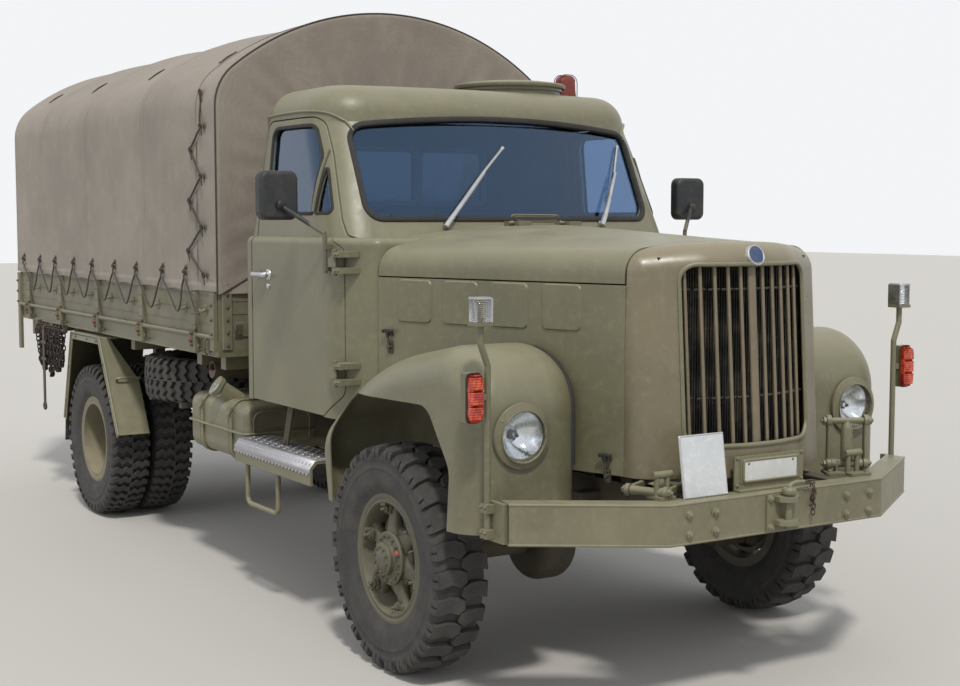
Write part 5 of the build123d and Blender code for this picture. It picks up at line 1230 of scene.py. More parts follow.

# Drip rails above the doors

rails = Form()
for side, s in sides:
    line = [
        (-1.62, 2.478), (-1.585, 2.512), (-1.50, 2.522), (-1.25, 2.526), (-1.02, 2.520), (-0.93, 2.492),
        (-0.865, 2.42), (-0.80, 2.30)
    ]
    smooth_line = bend([(x, z, 0) for x, z in line], 5)
    points, normals = [], []
    for p in smooth_line:
        hit = cast((front_axle + p.x, s * 1.4, p.y), (0, -s, 0), "cab_shell")
        if hit:
            points.append(hit[0])
            normals.append(hit[1])
    rails.add(strip(points, normals, 0.014, 0.012, crown=0.5))
rails.make("drip_rails", "chassis", "body_paint", smooth=50)

# Wipers: a cast arm from the scuttle and a thinner blade carrier with its rubber

wiper_steel = Form()
wiper_rubber = Form()
for pivot, joint, tip, blade_foot in (
    ((446, 226), (481, 175), (501, 149.5), (463, 201)), ((600, 224), (611, 175), (615, 148), (607, 200))
):
    base, base_normal = seen(*pivot, "cab_shell")
    arm_joint, glass_normal = seen(*joint, "cab_glass")
    arm_tip, _ = seen(*tip, "cab_glass")
    foot, _ = seen(*blade_foot, "cab_glass")
    wiper_steel.add(
        turned([(0.020, -0.004), (0.020, 0.010), (0.015, 0.020), (0.009, 0.026), (0, 0.026)], 16),
        facing(base, base_normal)
    )
    start = base + base_normal * 0.022
    line = bend(
        [
            start - (arm_joint - base).normalized() * 0.02,
            start + (arm_joint - base) * 0.3 + base_normal * 0.012, arm_joint + glass_normal * 0.030
        ],
        5
    )
    wiper_steel.add(along(line, [0.016 - 0.006 * k / (len(line) - 1) for k in range(len(line))], 8))
    wiper_steel.add(along([arm_joint + glass_normal * 0.034, arm_joint + glass_normal * 0.014], 0.008, 8))
    carrier = bend(
        [foot + glass_normal * 0.013, arm_joint + glass_normal * 0.021, arm_tip + glass_normal * 0.013], 6
    )
    wiper_steel.add(along(carrier, 0.0075, 8))
    wiper_steel.add(
        turned([(0.009, -0.006), (0.009, 0.006), (0, 0.006)], 10),
        facing(arm_tip + glass_normal * 0.014, glass_normal)
    )
    wiper_rubber.add(along([p - glass_normal * 0.008 for p in carrier], 0.0035, 6))
wiper_steel.make("wiper_arms", "chassis", "plate_metal", bright_steel, smooth=40)
wiper_rubber.make("wiper_rubbers", "chassis", "black_plastic", black_rubber)

# Vent plate on the scuttle: an oval plate with a rim and rows of slots

vent = Form()
vent_spot, vent_normal = seen(535.5, 220, "cab_shell")
vent_place = facing(vent_spot, vent_normal)
across = vent_place.to_3x3().inverted() @ Vector((0, 1, 0))
vent_place = vent_place @ Matrix.Rotation(atan2(across.y, across.x), 4, "Z")
vent.add(prism(rounded(0.150, 0.026, 0.0255, 8), -0.004, 0.004), vent_place)
edge = [Vector((x, y, 0.004)) for x, y in rounded(0.150, 0.026, 0.0255, 8)]
vent.add(along(edge, 0.0045, 8, closed=True), vent_place)
for x in np.arange(-0.120, 0.121, 0.010):
    vent.add(
        slab((-0.0018, 0.0018), (-0.018, 0.018), (0.003, 0.010)),
        vent_place @ at((x, 0, 0)) @ Matrix.Rotation(0.4, 4, "Z")
    )
vent.make("scuttle_vent", "chassis", "body_paint", smooth=40)

# Headlamps: bright bowls, bulbs, fluted glasses, and ring screws; ribbed glasses of the small top lamps

lamp_x, lamp_y, lamp_z = front_axle + 0.772, 0.92, 1.13
bowls = Form()
bulbs = Form()
glasses = Form()
trim = Form()
for side, s in sides:
    to_front = facing((lamp_x, s * lamp_y, lamp_z), (1, 0, 0))
    bowl = [(0.020, -0.070)] + [(r, -0.070 + 0.078 * (r / 0.101) ** 2) for r in np.linspace(0.026, 0.101, 12)]
    bowls.add(turned(bowl, 48), to_front)
    bulbs.add(
        turned(
            [
                (0.019, -0.072), (0.019, -0.050), (0.010, -0.046), (0.009, -0.030), (0.006, -0.022),
                (0, -0.020)
            ],
            18
        ),
        to_front
    )
    rows = []
    for side_z in (0.0, -0.0032):
        face = []
        for r in np.linspace(0.1022, 0.002, 22):
            row = []
            for k in range(72):
                a = 2 * pi * k / 72
                across = r * cos(a)
                dome = 0.037 - 0.017 * (r / 0.1022) ** 2.4
                wave = 0.0011 * abs(
                    sin(pi * (across if abs(r * sin(a)) < 0.075 else across * 1.6) / 0.0075)
                ) if side_z else 0.0
                row.append(Vector((across, r * sin(a), dome + side_z - wave)))
            face.append(row)
        rows.append(face)
    # the two skins, the rim between them and a small disc that closes each at its middle
    outer, inner = rows
    glasses.add(grid(outer, wrap=True), to_front)
    glasses.add(grid(inner[::-1], wrap=True), to_front)
    glasses.add(grid([inner[0], outer[0]], wrap=True), to_front)
    glasses.add((outer[-1], [list(range(72))]), to_front)
    glasses.add((inner[-1], [list(range(72))[::-1]]), to_front)
    ring = [Vector((0.1045 * cos(a), 0.1045 * sin(a), 0.0285)) for a in steps_round(64)]
    trim.add(along(ring, 0.0032, 8, closed=True), to_front)
    for a in (35, 145, 270):
        spot = Vector((0.119 * cos(radians(a)), 0.119 * sin(radians(a)), 0.020))
        trim.add(
            round_head(0.011),
            to_front @ facing(spot, (0.35 * cos(radians(a)), 0.35 * sin(radians(a)), 1))
        )
lamp_mirror = steel("lamp_mirror", colour(238, 241, 245), rough=0.05, rust=0.0, grain=0.3)
bowls.make("lamp_bowls", "chassis", "plate_metal", lamp_mirror, smooth=60)
bulbs.make("lamp_bulbs", "chassis", "clear_glass", smooth=60)
trim.make("lamp_trim", "chassis", "body_paint", smooth=50)

rod_x, rod_y, rod_top = front_axle + 0.838, 1.150, 1.588
holders = Form()
for side, s in sides:
    low_z, high_z = rod_top + 0.012, rod_top + 0.102
    for z in np.arange(low_z, high_z - 0.004, 0.0075):
        shape = [(x * 0.5, y * 0.5) for x, y in rounded(0.076, 0.066, 0.028, 4)]
        swell = [(x * 1.05, y * 1.05) for x, y in shape]
        rows = [
            [Vector((x, y, 0)) for x, y in shape], [Vector((x, y, 0.0032)) for x, y in swell],
            [Vector((x, y, 0.0075)) for x, y in shape]
        ]
        glasses.add(grid(rows, wrap=True), at((rod_x, s * rod_y, z)))
    for z, flip in ((low_z, 1), (low_z + 0.0075 * 12, 0)):
        cap = [Vector((x * 0.5, y * 0.5, 0)) for x, y in rounded(0.076, 0.066, 0.028, 4)]
        glasses.add(
            (cap, [list(range(len(cap)))[::-1] if flip else list(range(len(cap)))]),
            at((rod_x, s * rod_y, z))
        )
    holders.add(
        slab((-0.040, 0.040), (-0.034, 0.034), (0.0, 0.008), 0.008),
        at((rod_x, s * rod_y, high_z - 0.002))
    )
    holders.add(
        slab((-0.036, 0.036), (-0.0035, 0.0035), (0.0, 0.094)),
        at((rod_x - 0.001, s * (rod_y - 0.033), low_z - 0.002))
    )
    for z in (0.018, 0.045, 0.072):
        holders.add(round_head(0.010), facing((rod_x + 0.035, s * rod_y, low_z + z), (1, 0, 0)))
glass_piece = glasses.make("lamp_glasses", "chassis", "clear_glass", smooth=50)
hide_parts("clear_lenses")
holders.make("top_lamp_holders", "chassis", "dark_steel", bright_steel, smooth=40, bevel=0.001)

# Turn signals: ribbed amber lenses over their boxes, with a black rim

amber = Form()
amber_rim = Form()
signal_x, signal_y, signal_z = rod_x + 0.0083, 1.186, 1.308
for side, s in sides:
    for k in range(19):
        z = signal_z - 0.092 + k * 0.184 / 19
        depth = 0.030 + (0.004 if k % 6 else -0.004)
        rows = []
        for share, lift in ((0.0, 0.0), (0.5, 0.0022), (1.0, 0.0)):
            half = 0.032 - 0.010 * (abs(k - 9) / 9) ** 8
            rows.append(
                [
                    Vector((x, y, share * 0.184 / 19))
                    for x, y in (
                        (0, -half), (depth - 0.010 + lift, -half), (depth + lift, -half + 0.010),
                        (depth + 0.003 + lift, 0), (depth + lift, half - 0.010),
                        (depth - 0.010 + lift, half), (0, half)
                    )
                ]
            )
        amber.add(grid(rows), at((signal_x, s * signal_y, z)))
    for z in (signal_z - 0.092, signal_z + 0.092):
        half = 0.022
        amber.add(
            (
                [
                    Vector((0, -half, 0)), Vector((0.024, -half, 0)), Vector((0.028, 0, 0)),
                    Vector((0.024, half, 0)), Vector((0, half, 0))
                ],
                [[0, 1, 2, 3, 4]]
            ),
            at((signal_x, s * signal_y, z))
        )
    edge = [Vector((0.002, y, z)) for y, z in rounded(0.0345, 0.0955, 0.020)]
    amber_rim.add(along(edge, 0.0036, 6, closed=True), at((signal_x, s * signal_y, signal_z)))
    for z in (-0.060, 0.060):
        amber.add(round_head(0.010), facing((signal_x + 0.032, s * signal_y, signal_z + z), (1, 0, 0)))
f = Finish("amber_glass")
cells = f.node(
    "ShaderNodeTexVoronoi", {"Vector": f.stretched((60, 60, 34)), "Scale": 1.0}
).outputs["Distance"]
f.set(
    Base_Color=f.mix(f.ramp(cells, 0.1, 0.7), colour(238, 92, 20), colour(168, 26, 10)), Roughness=0.12,
    Coat_Weight=0.6, Transmission_Weight=0.25, IOR=1.5
)
f.set(Normal=f.relief(cells, 0.4, 0.002))
amber_piece = amber.make("amber_lenses", "chassis", "amber_lens", f.material, smooth=35)
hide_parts("coloured_lenses")
amber_rim.make("amber_rims", "chassis", "black_plastic", black_rubber)

# Radiator core behind the grille, the bead round its opening, and a plain badge

core = Form()
core_x = front_axle + 0.985
core.add(slab((core_x - 0.03, core_x), (-0.40, 0.40), (1.02, 1.84)))
for y in np.arange(-0.345, 0.346, 0.0138):
    core.add(slab((core_x - 0.002, core_x + 0.022), (y - 0.0022, y + 0.0022), (1.04, 1.82)))
for z in np.arange(1.05, 1.82, 0.026):
    core.add(slab((core_x - 0.002, core_x + 0.016), (-0.345, 0.345), (z, z + 0.002)))


def shell_front(y, z):
    """How far forward the inside of the grille shell reaches."""
    drop = np.interp(abs(y), (0.0, 0.079, 0.233, 0.511), (0.0, 0.0, 0.038, 0.186))
    return front_axle + 1.172 - drop - 0.0667 * (z - 1.085) - 0.032


for z in (1.828, 1.012):
    edge = [(shell_front(y, z), y) for y in np.linspace(-0.36, 0.36, 17)]
    core.add(prism([(core_x - 0.03, -0.40)] + edge + [(core_x - 0.03, 0.40)], z, z + 0.006))
core.make("radiator_core", "chassis", "engine_iron", plastic("radiator_black", colour(17, 16, 15), rough=0.7))
bead = Form()
outline = filled(rounded(0.334, 0.367, 0.068, 8), 0.03)
points, normals = on_surface(
    [(y, z + 1.445) for y, z in outline], lambda y, z: (front_axle + 1.6, y, z), (-1, 0, 0),
    "grille_shell"
)
bead.add(strip(points, normals, 0.020, 0.010, closed=True, crown=0.5))
bead.make("grille_bead", "chassis", "body_paint", smooth=50)
badge = Form()
badge_face = Form()
hit = cast((front_axle + 1.6, 0, 1.845), (-1, 0, 0), "grille_shell")
out = (Vector((1, 0, 0.35))).normalized()
spot = facing(hit[0], out)
badge.add(
    turned(
        [(0.045, -0.030), (0.045, 0.008), (0.042, 0.012), (0.038, 0.012), (0.036, 0.009), (0.036, 0.0)],
        40
    ),
    spot
)
badge_face.add(turned([(0.037, 0.0085), (0.020, 0.0105), (0, 0.011)], 32), spot)
badge.make("plain_badge_rim", "chassis", "plate_metal", bright_steel, smooth=50)
badge_face.make(
    "plain_badge", "chassis", "plate_metal", plastic("badge_enamel", colour(34, 62, 108), rough=0.2),
    smooth=60
)

# Front wheels: a cast spider with six spokes, rim clamps, a hub with two rings of bolts

def around(count, radius, start=0.0):
    return [
        (radius * cos(start + 2 * pi * k / count), radius * sin(start + 2 * pi * k / count))
        for k in range(count)
    ]


rim_profile = [
    (0.2405, -0.093), (0.2600, -0.095), (0.2800, -0.0955), (0.2880, -0.0935), (0.2912, -0.0890),
    (0.2890, -0.0850), (0.2640, -0.0860), (0.2622, -0.0800), (0.2622, 0.0800), (0.2640, 0.0860),
    (0.2890, 0.0850), (0.2914, 0.0885), (0.2890, 0.0940), (0.2800, 0.0958), (0.2700, 0.0945),
    (0.2640, 0.0900), (0.2590, 0.0905), (0.2550, 0.0945), (0.2490, 0.0950), (0.2450, 0.0900),
    (0.2430, 0.0600), (0.2380, 0.0450), (0.2380, -0.0450), (0.2405, -0.093),
]
drum_profile = [
    (0.0, 0.0145), (0.196, 0.0145), (0.2065, 0.010), (0.2070, -0.020), (0.2110, -0.026), (0.2110, -0.052),
    (0.190, -0.052), (0.190, -0.004), (0.0, -0.004)
]
hub_profile = [
    (0.130, 0.012), (0.134, 0.030), (0.128, 0.044), (0.112, 0.052), (0.104, 0.062), (0.103, 0.072),
    (0.117, 0.075), (0.119, 0.079), (0.119, 0.087), (0.115, 0.091), (0.078, 0.093), (0.073, 0.097),
    (0.071, 0.110), (0.074, 0.114), (0.073, 0.121), (0.066, 0.127), (0.040, 0.131), (0.036, 0.1345),
    (0, 0.1355),
]
# along a spoke: distance from the hub's middle, half its width, how far out its middle lies, half its depth
spoke_stations = ((0.098, 0.054, 0.040, 0.034), (0.125, 0.041, 0.041, 0.031), (0.155, 0.034, 0.036, 0.027),
                  (0.185, 0.033, 0.031, 0.025), (0.212, 0.039, 0.028, 0.027), (0.2385, 0.053, 0.027, 0.032))


def spoke_shape():
    rows = []
    for reach, half, out, depth in spoke_stations:
        row = []
        for k in range(16):
            a = 2 * pi * k / 16
            u, v = cos(a), sin(a)
            row.append(
                Vector(
                    (
                        reach, half * (abs(u) ** 0.7) * (1 if u >= 0 else -1),
                        out + depth * (abs(v) ** 0.7) * (1 if v >= 0 else -1)
                    )
                )
            )
        rows.append(row)
    return grid(rows, wrap=True)


def front_wheel_shape():
    form = Form()
    bolts = Form()
    form.add(turned(rim_profile, 72))
    form.add(turned(drum_profile, 60))
    form.add(turned(hub_profile, 48))
    spoke = spoke_shape()
    for k in range(6):
        turn = Matrix.Rotation(radians(30 + 60 * k), 4, "Z")
        form.add(spoke, turn)
        form.add(slab((0.206, 0.243), (-0.030, 0.030), (0.048, 0.066), 0.008), turn)
        form.add(slab((0.232, 0.252), (-0.022, 0.022), (0.060, 0.090), 0.005), turn)
        bolts.add(bolt(0.036), turn @ at((0.216, 0, 0.065)))
        bolts.add(
            turned([(0.008, 0), (0.008, 0.034), (0.006, 0.037), (0, 0.037)], 10),
            turn @ at((0.216, 0, 0.065))
        )
    for x, y in around(16, 0.100, 0.1):
        bolts.add(bolt(0.019), at((x, y, 0.0905)))
    for x, y in around(10, 0.054, 0.2):
        bolts.add(bolt(0.0145), at((x, y, 0.1275)))
    for x, y in around(12, 0.176, 0.13):
        bolts.add(round_head(0.016), at((x, y, 0.0145)))
    bolts.add(
        along(
            [(0.244, 0.03, 0.05), (0.236, 0.03, 0.075), (0.222, 0.026, 0.090), (0.205, 0.02, 0.096)],
            [0.006, 0.0045, 0.0045, 0.006], 8
        )
    )
    return (form.points, form.faces), (bolts.points, bolts.faces)


wheel_form, wheel_bolts = front_wheel_shape()
bolt_paint = painted("bolt_paint", colour(84, 78, 62), dust=0.12, wear=0.6, rust=0.6, edge=0.0015, top_sheen=0.3)
red_dot = plastic("red_dot", colour(214, 70, 74), rough=0.5)
for side, s in sides:
    centre = Vector((front_axle, s * 1.014, axle_z))
    place = facing(centre, (0, s, 0), radians(12))
    wheel = Form().add(wheel_form, place).make(
        f"front_wheel_{side}", f"front_wheel_{side}", "wheel_paint", smooth=40
    )
    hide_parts(f"wheel_front_{side}")
    Form().add(wheel_bolts, place).make(
        f"front_wheel_bolts_{side}", f"front_wheel_{side}", "wheel_paint", bolt_paint, smooth=35
    )
    dot = Form().add(
        turned([(0.013, 0), (0.013, 0.004), (0.010, 0.006), (0, 0.006)], 16),
        facing(centre + Vector((0.082, s * 0.0925, 0.036)), (0, s, 0))
    )
    dot.make(f"hub_mark_{side}", f"front_wheel_{side}", "wheel_paint", red_dot)

# Rear wheels: side rings, wheel nuts and hub caps deep in the dish

for side, s in sides:
    outer, inner = s * 0.994, s * 0.848
    extra = Form()
    nuts = Form()
    place = facing((rear_axle, outer, axle_z), (0, s, 0))
    ring = [
        (0.252, 0.088), (0.258, 0.0955), (0.266, 0.0975), (0.276, 0.0965), (0.286, 0.0968),
        (0.2925, 0.093), (0.293, 0.086), (0.288, 0.082), (0.262, 0.082), (0.252, 0.088)
    ]
    extra.add(turned(ring, 72), place)
    extra.add(turned([(0.238, 0.094), (0.2425, 0.0965), (0.247, 0.094), (0.250, 0.084)], 72), place)
    deep = facing((rear_axle, inner, axle_z), (0, s, 0))
    extra.add(
        turned(
            [
                (0.2375, 0.060), (0.232, 0.040), (0.214, 0.020), (0.196, 0.013), (0.130, 0.013),
                (0.126, 0.020), (0.122, 0.052), (0.128, 0.056), (0.128, 0.070), (0.118, 0.074),
                (0.084, 0.078), (0.080, 0.096), (0.070, 0.104), (0, 0.108)
            ],
            60
        ),
        deep
    )
    for x, y in around(10, 0.165):
        nuts.add(bolt(0.036), deep @ at((x, y, 0.013)))
        nuts.add(turned([(0.009, 0), (0.009, 0.034), (0, 0.036)], 10), deep @ at((x, y, 0.013)))
    for x, y in around(14, 0.106, 0.1):
        nuts.add(bolt(0.018), deep @ at((x, y, 0.0735)))
    nuts.add(
        along(
            [(0.225, 0.0, 0.03), (0.225, 0.0, 0.10), (0.218, 0.0, 0.13), (0.205, 0.0, 0.145)],
            [0.005, 0.0045, 0.0045, 0.006], 8
        ),
        deep
    )
    for x, y in around(5, 0.219, 0.4):
        nuts.add(round_head(0.014), deep @ at((x, y, 0.024)))
    extra.make(f"rear_wheel_dish_{side}", f"rear_wheel_{side}", "wheel_paint", smooth=40)
    nuts.make(f"rear_wheel_nuts_{side}", f"rear_wheel_{side}", "wheel_paint", bolt_paint, smooth=35)

# Spare rim: a side ring on its upward face

spare_ring = Form().add(turned(ring, 60), at(middle("spare_rim")))
spare_ring.make("spare_side_ring", "chassis", "wheel_paint", smooth=40)

# Door handles, hinge pins and the mirrors' heads

for side, s in sides:
    chrome = Form()
    skin = 1.065
    x0, z0 = front_axle - 1.400, 1.711
    grip = bend(
        [
            (x0 + 0.058, s * (skin + 0.002), z0), (x0 + 0.056, s * (skin + 0.026), z0),
            (x0 + 0.035, s * (skin + 0.036), z0), (x0 - 0.030, s * (skin + 0.037), z0),
            (x0 - 0.062, s * (skin + 0.034), z0), (x0 - 0.071, s * (skin + 0.020), z0)
        ],
        5
    )
    chrome.add(along(grip, [0.017] * 6 + [0.014] * (len(grip) - 9) + [0.012, 0.011, 0.009], 10))
    chrome.add(
        turned([(0.030, -0.002), (0.030, 0.003), (0.024, 0.008), (0.018, 0.010)], 24),
        facing((x0 + 0.056, s * skin, z0), (0, s, 0))
    )
    chrome.add(
        turned([(0.016, -0.002), (0.016, 0.004), (0.012, 0.007), (0, 0.007)], 20),
        facing((x0 + 0.056, s * skin, z0 - 0.058), (0, s, 0))
    )
    chrome.make(f"door_handle_{side}", f"door_{side}", "plate_metal", bright_steel, smooth=50)
    pins = Form()
    hinge = Vector((front_axle - 0.545, s * 1.085, 0))
    for z in (1.250, 1.770):
        for dz in (-0.034, 0.080):
            pins.add(
                turned([(0, -0.005), (0.011, -0.005), (0.0125, 0), (0.011, 0.005), (0, 0.005)], 14),
                at(hinge + Vector((0, 0, z + dz)))
            )
        pins.add(turned([(0.0135, -0.029), (0.0135, -0.002)], 16), at(hinge + Vector((0, 0, z))))
        pins.add(turned([(0.0135, 0.048), (0.0135, 0.075)], 16), at(hinge + Vector((0, 0, z))))
        for dz in (-0.015, 0.061):
            for dx in (0.025, 0.052):
                pins.add(bolt(0.015), facing(hinge + Vector((dx, s * 0.008, z + dz)), (0, s, 0)))
    pins.make(f"hinge_pins_{side}", "chassis", "body_paint", smooth=35)

f = Finish("mirror_black")
head = f.ramp(
    f.node(
        "ShaderNodeMath", {0: f.node("ShaderNodeSeparateXYZ", {0: f.place}).outputs["Y"]},
        operation="ABSOLUTE"
    ).outputs[0],
    1.145, 1.150
)
grain = f.noise(300.0, 3.0)
f.set(
    Base_Color=f.mix(
        head, colour(96, 92, 76),
        f.mix(
            f.ramp(f.noise(9.0, 5.0, 0.7), 0.45, 0.8, 0.0, 0.25), colour(34, 36, 39), colour(110, 104, 92)
        )
    )
)
f.set(Roughness=f.ramp(grain, 0.3, 0.7, 0.46, 0.62), Normal=f.relief(grain, 0.15, 0.0006, f.soft_edge(0.004)))
for side, s in sides:
    paint_over(nodes[f"mirror_{side}"], f.material)
    centre_x, centre_y, centre_z = front_axle - 0.81, s * 1.25, 2.105
    face = Form()
    outline = rounded(0.088, 0.106, 0.034, 6)
    face.add(
        (([Vector((0, y, z)) for y, z in outline]), [list(range(len(outline)))]),
        at((centre_x - 0.0335, centre_y, centre_z))
    )
    face.make(
        f"mirror_glass_{side}", f"door_{side}", "plate_metal",
        steel(f"silvered_{side}", (0.85, 0.87, 0.88, 1.0), rough=0.03, rust=0.0, grain=0.0)
    )
    clip = Form()
    edge = [Vector((0, y, z)) for y, z in rounded(0.092, 0.110, 0.037, 6)]
    clip.add(along(edge, 0.0045, 6, closed=True), at((centre_x - 0.033, centre_y, centre_z)))
    clip.add(
        turned([(0.022, -0.002), (0.022, 0.010), (0.016, 0.016), (0, 0.018)], 16),
        facing((centre_x + 0.030, centre_y, centre_z - 0.045), (1, 0, 0))
    )
    clip.add(
        slab((-0.022, 0.022), (-0.013, 0.013), (0, 0.014), 0.004),
        facing((centre_x + 0.030, centre_y, centre_z - 0.045), (1, 0, 0))
    )
    clip.make(f"mirror_clamp_{side}", f"door_{side}", "black_plastic", smooth=40)

# Bumper bolts, the jaw's pin handle and chain, and the shackles

bumper_parts = Form()
for u, v in (
    (689, 515), (715.5, 512), (689, 535), (715.5, 531), (846, 495), (869, 492), (845.5, 513.5), (868, 510)
):
    place, normal = seen(u, v, "front_bumper")
    bumper_parts.add(bolt(0.030), facing(place, normal, 0.3 * u))
edge_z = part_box("front_bumper")[1].z
line = [
    (front_axle + 0.948, -1.088), (front_axle + 1.291, -0.570), (front_axle + 1.291, 0.570),
    (front_axle + 0.948, 1.088)
]
for z in (edge_z - 0.0045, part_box("front_bumper")[0].z + 0.0045):
    bumper_parts.add(along([Vector((x - 0.004, y, z)) for x, y in line], 0.0062, 8))
for s in (-1, 1):
    for z in (0.776, 0.878):
        for x in (-0.014, 0.014):
            bumper_parts.add(bolt(0.014), facing((front_axle + 0.838 + x, s * 1.1375, z), (0, s, 0)))
bumper_parts.make("bumper_bolts", "chassis", "body_paint", smooth=35)

jaw = Form()
jaw_x, jaw_z = front_axle + 1.334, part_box("front_bumper")[0].z + 0.095
jaw.add(
    turned(
        [
            (0.015, 0.05), (0.015, 0.062), (0.027, 0.064), (0.030, 0.072), (0.029, 0.084), (0.024, 0.090),
            (0, 0.092)
        ],
        24
    ),
    at((jaw_x, 0, jaw_z))
)
jaw.add(
    along(
        bend(
            [
                (jaw_x, 0, jaw_z + 0.088), (jaw_x - 0.01, 0.02, jaw_z + 0.100),
                (jaw_x - 0.02, 0.06, jaw_z + 0.104), (jaw_x - 0.03, 0.11, jaw_z + 0.100)
            ],
            5
        ),
        0.0085, 8
    )
)
for y in (-0.068, 0.068):
    for z in (-0.070, 0.046):
        jaw.add(bolt(0.026), facing((front_axle + 1.301, y, jaw_z + z), (1, 0, 0)))
jaw.make("jaw_pin_head", "chassis", "dark_steel", finish["body_paint"], smooth=40, bevel=0.0008)


def chain(form, route, pitch, wire):
    """Oval links along a route, each turned a quarter against the last."""
    path = [Vector(p) for p in bend(route, 12)]
    gaps = [0.0]
    for a, b in zip(path, path[1:]):
        gaps.append(gaps[-1] + (b - a).length)
    count = max(2, int(gaps[-1] / pitch))
    for k in range(count):
        target = (k + 0.5) * pitch
        i = max(j for j in range(len(gaps)) if gaps[j] <= target)
        i = min(i, len(path) - 2)
        point = path[i].lerp(path[i + 1], (target - gaps[i]) / max(1e-9, gaps[i + 1] - gaps[i]))
        place = facing(point, path[i + 1] - path[i], (k % 2) * pi / 2 + 0.3)
        loop = []
        for a in steps_round(12):
            loop.append(
                Vector(
                    (
                        0.42 * pitch * cos(a), 0,
                        0.30 * pitch * sin(a) + 0.34 * pitch * np.sign(sin(a)) * min(1.0, abs(sin(a)) * 3)
                    )
                )
            )
        form.add(along(loop, wire, 6, closed=True), place)


links = Form()
chain(
    links,
    [
        (jaw_x - 0.03, 0.11, jaw_z + 0.098), (jaw_x - 0.015, 0.145, jaw_z + 0.090),
        (jaw_x - 0.012, 0.150, jaw_z + 0.02), (jaw_x - 0.018, 0.148, jaw_z - 0.045)
    ],
    0.021, 0.0030
)
chain(
    links,
    [
        (jaw_x - 0.035, 0.115, jaw_z + 0.100), (jaw_x - 0.045, 0.165, jaw_z + 0.085),
        (jaw_x - 0.040, 0.172, jaw_z + 0.03), (jaw_x - 0.036, 0.150, jaw_z - 0.01)
    ],
    0.021, 0.0030
)
links.make("jaw_chain", "chassis", "dark_steel", smooth=60)


def shackle(form, place):
    """A towing link: two flat arms between two bolts round a short drawbar; its length runs along Z."""
    for s in (-1, 1):
        form.add(slab((-0.017, 0.017), (s * 0.080 - 0.008, s * 0.080 + 0.008), (-0.005, 0.185), 0.005), place)
        for z, size in ((0.185, 0.038), (0.0, 0.032)):
            form.add(
                turned([(0, -0.009), (0.025, -0.009), (0.025, 0.009), (0, 0.0095)], 20),
                place @ facing((0, s * 0.080, z), (0, s, 0))
            )
            form.add(bolt(size), place @ facing((0, s * 0.089, z), (0, s, 0)))
    form.add(along([(0, -0.085, 0.185), (0, 0.085, 0.185)], 0.013, 14), place)
    form.add(
        turned(
            [
                (0.014, -0.074), (0.020, -0.066), (0.017, -0.030), (0.017, 0.030), (0.020, 0.066),
                (0.014, 0.074)
            ],
            18
        ),
        place @ facing((0, 0, 0.0), (0, 1, 0))
    )
    form.add(turned([(0.026, 0.018), (0.026, 0.150), (0.020, 0.165), (0.012, 0.185)], 18), place)


tow_links = Form()
deck = edge_z + 0.001
upright = at((front_axle + 1.135, 0.520, deck)) @ Matrix.Rotation(radians(-28), 4, "Z")
shackle(tow_links, upright @ at((0, 0, 0.045)))
tow_links.add(slab((-0.050, 0.050), (-0.098, 0.098), (0.0, 0.012), 0.010), upright)
for y in (-0.045, 0.045):
    tow_links.add(slab((-0.018, 0.018), (y - 0.006, y + 0.006), (0.0, 0.060), 0.004), upright)
for x, y in ((-0.034, -0.08), (0.034, -0.08), (-0.034, 0.08), (0.034, 0.08)):
    tow_links.add(bolt(0.020), upright @ at((x, y, 0.012)))
lying = at(
    (front_axle + 1.128, -0.560, deck + 0.027)
) @ Matrix.Rotation(radians(-62), 4, "Z") @ Matrix.Rotation(radians(-90), 4, "Y")
shackle(tow_links, lying)
tow_links.make("tow_links", "chassis", "dark_steel", finish["body_paint"], smooth=35, bevel=0.0015)

# Rubber strips between the fenders and the hood, and the latches

strips = Form()
for side, s in sides:
    side_y = abs(cast((front_axle + 0.30, s * 1.5, 1.66), (0, -s, 0), "hood_sides", "grille_shell")[0].y)
    line = []
    for x in np.linspace(-0.50, 0.80, 34):
        flank = cast((front_axle + x, s * 1.5, 1.72), (0, -s, 0), "hood_sides", "grille_shell")
        y = s * (abs(flank[0].y) + 0.010) if flank else s * (side_y + 0.010)
        hit = cast((front_axle + x, y, 2.4), (0, 0, -1), "front_fenders")
        if hit and hit[0].z > 1.30:
            line.append(hit[0] + Vector((0, 0, 0.003)))
    front_y = line[-1].y
    for z in np.linspace(line[-1].z - 0.03, 0.98, 12):
        hit = cast((front_axle + 1.6, front_y + s * 0.006, z), (-1, 0, 0), "front_fenders")
        if hit:
            line.append(hit[0] + Vector((0.002, 0, 0)))
    strips.add(along(line, 0.0125, 8))
strips.make("fender_strips", "chassis", "black_plastic", black_rubber, smooth=50)

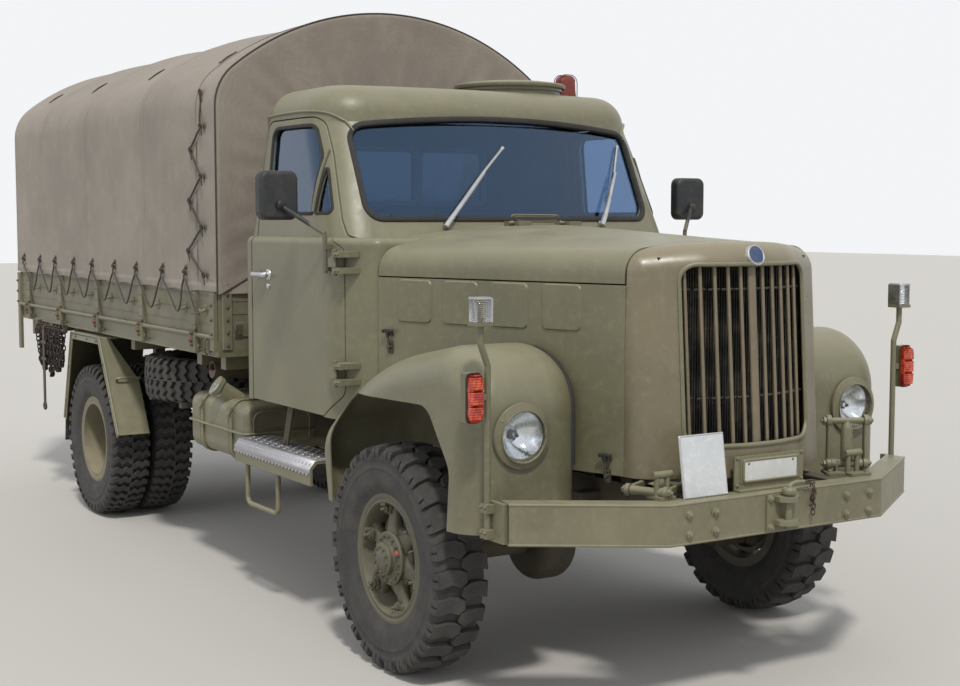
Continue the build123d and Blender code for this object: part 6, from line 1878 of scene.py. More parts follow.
latches = Form()
grips = Form()
for (u, v), length in (((391, 338), 0.075), ((608, 464), 0.085)):
    place, normal = seen(u, v, "hood_sides", "grille_shell", "front_fenders")
    for flip in (False, True):
        base = Vector((place.x, -place.y, place.z)) if flip else place
        out = Vector((normal.x, -normal.y, normal.z)) if flip else normal
        out = Vector((out.x, out.y, 0)).normalized()
        spot = facing(base, out)
        tangent = Vector((-out.y, out.x, 0))
        latches.add(
            slab((-0.016, 0.016), (-0.030, 0.030), (-0.002, 0.006), 0.006),
            facing(base + Vector((0, 0, -length * 0.55)), out)
        )
        for dz in (-0.018, 0.018):
            latches.add(bolt(0.012), facing(base + Vector((0, 0, -length * 0.55 + dz)) + out * 0.006, out))
        latches.add(
            along(
                [
                    base + out * 0.016 + Vector((0, 0, -length * 0.6)),
                    base + out * 0.022 + Vector((0, 0, length * 0.3))
                ],
                0.0045, 8
            )
        )
        latches.add(
            turned([(0.010, 0), (0.010, 0.020), (0, 0.022)], 12),
            facing(base + Vector((0, 0, -length * 0.55)), out)
        )
        top_point = base + out * 0.024 + Vector((0, 0, length * 0.42))
        grips.add(
            along(
                bend(
                    [
                        top_point - tangent * 0.030, top_point - tangent * 0.012 + Vector((0, 0, 0.004)),
                        top_point + tangent * 0.012 + Vector((0, 0, 0.004)), top_point + tangent * 0.030
                    ],
                    4
                ),
                [0.0085] * 4 + [0.0075] * 5 + [0.0085] * 4, 8
            )
        )
        grips.add(along([top_point, top_point - Vector((0, 0, 0.026))], [0.009, 0.0065], 8))
        latches.add(
            slab((-0.020, 0.020), (-0.008, 0.008), (-0.002, 0.018), 0.003),
            facing(base + Vector((0, 0, length * 0.26)), out)
        )
latches.make("hood_latches", "chassis", "dark_steel", smooth=40)
grips.make("latch_grips", "chassis", "black_plastic", black_rubber, smooth=50)

# Plates: a bare number plate in its frame, and a bare board with a rolled rim

plate_x, plate_y, plate_z = front_axle + 1.208, 0.010, 0.981
plate_half_width, plate_half_height, plate_edge = 0.143, 0.040, 0.003
plate_place = at((plate_x, plate_y, plate_z))
plate_frame = Form()
plate_face = Form()
edge = [
    Vector((0.007, y, z))
    for y, z in rounded(plate_half_width + plate_edge, plate_half_height + plate_edge, 0.010, 4)
]
plate_frame.add(along(edge, 0.0055, 8, closed=True), plate_place)
flat = rounded(plate_half_width, plate_half_height, 0.008, 4)
plate_face.add(([Vector((0.0085, y, z)) for y, z in flat], [list(range(len(flat)))]), plate_place)
for y in (-0.12, 0.12):
    plate_frame.add(round_head(0.012), facing((plate_x + 0.0085, plate_y + y, plate_z + 0.030), (1, 0, 0)))
for y in (-0.165, 0.185):
    for z in (0.925, 1.036):
        plate_frame.add(bolt(0.014), facing((plate_x, y, z), (1, 0, 0)))
plate_frame.make("number_plate_frame", "chassis", "body_paint", smooth=40)
plate_face.make("bare_number_plate", "chassis", "plate_metal", smooth=40)
board_points = [v.co for v in nodes["plates"].data.vertices if v.co.z > 1.06]
board_left, board_right = min(p.y for p in board_points), max(p.y for p in board_points)
board_foot, board_head = Vector((front_axle + 1.2335, 0, 0.906)), Vector((front_axle + 1.1975, 0, 1.144))
board_face = Form()
board_normal = (board_head - board_foot).cross(Vector((0, -1, 0))).normalized()
board_half_depth, board_spread = 0.0045, 0.003
board_ends = (board_left - board_spread, board_right + board_spread)
face = []
for end, grow, ends in ((board_foot, -0.004, board_ends), (board_head, 0.004, board_ends[::-1])):
    up = (board_head - board_foot).normalized() * grow
    for y in ends:
        face.append(end + up + Vector((0, y, 0)))
front = [p + board_normal * board_half_depth for p in face]
back = [p - board_normal * board_half_depth for p in face]
board_sides = [[0, 1, 2, 3], [7, 6, 5, 4], [0, 4, 5, 1], [1, 5, 6, 2], [2, 6, 7, 3], [3, 7, 4, 0]]
board_face.add((front + back, board_sides))
board_face.make(
    "bare_board", "chassis", "plate_metal",
    painted("board_aluminium", colour(205, 209, 211), dust=0.12, wear=0.2, rough=0.34, top_sheen=0.1),
    smooth=30, bevel=0.0015
)
rim = Form()
for y0, y1, a, b in (
    (board_left, board_right, board_head, board_head), (board_left, board_right, board_foot, board_foot),
    (board_left, board_left, board_foot, board_head), (board_right, board_right, board_foot, board_head)
):
    rim.add(
        along(
            [
                a + Vector((0, y0, 0)) + board_normal * 0.003,
                b + Vector((0, y1, 0)) + board_normal * 0.003
            ],
            0.0030, 8
        )
    )
rim.make("board_rim", "chassis", "plate_metal", bright_steel, smooth=50)

# Bed: grooves, dropped rail, brackets with their bolts, latches, rear lamps and the tailgate's bars

rail_top = 1.330
rear_end, front_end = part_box("bed_floor")[0].x, front_axle - 1.985
places = [front_axle + x for x in (-2.290, -3.180, -4.046, -4.889, -5.696)]
trim = Form()
fixings = Form()
rusty = Form()
for side, s in sides:
    board = s * 1.085
    for z in (1.412, 1.492, 1.572):
        for k in range(len(places) + 1):
            ends = [front_end - 0.066] + places + [rear_end + 0.066]
            high_x, low_x = ends[k] - (0.034 if k else 0), ends[k + 1] + (0.034 if k < len(places) else 0)
            trim.add(slab((low_x, high_x), sorted((board - s * 0.001, board + s * 0.0030)), (z, z + 0.0035)))
    trim.add(
        along(
            [
                (rear_end + 0.05, board + s * 0.004, rail_top + 0.001),
                (front_end - 0.01, board + s * 0.004, rail_top + 0.001)
            ],
            0.007, 8
        )
    )
    trim.add(
        along(
            [(rear_end + 0.05, board + s * 0.001, 1.240), (front_end - 0.01, board + s * 0.001, 1.240)],
            0.006, 8
        )
    )
    for x in places:
        fixings.add(bolt(0.026), facing((x, s * 1.117, 1.352), (0, s, 0)))
        fixings.add(bolt(0.022), facing((x, s * 1.117, 1.288), (0, s, 0)))
        fixings.add(along([(x - 0.042, s * 1.111, 1.370), (x + 0.042, s * 1.111, 1.370)], 0.009, 8))
        rusty.add(
            turned([(0.011, -0.010), (0.016, 0.0), (0.016, 0.010), (0.010, 0.018), (0, 0.019)], 12),
            facing((x - 0.012, s * 1.117, 1.316), (0, s, -0.5))
        )
        for z in (1.40, 1.46, 1.53):
            for dx in (-0.018, 0.018):
                fixings.add(round_head(0.012), facing((x + dx, s * 1.107, z), (0, s, 0)))
        # hooks below the rail for the cover's rope
        fixings.add(
            along(
                bend(
                    [
                        (x + 0.10, s * 1.085, 1.270), (x + 0.10, s * 1.112, 1.262),
                        (x + 0.10, s * 1.120, 1.280), (x + 0.10, s * 1.112, 1.292)
                    ],
                    4
                ),
                0.0055, 8
            )
        )
    for x in (rear_end + 0.034, front_end - 0.034):
        for z in (1.36, 1.44, 1.52):
            fixings.add(bolt(0.018), facing((x, s * 1.107, z), (0, s, 0)))
    # latch of the side board at its front end
    latch_x = front_end - 0.015
    fixings.add(
        slab((-0.016, 0.016), (-0.045, 0.045), (0, 0.010), 0.006),
        facing((latch_x - 0.10, s * 1.085, 1.30), (0, s, 0))
    )
    fixings.add(
        along(
            bend(
                [
                    (latch_x - 0.10, s * 1.098, 1.335), (latch_x - 0.10, s * 1.116, 1.32),
                    (latch_x - 0.10, s * 1.116, 1.26), (latch_x - 0.10, s * 1.100, 1.245)
                ],
                4
            ),
            0.006, 8
        )
    )
# front board: planks, frame strips and bolts
front_face = front_end + 0.0005
for z in (1.40, 1.47, 1.54, 1.61):
    trim.add(slab((front_face - 0.001, front_face + 0.003), (-1.06, 1.06), (z, z + 0.0035)))
for y in (-1.03, -0.35, 0.35, 1.03):
    trim.add(slab((front_face - 0.002, front_face + 0.010), (y - 0.030, y + 0.030), (1.275, 1.655), 0.004))
    for z in (1.30, 1.37, 1.44, 1.51, 1.58, 1.635):
        fixings.add(bolt(0.016), facing((front_face + 0.010, y, z), (1, 0, 0)))
# a hinged flap with its hasp on the front board, low on the right
trim.add(slab((front_face - 0.002, front_face + 0.008), (-0.98, -0.80), (1.345, 1.425), 0.002))
fixings.add(
    slab((-0.020, 0.020), (-0.028, 0.028), (0, 0.014), 0.005),
    facing((front_face + 0.006, -0.965, 1.385), (1, 0, 0))
)
fixings.add(
    along(
        bend(
            [
                (front_face + 0.018, -0.990, 1.41), (front_face + 0.026, -0.990, 1.385),
                (front_face + 0.018, -0.990, 1.36)
            ],
            4
        ),
        0.005, 8
    )
)
trim.make("bed_trim", "chassis", "board_paint", smooth=35, bevel=0.0008)
fixings.make("bed_fixings", "chassis", "board_paint", bolt_paint, smooth=35)
rusty.make(
    "bracket_knobs", "chassis", "dark_steel",
    steel("rusty_steel", colour(120, 84, 58), rust=0.9, metal=0.4), smooth=40
)

gate = Form()
gate_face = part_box("tailgate")[0].x
for z in (1.36, 1.44, 1.52, 1.60):
    for low_y, high_y in (
        (-1.07, -0.935), (-0.865, -0.485), (-0.415, -0.035), (0.035, 0.415), (0.485, 0.865), (0.935, 1.07)
    ):
        gate.add(slab((gate_face + 0.010, gate_face + 0.014), (low_y, high_y), (z, z + 0.0035)))
for y in (-0.90, -0.45, 0.0, 0.45, 0.90):
    for z in (1.30, 1.40, 1.50, 1.60):
        gate.add(bolt(0.018), facing((gate_face + 0.0005, y, z), (-1, 0, 0)))
for s in (-1, 1):
    gate.add(
        slab((-0.030, 0.030), (-0.022, 0.022), (0, 0.012), 0.006),
        facing((gate_face + 0.0125, s * 1.03, 1.585), (-1, 0, 0))
    )
    gate.add(
        along(
            bend(
                [
                    (gate_face + 0.002, s * 1.03, 1.60), (gate_face - 0.001, s * 1.00, 1.61),
                    (gate_face + 0.001, s * 0.955, 1.60)
                ],
                4
            ),
            0.006, 8
        )
    )
gate.make("tailgate_fittings", "tailgate", "board_paint", smooth=35)

rear_lamps = Form()
rear_glass = Form()
lamp_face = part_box("coloured_lenses")[0].x
for side, s in sides:
    for y, kind in ((0.866, 0), (0.944, 1)):
        for k in range(9):
            z = 1.118 + k * 0.0105
            shape = [
                (0.016, -0.034), (0.002, -0.034), (-0.001, -0.026), (-0.0025, 0), (-0.001, 0.026),
                (0.002, 0.034), (0.016, 0.034)
            ]
            rows = [
                [Vector((x - lift, v, dz)) for x, v in shape]
                for dz, lift in ((0, 0), (0.00525, 0.002), (0.0105, 0))
            ]
            (rear_glass if kind == 0 else rear_lamps).add(grid(rows), at((lamp_face + 0.002, s * y, z)))
rear_lamps.make("rear_turn_lenses", "chassis", "amber_lens", amber_piece.data.materials[0], smooth=35)
rear_glass.make(
    "rear_red_lenses", "chassis", "amber_lens", plastic("red_glass", colour(150, 12, 10), rough=0.15),
    smooth=35
)
shells = Form()
for side, s in sides:
    shells.add(
        slab(
            (lamp_face + 0.012, lamp_face + 0.028), sorted((s * 0.822, s * 0.998)), (1.105, 1.226), 0.006
        )
    )
    for y in (0.828, 0.905, 0.992):
        shells.add(round_head(0.010), facing((lamp_face + 0.012, s * y, 1.165), (-1, 0, 0)))
shells.make("rear_lamp_frames", "chassis", "black_plastic", smooth=35)

# Mudguards: rolled rims, stays, and rubber flaps behind

guard_rim = Form()
flaps = Form()
for side, s in sides:
    line = [
        (rear_axle + 0.625, 0.610), (rear_axle + 0.270, 1.214), (rear_axle - 0.350, 1.214),
        (rear_axle - 0.550, 0.596)
    ]
    guard_rim.add(along([(x, s * 1.130, z) for x, z in line], 0.0075, 8))
    inner = [
        (rear_axle + 0.585, 0.612), (rear_axle + 0.248, 1.172), (rear_axle - 0.320, 1.172),
        (rear_axle - 0.508, 0.600)
    ]
    guard_rim.add(along([(x, s * 1.1285, z) for x, z in inner], 0.0050, 8))
    for x, z in (
        (rear_axle + 0.20, 1.19), (rear_axle, 1.19), (rear_axle - 0.25, 1.19), (rear_axle + 0.34, 1.05),
        (rear_axle + 0.46, 0.84), (rear_axle - 0.41, 0.98), (rear_axle - 0.49, 0.74)
    ):
        guard_rim.add(bolt(0.016), facing((x, s * 1.130, z), (0, s, 0)))
    # a handle-shaped stay on the front panel
    normal = Vector((0.604, 0, 0.355)).normalized()
    base = Vector((rear_axle + 0.43, s * 1.07, 0.942)) + normal * 0.004
    guard_rim.add(
        along(
            bend(
                [
                    base, base + normal * 0.03, base + normal * 0.03 + Vector((0, -s * 0.14, 0)),
                    base + Vector((0, -s * 0.14, 0))
                ],
                4
            ),
            0.007, 8
        )
    )
    rows = []
    for share in np.linspace(0, 1, 12):
        row = []
        for y in np.linspace(0.66, 1.12, 14):
            row.append(
                Vector(
                    (
                        rear_axle - 0.556 - 0.028 * share - 0.006 * sin(9 * y + 2 * share) * share, s * y,
                        0.640 - 0.21 * share
                    )
                )
            )
        rows.append(row)
    flaps.add(grid(rows))
    for y in np.linspace(0.70, 1.09, 5):
        guard_rim.add(bolt(0.018), facing((rear_axle - 0.560, s * y, 0.622), (-1, 0, 0.2)))
guard_rim.make("mudguard_rims", "chassis", "body_paint", smooth=40)
flaps.make("mud_flaps", "chassis", "black_plastic", black_rubber, smooth=50, thickness=0.006)

# Fuel tank: pressed seam with rolled edge, strap bolts, filler cap; steps of chequer plate

tank = Form()
tank_x0, tank_x1, tank_y0, tank_y1, tank_mid = front_axle - 2.505, front_axle - 1.705, -1.050, -0.620, 0.840
edge = [
    Vector(((tank_x0 + tank_x1) / 2 + x, (tank_y0 + tank_y1) / 2 + y, tank_mid))
    for x, y in rounded(0.412, 0.227, 0.040, 6)
]
tank.add(along(edge, 0.0062, 8, closed=True))
for x in (tank_x0 + 0.192, tank_x1 - 0.188):
    tank.add(bolt(0.024), facing((x, tank_y0 - 0.009, 0.93), (0, -1, 0)))
    tank.add(
        slab((-0.026, 0.026), (-0.018, 0.018), (0, 0.012), 0.004),
        facing((x, tank_y0 - 0.006, 0.955), (0, -1, 0))
    )
    for dx in (-0.022, 0.022):
        loop = [
            Vector((x + dx, (tank_y0 + tank_y1) / 2 + y, tank_mid + z))
            for y, z in rounded(0.2235, 0.1685, 0.078, 6)
        ]
        tank.add(along(loop, 0.0032, 6, closed=True))
for x in (tank_x0, tank_x1):
    swage = [
        Vector((x, (tank_y0 + tank_y1) / 2 + y, tank_mid + z)) for y, z in rounded(0.165, 0.115, 0.05, 6)
    ]
    tank.add(along(swage, 0.006, 6, closed=True))
tank.make("tank_seam", "chassis", "body_paint", smooth=45)
cap = Form()
neck_foot = Vector((front_axle - 2.035, -0.940, 0.980))
neck_end = Vector((front_axle - 2.050, -1.056, 1.062))
lean = (neck_end - neck_foot).normalized()
cap_place = facing(neck_end + lean * 0.002, (lean.x - 0.1, lean.y, lean.z + 0.25))
cap.add(
    turned(
        [
            (0.044, -0.030), (0.046, -0.006), (0.056, -0.004), (0.058, 0.004), (0.058, 0.016),
            (0.055, 0.021), (0.047, 0.0225), (0.044, 0.018), (0.020, 0.019), (0, 0.0195)
        ],
        40
    ),
    cap_place
)
cap.add(slab((-0.040, 0.040), (-0.005, 0.005), (0.016, 0.027), 0.003), cap_place)
cap.make(
    "filler_cap", "chassis", "plate_metal",
    steel("cap_zinc", colour(176, 182, 182), rough=0.4, rust=0.15, metal=0.6), smooth=40
)

steps = Form()
teeth = Form()
for side, s in sides:
    x0, x1 = front_axle - 1.682, front_axle - 0.755
    outer, top_z = s * 1.1215, 0.8315
    rows = []
    section = [(-0.215, 0.0), (-0.034, 0.0), (-0.026, -0.003), (0.0, -0.036), (0.0015, -0.060)]
    for x in (x0, x1):
        rows.append([Vector((x, outer + s * v, top_z + w)) for v, w in section])
    steps.add(grid(rows))
    for i, x in enumerate(np.arange(x0 + 0.020, x1 - 0.01, 0.036)):
        for j, v in enumerate(np.arange(-0.200, -0.042, 0.034)):
            place = at((x, outer + s * v, top_z)) @ Matrix.Rotation(
                radians(45 if (i + j) % 2 else -45), 4, "Z"
            )
            teeth.add(
                (
                    [
                        (-0.013, 0, 0), (0, -0.0042, 0), (0.013, 0, 0), (0, 0.0042, 0),
                        (-0.007, 0, 0.003), (0.007, 0, 0.003)
                    ],
                    [[0, 1, 4], [1, 5, 4], [1, 2, 5], [2, 3, 5], [3, 4, 5], [3, 0, 4]]
                ),
                place
            )
    for x in np.arange(x0 + 0.022, x1 - 0.01, 0.040):
        out = Vector((0, s * 0.785, 0.62))
        spot = Vector((x, outer - s * 0.013, top_z - 0.0195))
        teeth.add(turned([(0.009, 0), (0.008, 0.0025), (0, 0.003)], 10), facing(spot, out))
    for x in np.arange(x0 + 0.012, x1, 0.040):
        steps.add(
            prism([(x - 0.019, 0.0), (x, -0.014), (x + 0.019, 0.0)], -0.001, 0.001),
            at((0, outer + s * 0.001, top_z - 0.060)) @ Matrix.Rotation(radians(90), 4, "X")
        )
steps.make("step_plates", "chassis", "plate_metal", tread_plate, smooth=30, thickness=0.002)
teeth.make("step_pattern", "chassis", "plate_metal", tread_plate, smooth=20)
stays = Form()
for side, s in sides:
    foot = Vector((front_axle - 1.30, s * 1.00, 0.825))
    stays.add(
        slab((-0.030, 0.030), (-0.005, 0.005), (0.0, 0.245)),
        at(foot) @ Matrix.Rotation(s * radians(10), 4, "X")
    )
    for dz in (0.02, 0.22):
        stays.add(bolt(0.022), facing(foot + Vector((0, s * 0.006 - s * 0.17 * dz, dz)), (0, s, 0)))
stays.make("step_stays", "chassis", "chassis_paint", smooth=35)

# Grille: rounded upright bars before the dark core, held by a middle post and two rails

bars = Form()
rails = Form()
bar_section = [
    (-0.015, -0.0050), (-0.010, -0.0080), (-0.003, -0.0068), (0.0, 0.0), (-0.003, 0.0068),
    (-0.010, 0.0080), (-0.015, 0.0050)
]
post_section = [
    (-0.016, -0.0180), (-0.009, -0.0205), (-0.002, -0.0165), (0.002, 0.0), (-0.002, 0.0165),
    (-0.009, 0.0205), (-0.016, 0.0180)
]
bar_places = [0.0] + [s * (0.029 + (n + 0.5) * 0.0596) for n in range(5) for s in (-1, 1)]
for y in bar_places:
    met = [cast((front_axle + 1.6, y, z), (-1, 0, 0), "grille_bars") for z in np.linspace(1.093, 1.797, 9)]
    line = [hit[0] for hit in met if hit]
    line = [line[0] + (line[0] - line[1]).normalized() * 0.012] + line + [
        line[-1] + (line[-1] - line[-2]).normalized() * 0.012
    ]
    section = bar_section if y else post_section
    shape, faces = grid([[p + Vector((x, d, 0)) for x, d in section] for p in line], wrap=True)
    n = len(section)
    faces += [list(range(n))[::-1], [(len(line) - 1) * n + k for k in range(n)]]
    bars.add((shape, faces))
    for k in (3, 8):
        if y:
            rails.add(
                along(
                    [line[k] + Vector((-0.014, -0.03, 0)), line[k] + Vector((-0.014, 0.03, 0))], 0.005, 8
                )
            )
grille = bars.make("grille_upright_bars", "chassis", "grille_grey", smooth=50)
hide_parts("grille_bars")
rails.make(
    "grille_rails", "chassis", "grille_grey", painted("rail_black", colour(30, 29, 26), dust=0.2),
    smooth=50
)

# Padded pieces, blown up as cloth and then sewn

def settle(piece):
    """Applies a piece's modifiers to its mesh."""
    ready = piece.evaluated_get(bpy.context.evaluated_depsgraph_get())
    mesh = bpy.data.meshes.new_from_object(ready)
    piece.modifiers.clear()
    piece.data = mesh
    mesh.shade_smooth()


def blown(name, shape, place, slot, voxel, cap, sew=None):
    """A cushion: a closed form remeshed, blown up as cloth by at most the cap, then sewn along its seams."""
    made = Form().add(shape, place).make(name, "chassis", slot, smooth=180)
    fine = made.modifiers.new("even", "REMESH")
    fine.mode = "VOXEL"
    fine.voxel_size = voxel
    settle(made)
    start = [v.co.copy() for v in made.data.vertices]
    cloth_made = made.modifiers.new("cloth", "CLOTH")
    cloth_made.settings.use_pressure = True
    cloth_made.settings.uniform_pressure_force = 4.0
    cloth_made.settings.quality = 6
    cloth_made.settings.effector_weights.gravity = 0.0
    for step in range(1, 21):
        bpy.context.scene.frame_set(step)
    settle(made)
    bpy.context.scene.frame_set(1)
    for vertex, was in zip(made.data.vertices, start):
        move = vertex.co - was
        if move.length > cap:
            vertex.co = was + move.normalized() * cap
    finer = made.modifiers.new("finer", "SUBSURF")
    finer.levels = 1
    finer.render_levels = 1
    settle(made)
    if sew:
        normals = [v.normal.copy() for v in made.data.vertices]
        for vertex, normal in zip(made.data.vertices, normals):
            vertex.co -= normal * sew(vertex.co, normal)
    made.data.update()
    return made


def sewn(lines, depth, axis):
    """Channels along lines of one y each, on the side that faces along the axis."""
    def pulled(point, normal):
        if normal[axis] < 0.35:
            return 0.0
        return depth * max(np.exp(-((point.y - y) / 0.007) ** 2) for y in lines)
    return pulled


seat_frames = Form()
seat_piping = Form()
seat_bolts = Form()
seat_pieces = []
for label, y_low, y_high in (("driver", -0.70, -0.20), ("bench", 0.06, 0.90)):
    x_back, x_front = front_axle - 1.555, front_axle - 1.145
    y_mid, y_half = (y_low + y_high) / 2, (y_high - y_low) / 2
    seat_frames.add(slab((x_back, x_front), (y_low + 0.012, y_high - 0.012), (1.0915, 1.375), 0.025))
    seat_frames.add(
        slab((x_back - 0.004, x_front + 0.006), (y_low + 0.004, y_high - 0.004), (1.375, 1.3935), 0.025)
    )
    seat_frames.add(
        slab((x_back - 0.004, x_front + 0.006), (y_low + 0.004, y_high - 0.004), (1.0915, 1.103), 0.025)
    )
    for y in np.arange(y_low + 0.10, y_high - 0.08, 0.16):
        seat_frames.add(along([(x_front + 0.003, y, 1.13), (x_front + 0.003, y, 1.345)], 0.006, 8))
    for y in (y_low + 0.05, y_high - 0.05):
        seat_bolts.add(bolt(0.018), facing((x_front, y, 1.36), (1, 0, 0)))
        seat_frames.add(
            along(
                [(x_back + 0.01, y, 1.39), (x_back - 0.022, y, 1.52), (x_back - 0.052, y, 1.97)], 0.011,
                10
            )
        )
    channels = [y_mid + y_half * share for share in np.linspace(-0.72, 0.72, 4 if y_half < 0.3 else 7)]
    outline = [(x + front_axle - 1.308, y + y_mid) for x, y in rounded(0.180, y_half - 0.020, 0.05, 5)]
    cushion = blown(f"seat_cushion_{label}", prism(outline, 1.399, 1.500), None, "seat_vinyl",
                    0.012, 0.018, sewn(channels, 0.009, 2))
    ring = [(x + front_axle - 1.308, y + y_mid, 1.494) for x, y in rounded(0.1965, y_half - 0.004, 0.05, 6)]
    seat_piping.add(along(ring, 0.0042, 8, closed=True))
    back_place = at((front_axle - 1.588, y_mid, 1.800)) @ Matrix.Rotation(radians(84), 4, "Y")
    outline = rounded(0.225, y_half - 0.020, 0.06, 5)
    back = blown(f"seat_back_{label}", prism(outline, -0.028, 0.030), back_place, "seat_vinyl",
                 0.012, 0.014, sewn(channels, 0.008, 0))
    seat_pieces += [cushion, back]
    ring = [back_place @ Vector((x, y, 0.027)) for x, y in rounded(0.2385, y_half - 0.006, 0.06, 6)]
    seat_piping.add(along(ring, 0.0042, 8, closed=True))
seat_pieces.append(
    seat_frames.make(
        "seat_frames", "chassis", "seat_vinyl", finish["chassis_paint"], smooth=35, bevel=0.002
    )
)
seat_bolts.make("seat_bolts", "chassis", "seat_vinyl", bolt_paint, smooth=35)
seat_piping.make(
    "seat_piping", "chassis", "seat_vinyl", plastic("piping_vinyl", colour(34, 33, 28)), smooth=60
)
for piece in seat_pieces:
    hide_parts("seats")

pad_low, pad_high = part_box("hatch_pad")
pad_mid = (pad_low + pad_high) / 2
pad_half_y, pad_half_z = (pad_high.y - pad_low.y) / 2 - 0.004, (pad_high.z - pad_low.z) / 2 - 0.003
pad_outline = round_path(
    [
        (-pad_half_z, -pad_half_y, 0.012), (pad_half_z, -pad_half_y, 0.045),
        (pad_half_z, pad_half_y, 0.045), (-pad_half_z, pad_half_y, 0.012)
    ]
)
pad_place = at(pad_mid) @ Matrix.Rotation(radians(-90), 4, "Y")
pad_piece = blown(
    "hatch_pad_leather", prism(pad_outline, -0.021, 0.021), pad_place, "pad_leather", 0.005, 0.006
)
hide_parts("hatch_pad")
pad_trim = Form()
for x in (-0.0245, 0.0245):
    ring = [pad_mid + Vector((x, v, u)) for u, v in round_path([
        (-pad_half_z - 0.001, -pad_half_y - 0.001, 0.012), (pad_half_z + 0.001, -pad_half_y - 0.001, 0.045),
        (pad_half_z + 0.001, pad_half_y + 0.001, 0.045), (-pad_half_z - 0.001, pad_half_y + 0.001, 0.012)])]
    pad_trim.add(along(ring, 0.0026, 6, closed=True))
pad_trim.make(
    "hatch_pad_piping", "chassis", "pad_leather", leather("piping_leather", colour(88, 36, 32)), smooth=60
)

# Snow chains: links hung in loops from a bar under the bed, and the long hanger with its eye

hung = Form()
hanger = Form()
chain_y = -1.115
bar_from, bar_to = front_axle - 5.395, front_axle - 4.735
hanger.add(along([(bar_from, chain_y, 1.205), (bar_to, chain_y, 1.205)], 0.011, 10))
for x in (bar_from + 0.012, bar_to - 0.012):
    hanger.add(
        turned([(0, -0.006), (0.018, -0.006), (0.018, 0.006), (0, 0.006)], 16),
        facing((x, chain_y, 1.205), (1, 0, 0))
    )
    hanger.add(slab((-0.005, 0.005), (-0.016, 0.016), (0.0, 0.045)), at((x, chain_y + 0.002, 1.205)))
for k, (share, low) in enumerate(
    zip((0.02, 0.16, 0.30, 0.44, 0.58, 0.72, 0.86), (0.930, 0.880, 0.905, 0.860, 0.890, 0.870, 0.950))
):
    x = bar_from + 0.03 + share * (bar_to - bar_from - 0.06)
    for shift, lean in ((-0.012, 0.010), (0.012, -0.006)):
        y = chain_y + shift
        route = bend(
            [
                (x - 0.024, y, 1.216), (x - 0.030, y, 1.10),
                (x - 0.020, y + lean, low + 0.06 + 0.02 * (k % 2)), (x, y + lean, low + 0.02 * (k % 3)),
                (x + 0.022, y + lean, low + 0.07), (x + 0.032, y, 1.12), (x + 0.024, y, 1.216)
            ],
            6
        )
        chain(hung, route, 0.030, 0.0048)
        hanger.add(
            along(
                [
                    (x - 0.024, y, 1.222), (x - 0.012, y, 1.2285), (x + 0.012, y, 1.2285),
                    (x + 0.024, y, 1.222)
                ],
                0.004, 6
            )
        )
hook_x = front_axle - 5.195
hanger.add(
    prism([(-0.022, -0.004), (0.022, -0.004), (0.022, 0.004), (-0.022, 0.004)], 0.66, 1.19),
    at((hook_x, chain_y - 0.026, 0))
)
eye_ring = [(hook_x + 0.024 * cos(a), chain_y - 0.026, 0.632 + 0.024 * sin(a)) for a in steps_round(24)]
hanger.add(along(eye_ring, 0.0085, 8, closed=True))
hanger.add(
    along(
        [
            (hook_x, chain_y - 0.026, 1.19), (hook_x, chain_y - 0.020, 1.215),
            (hook_x, chain_y - 0.004, 1.220)
        ],
        0.008, 8
    )
)
for z in (0.98, 1.10):
    hanger.add(slab((-0.045, 0.075), (-0.034, -0.030), (-0.011, 0.011), 0.003), at((hook_x, chain_y, z)))
chains_piece = hung.make(
    "snow_chain_links", "chassis", "dark_steel",
    steel("chain_black", colour(58, 55, 52), rust=0.3, metal=0.6), smooth=60
)
hanger_piece = hanger.make("snow_chain_hanger", "chassis", "dark_steel", smooth=40)
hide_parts("snow_chains")
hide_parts("snow_chains")

# Dash clocks behind the windscreen

clocks = Form()
clock_glass = Form()
for y in (-0.62, -0.53, -0.37, -0.28):
    hit = cast((front_axle - 0.95, y, 1.80), (1, 0, 0), "cab_shell")
    if hit:
        spot = facing(hit[0], hit[1])
        clocks.add(turned([(0.040, 0), (0.041, 0.010), (0.036, 0.013), (0.034, 0.008)], 28), spot)
        clock_glass.add(turned([(0.034, 0.007), (0, 0.007)], 28), spot)
        clocks.add(
            slab((-0.001, 0.001), (-0.004, 0.026), (0.0072, 0.0086)),
            spot @ Matrix.Rotation(0.7 + y * 4, 4, "Z")
        )
if clocks.points:
    clocks.make(
        "dash_clock_rims", "chassis", "black_plastic",
        plastic("clock_rim", colour(150, 150, 146), rough=0.3), smooth=40
    )
    clock_glass.make("dash_clock_faces", "chassis", "black_plastic", smooth=40)
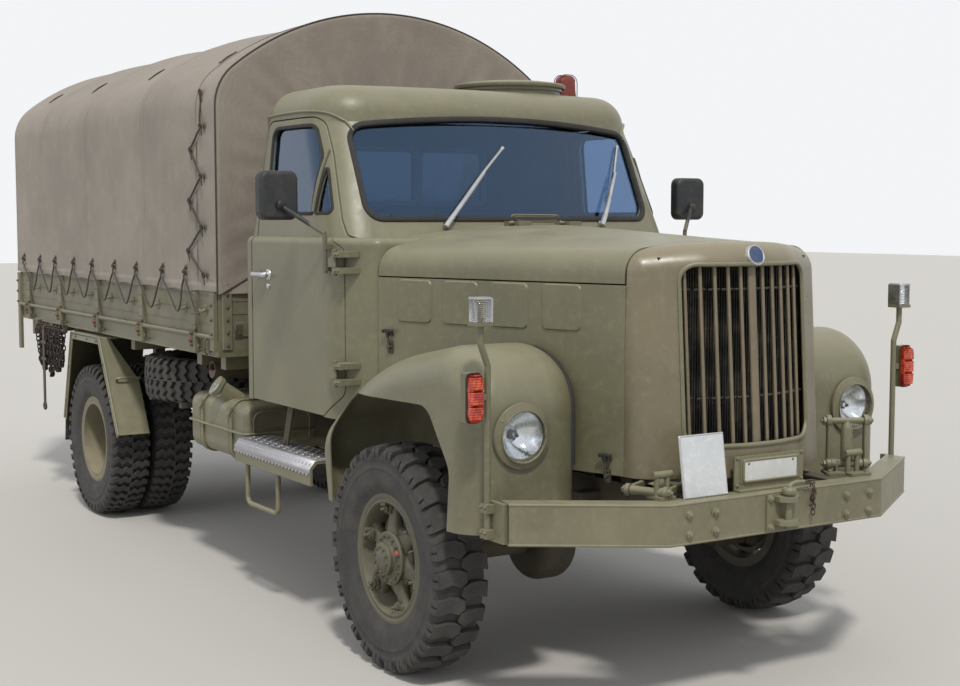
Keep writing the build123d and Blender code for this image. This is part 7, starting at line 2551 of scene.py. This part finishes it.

# Roof hatch: a domed lid with a rolled rim above a collar on the roof

lid = Form()
collar = Form()
hatch_x, hatch_y = front_axle - 1.26, 0.35
lid_place = at((hatch_x, hatch_y, 0))
lid.add(
    turned(
        [
            (0, 2.742), (0.12, 2.7405), (0.22, 2.736), (0.270, 2.729), (0.286, 2.722), (0.298, 2.724),
            (0.305, 2.719), (0.306, 2.708), (0.300, 2.700), (0.292, 2.704), (0.286, 2.710), (0.22, 2.722),
            (0, 2.728)
        ][::-1],
        72
    ),
    lid_place
)
lid.add(turned([(0.286, 2.712), (0.2865, 2.684), (0.280, 2.684), (0.279, 2.712)][::-1], 60), lid_place)
roof_z = [
    cast((hatch_x + 0.272 * cos(a), hatch_y + 0.272 * sin(a), 2.9), (0, 0, -1), "cab_shell")
    for a in steps_round(48)
]
ring_rows = []
for reach, lift in ((0.276, 2.686), (0.276, None), (0.262, None), (0.262, 2.682)):
    row = []
    for k, a in enumerate(steps_round(48)):
        z = lift if lift else (roof_z[k][0].z - 0.004 if roof_z[k] else 2.64)
        row.append(Vector((hatch_x + reach * cos(a), hatch_y + reach * sin(a), z)))
    ring_rows.append(row)
collar.add(grid(ring_rows[::-1], wrap=True))
collar.make("hatch_collar", "chassis", "body_paint", smooth=50)
lid_piece = lid.make("hatch_lid_dome", "hatch", "body_paint", smooth=45)
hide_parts("hatch_lid")

# Pieces with a paint of their own

paint_over(
    nodes["grille_shell"],
    painted("shell_paint", colour(118, 110, 87), rough=0.42, rust=0.3, wear=0.5, top_sheen=0.75)
)
rear_wheel_paint = painted(
    "rear_wheel_paint", colour(126, 120, 98), dust=0.35, wear=0.6, rust=0.35, edge=0.003
)
for side, s in sides:
    paint_over(nodes[f"wheel_rear_{side}"], rear_wheel_paint)
    paint_over(bpy.data.objects[f"rear_wheel_dish_{side}"], rear_wheel_paint)
for name in ("plates", "towing_gear"):
    paint_over(nodes[name], finish["body_paint"])

# Mudguards: the front panels lose their inner corners below the slanted edge

corner = seen(147.3, 420.0, "rear_mudguards")[0]
cuts = Form()
for s in (-1, 1):
    cuts.add(slab((rear_axle + 0.30, rear_axle + 0.80), sorted((s * 0.55, s * abs(corner.y))), (0.50, 1.10)))
cutter_mesh = bpy.data.meshes.new("cutter")
cutter_mesh.from_pydata([tuple(p) for p in cuts.points], [], cuts.faces)
cutter = bpy.data.objects.new("cutter", cutter_mesh)
bpy.context.scene.collection.objects.link(cutter)
guards = bpy.data.objects.new("mudguard_panels", nodes["rear_mudguards"].data.copy())
bpy.context.scene.collection.objects.link(guards)
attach(guards, "chassis")
shorten = guards.modifiers.new("shorten", "BOOLEAN")
shorten.operation = "DIFFERENCE"
shorten.solver = "EXACT"
shorten.object = cutter
settle(guards)
guards.data.set_sharp_from_angle(angle=radians(32))
bpy.data.objects.remove(cutter, do_unlink=True)
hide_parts("rear_mudguards")

low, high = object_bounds()
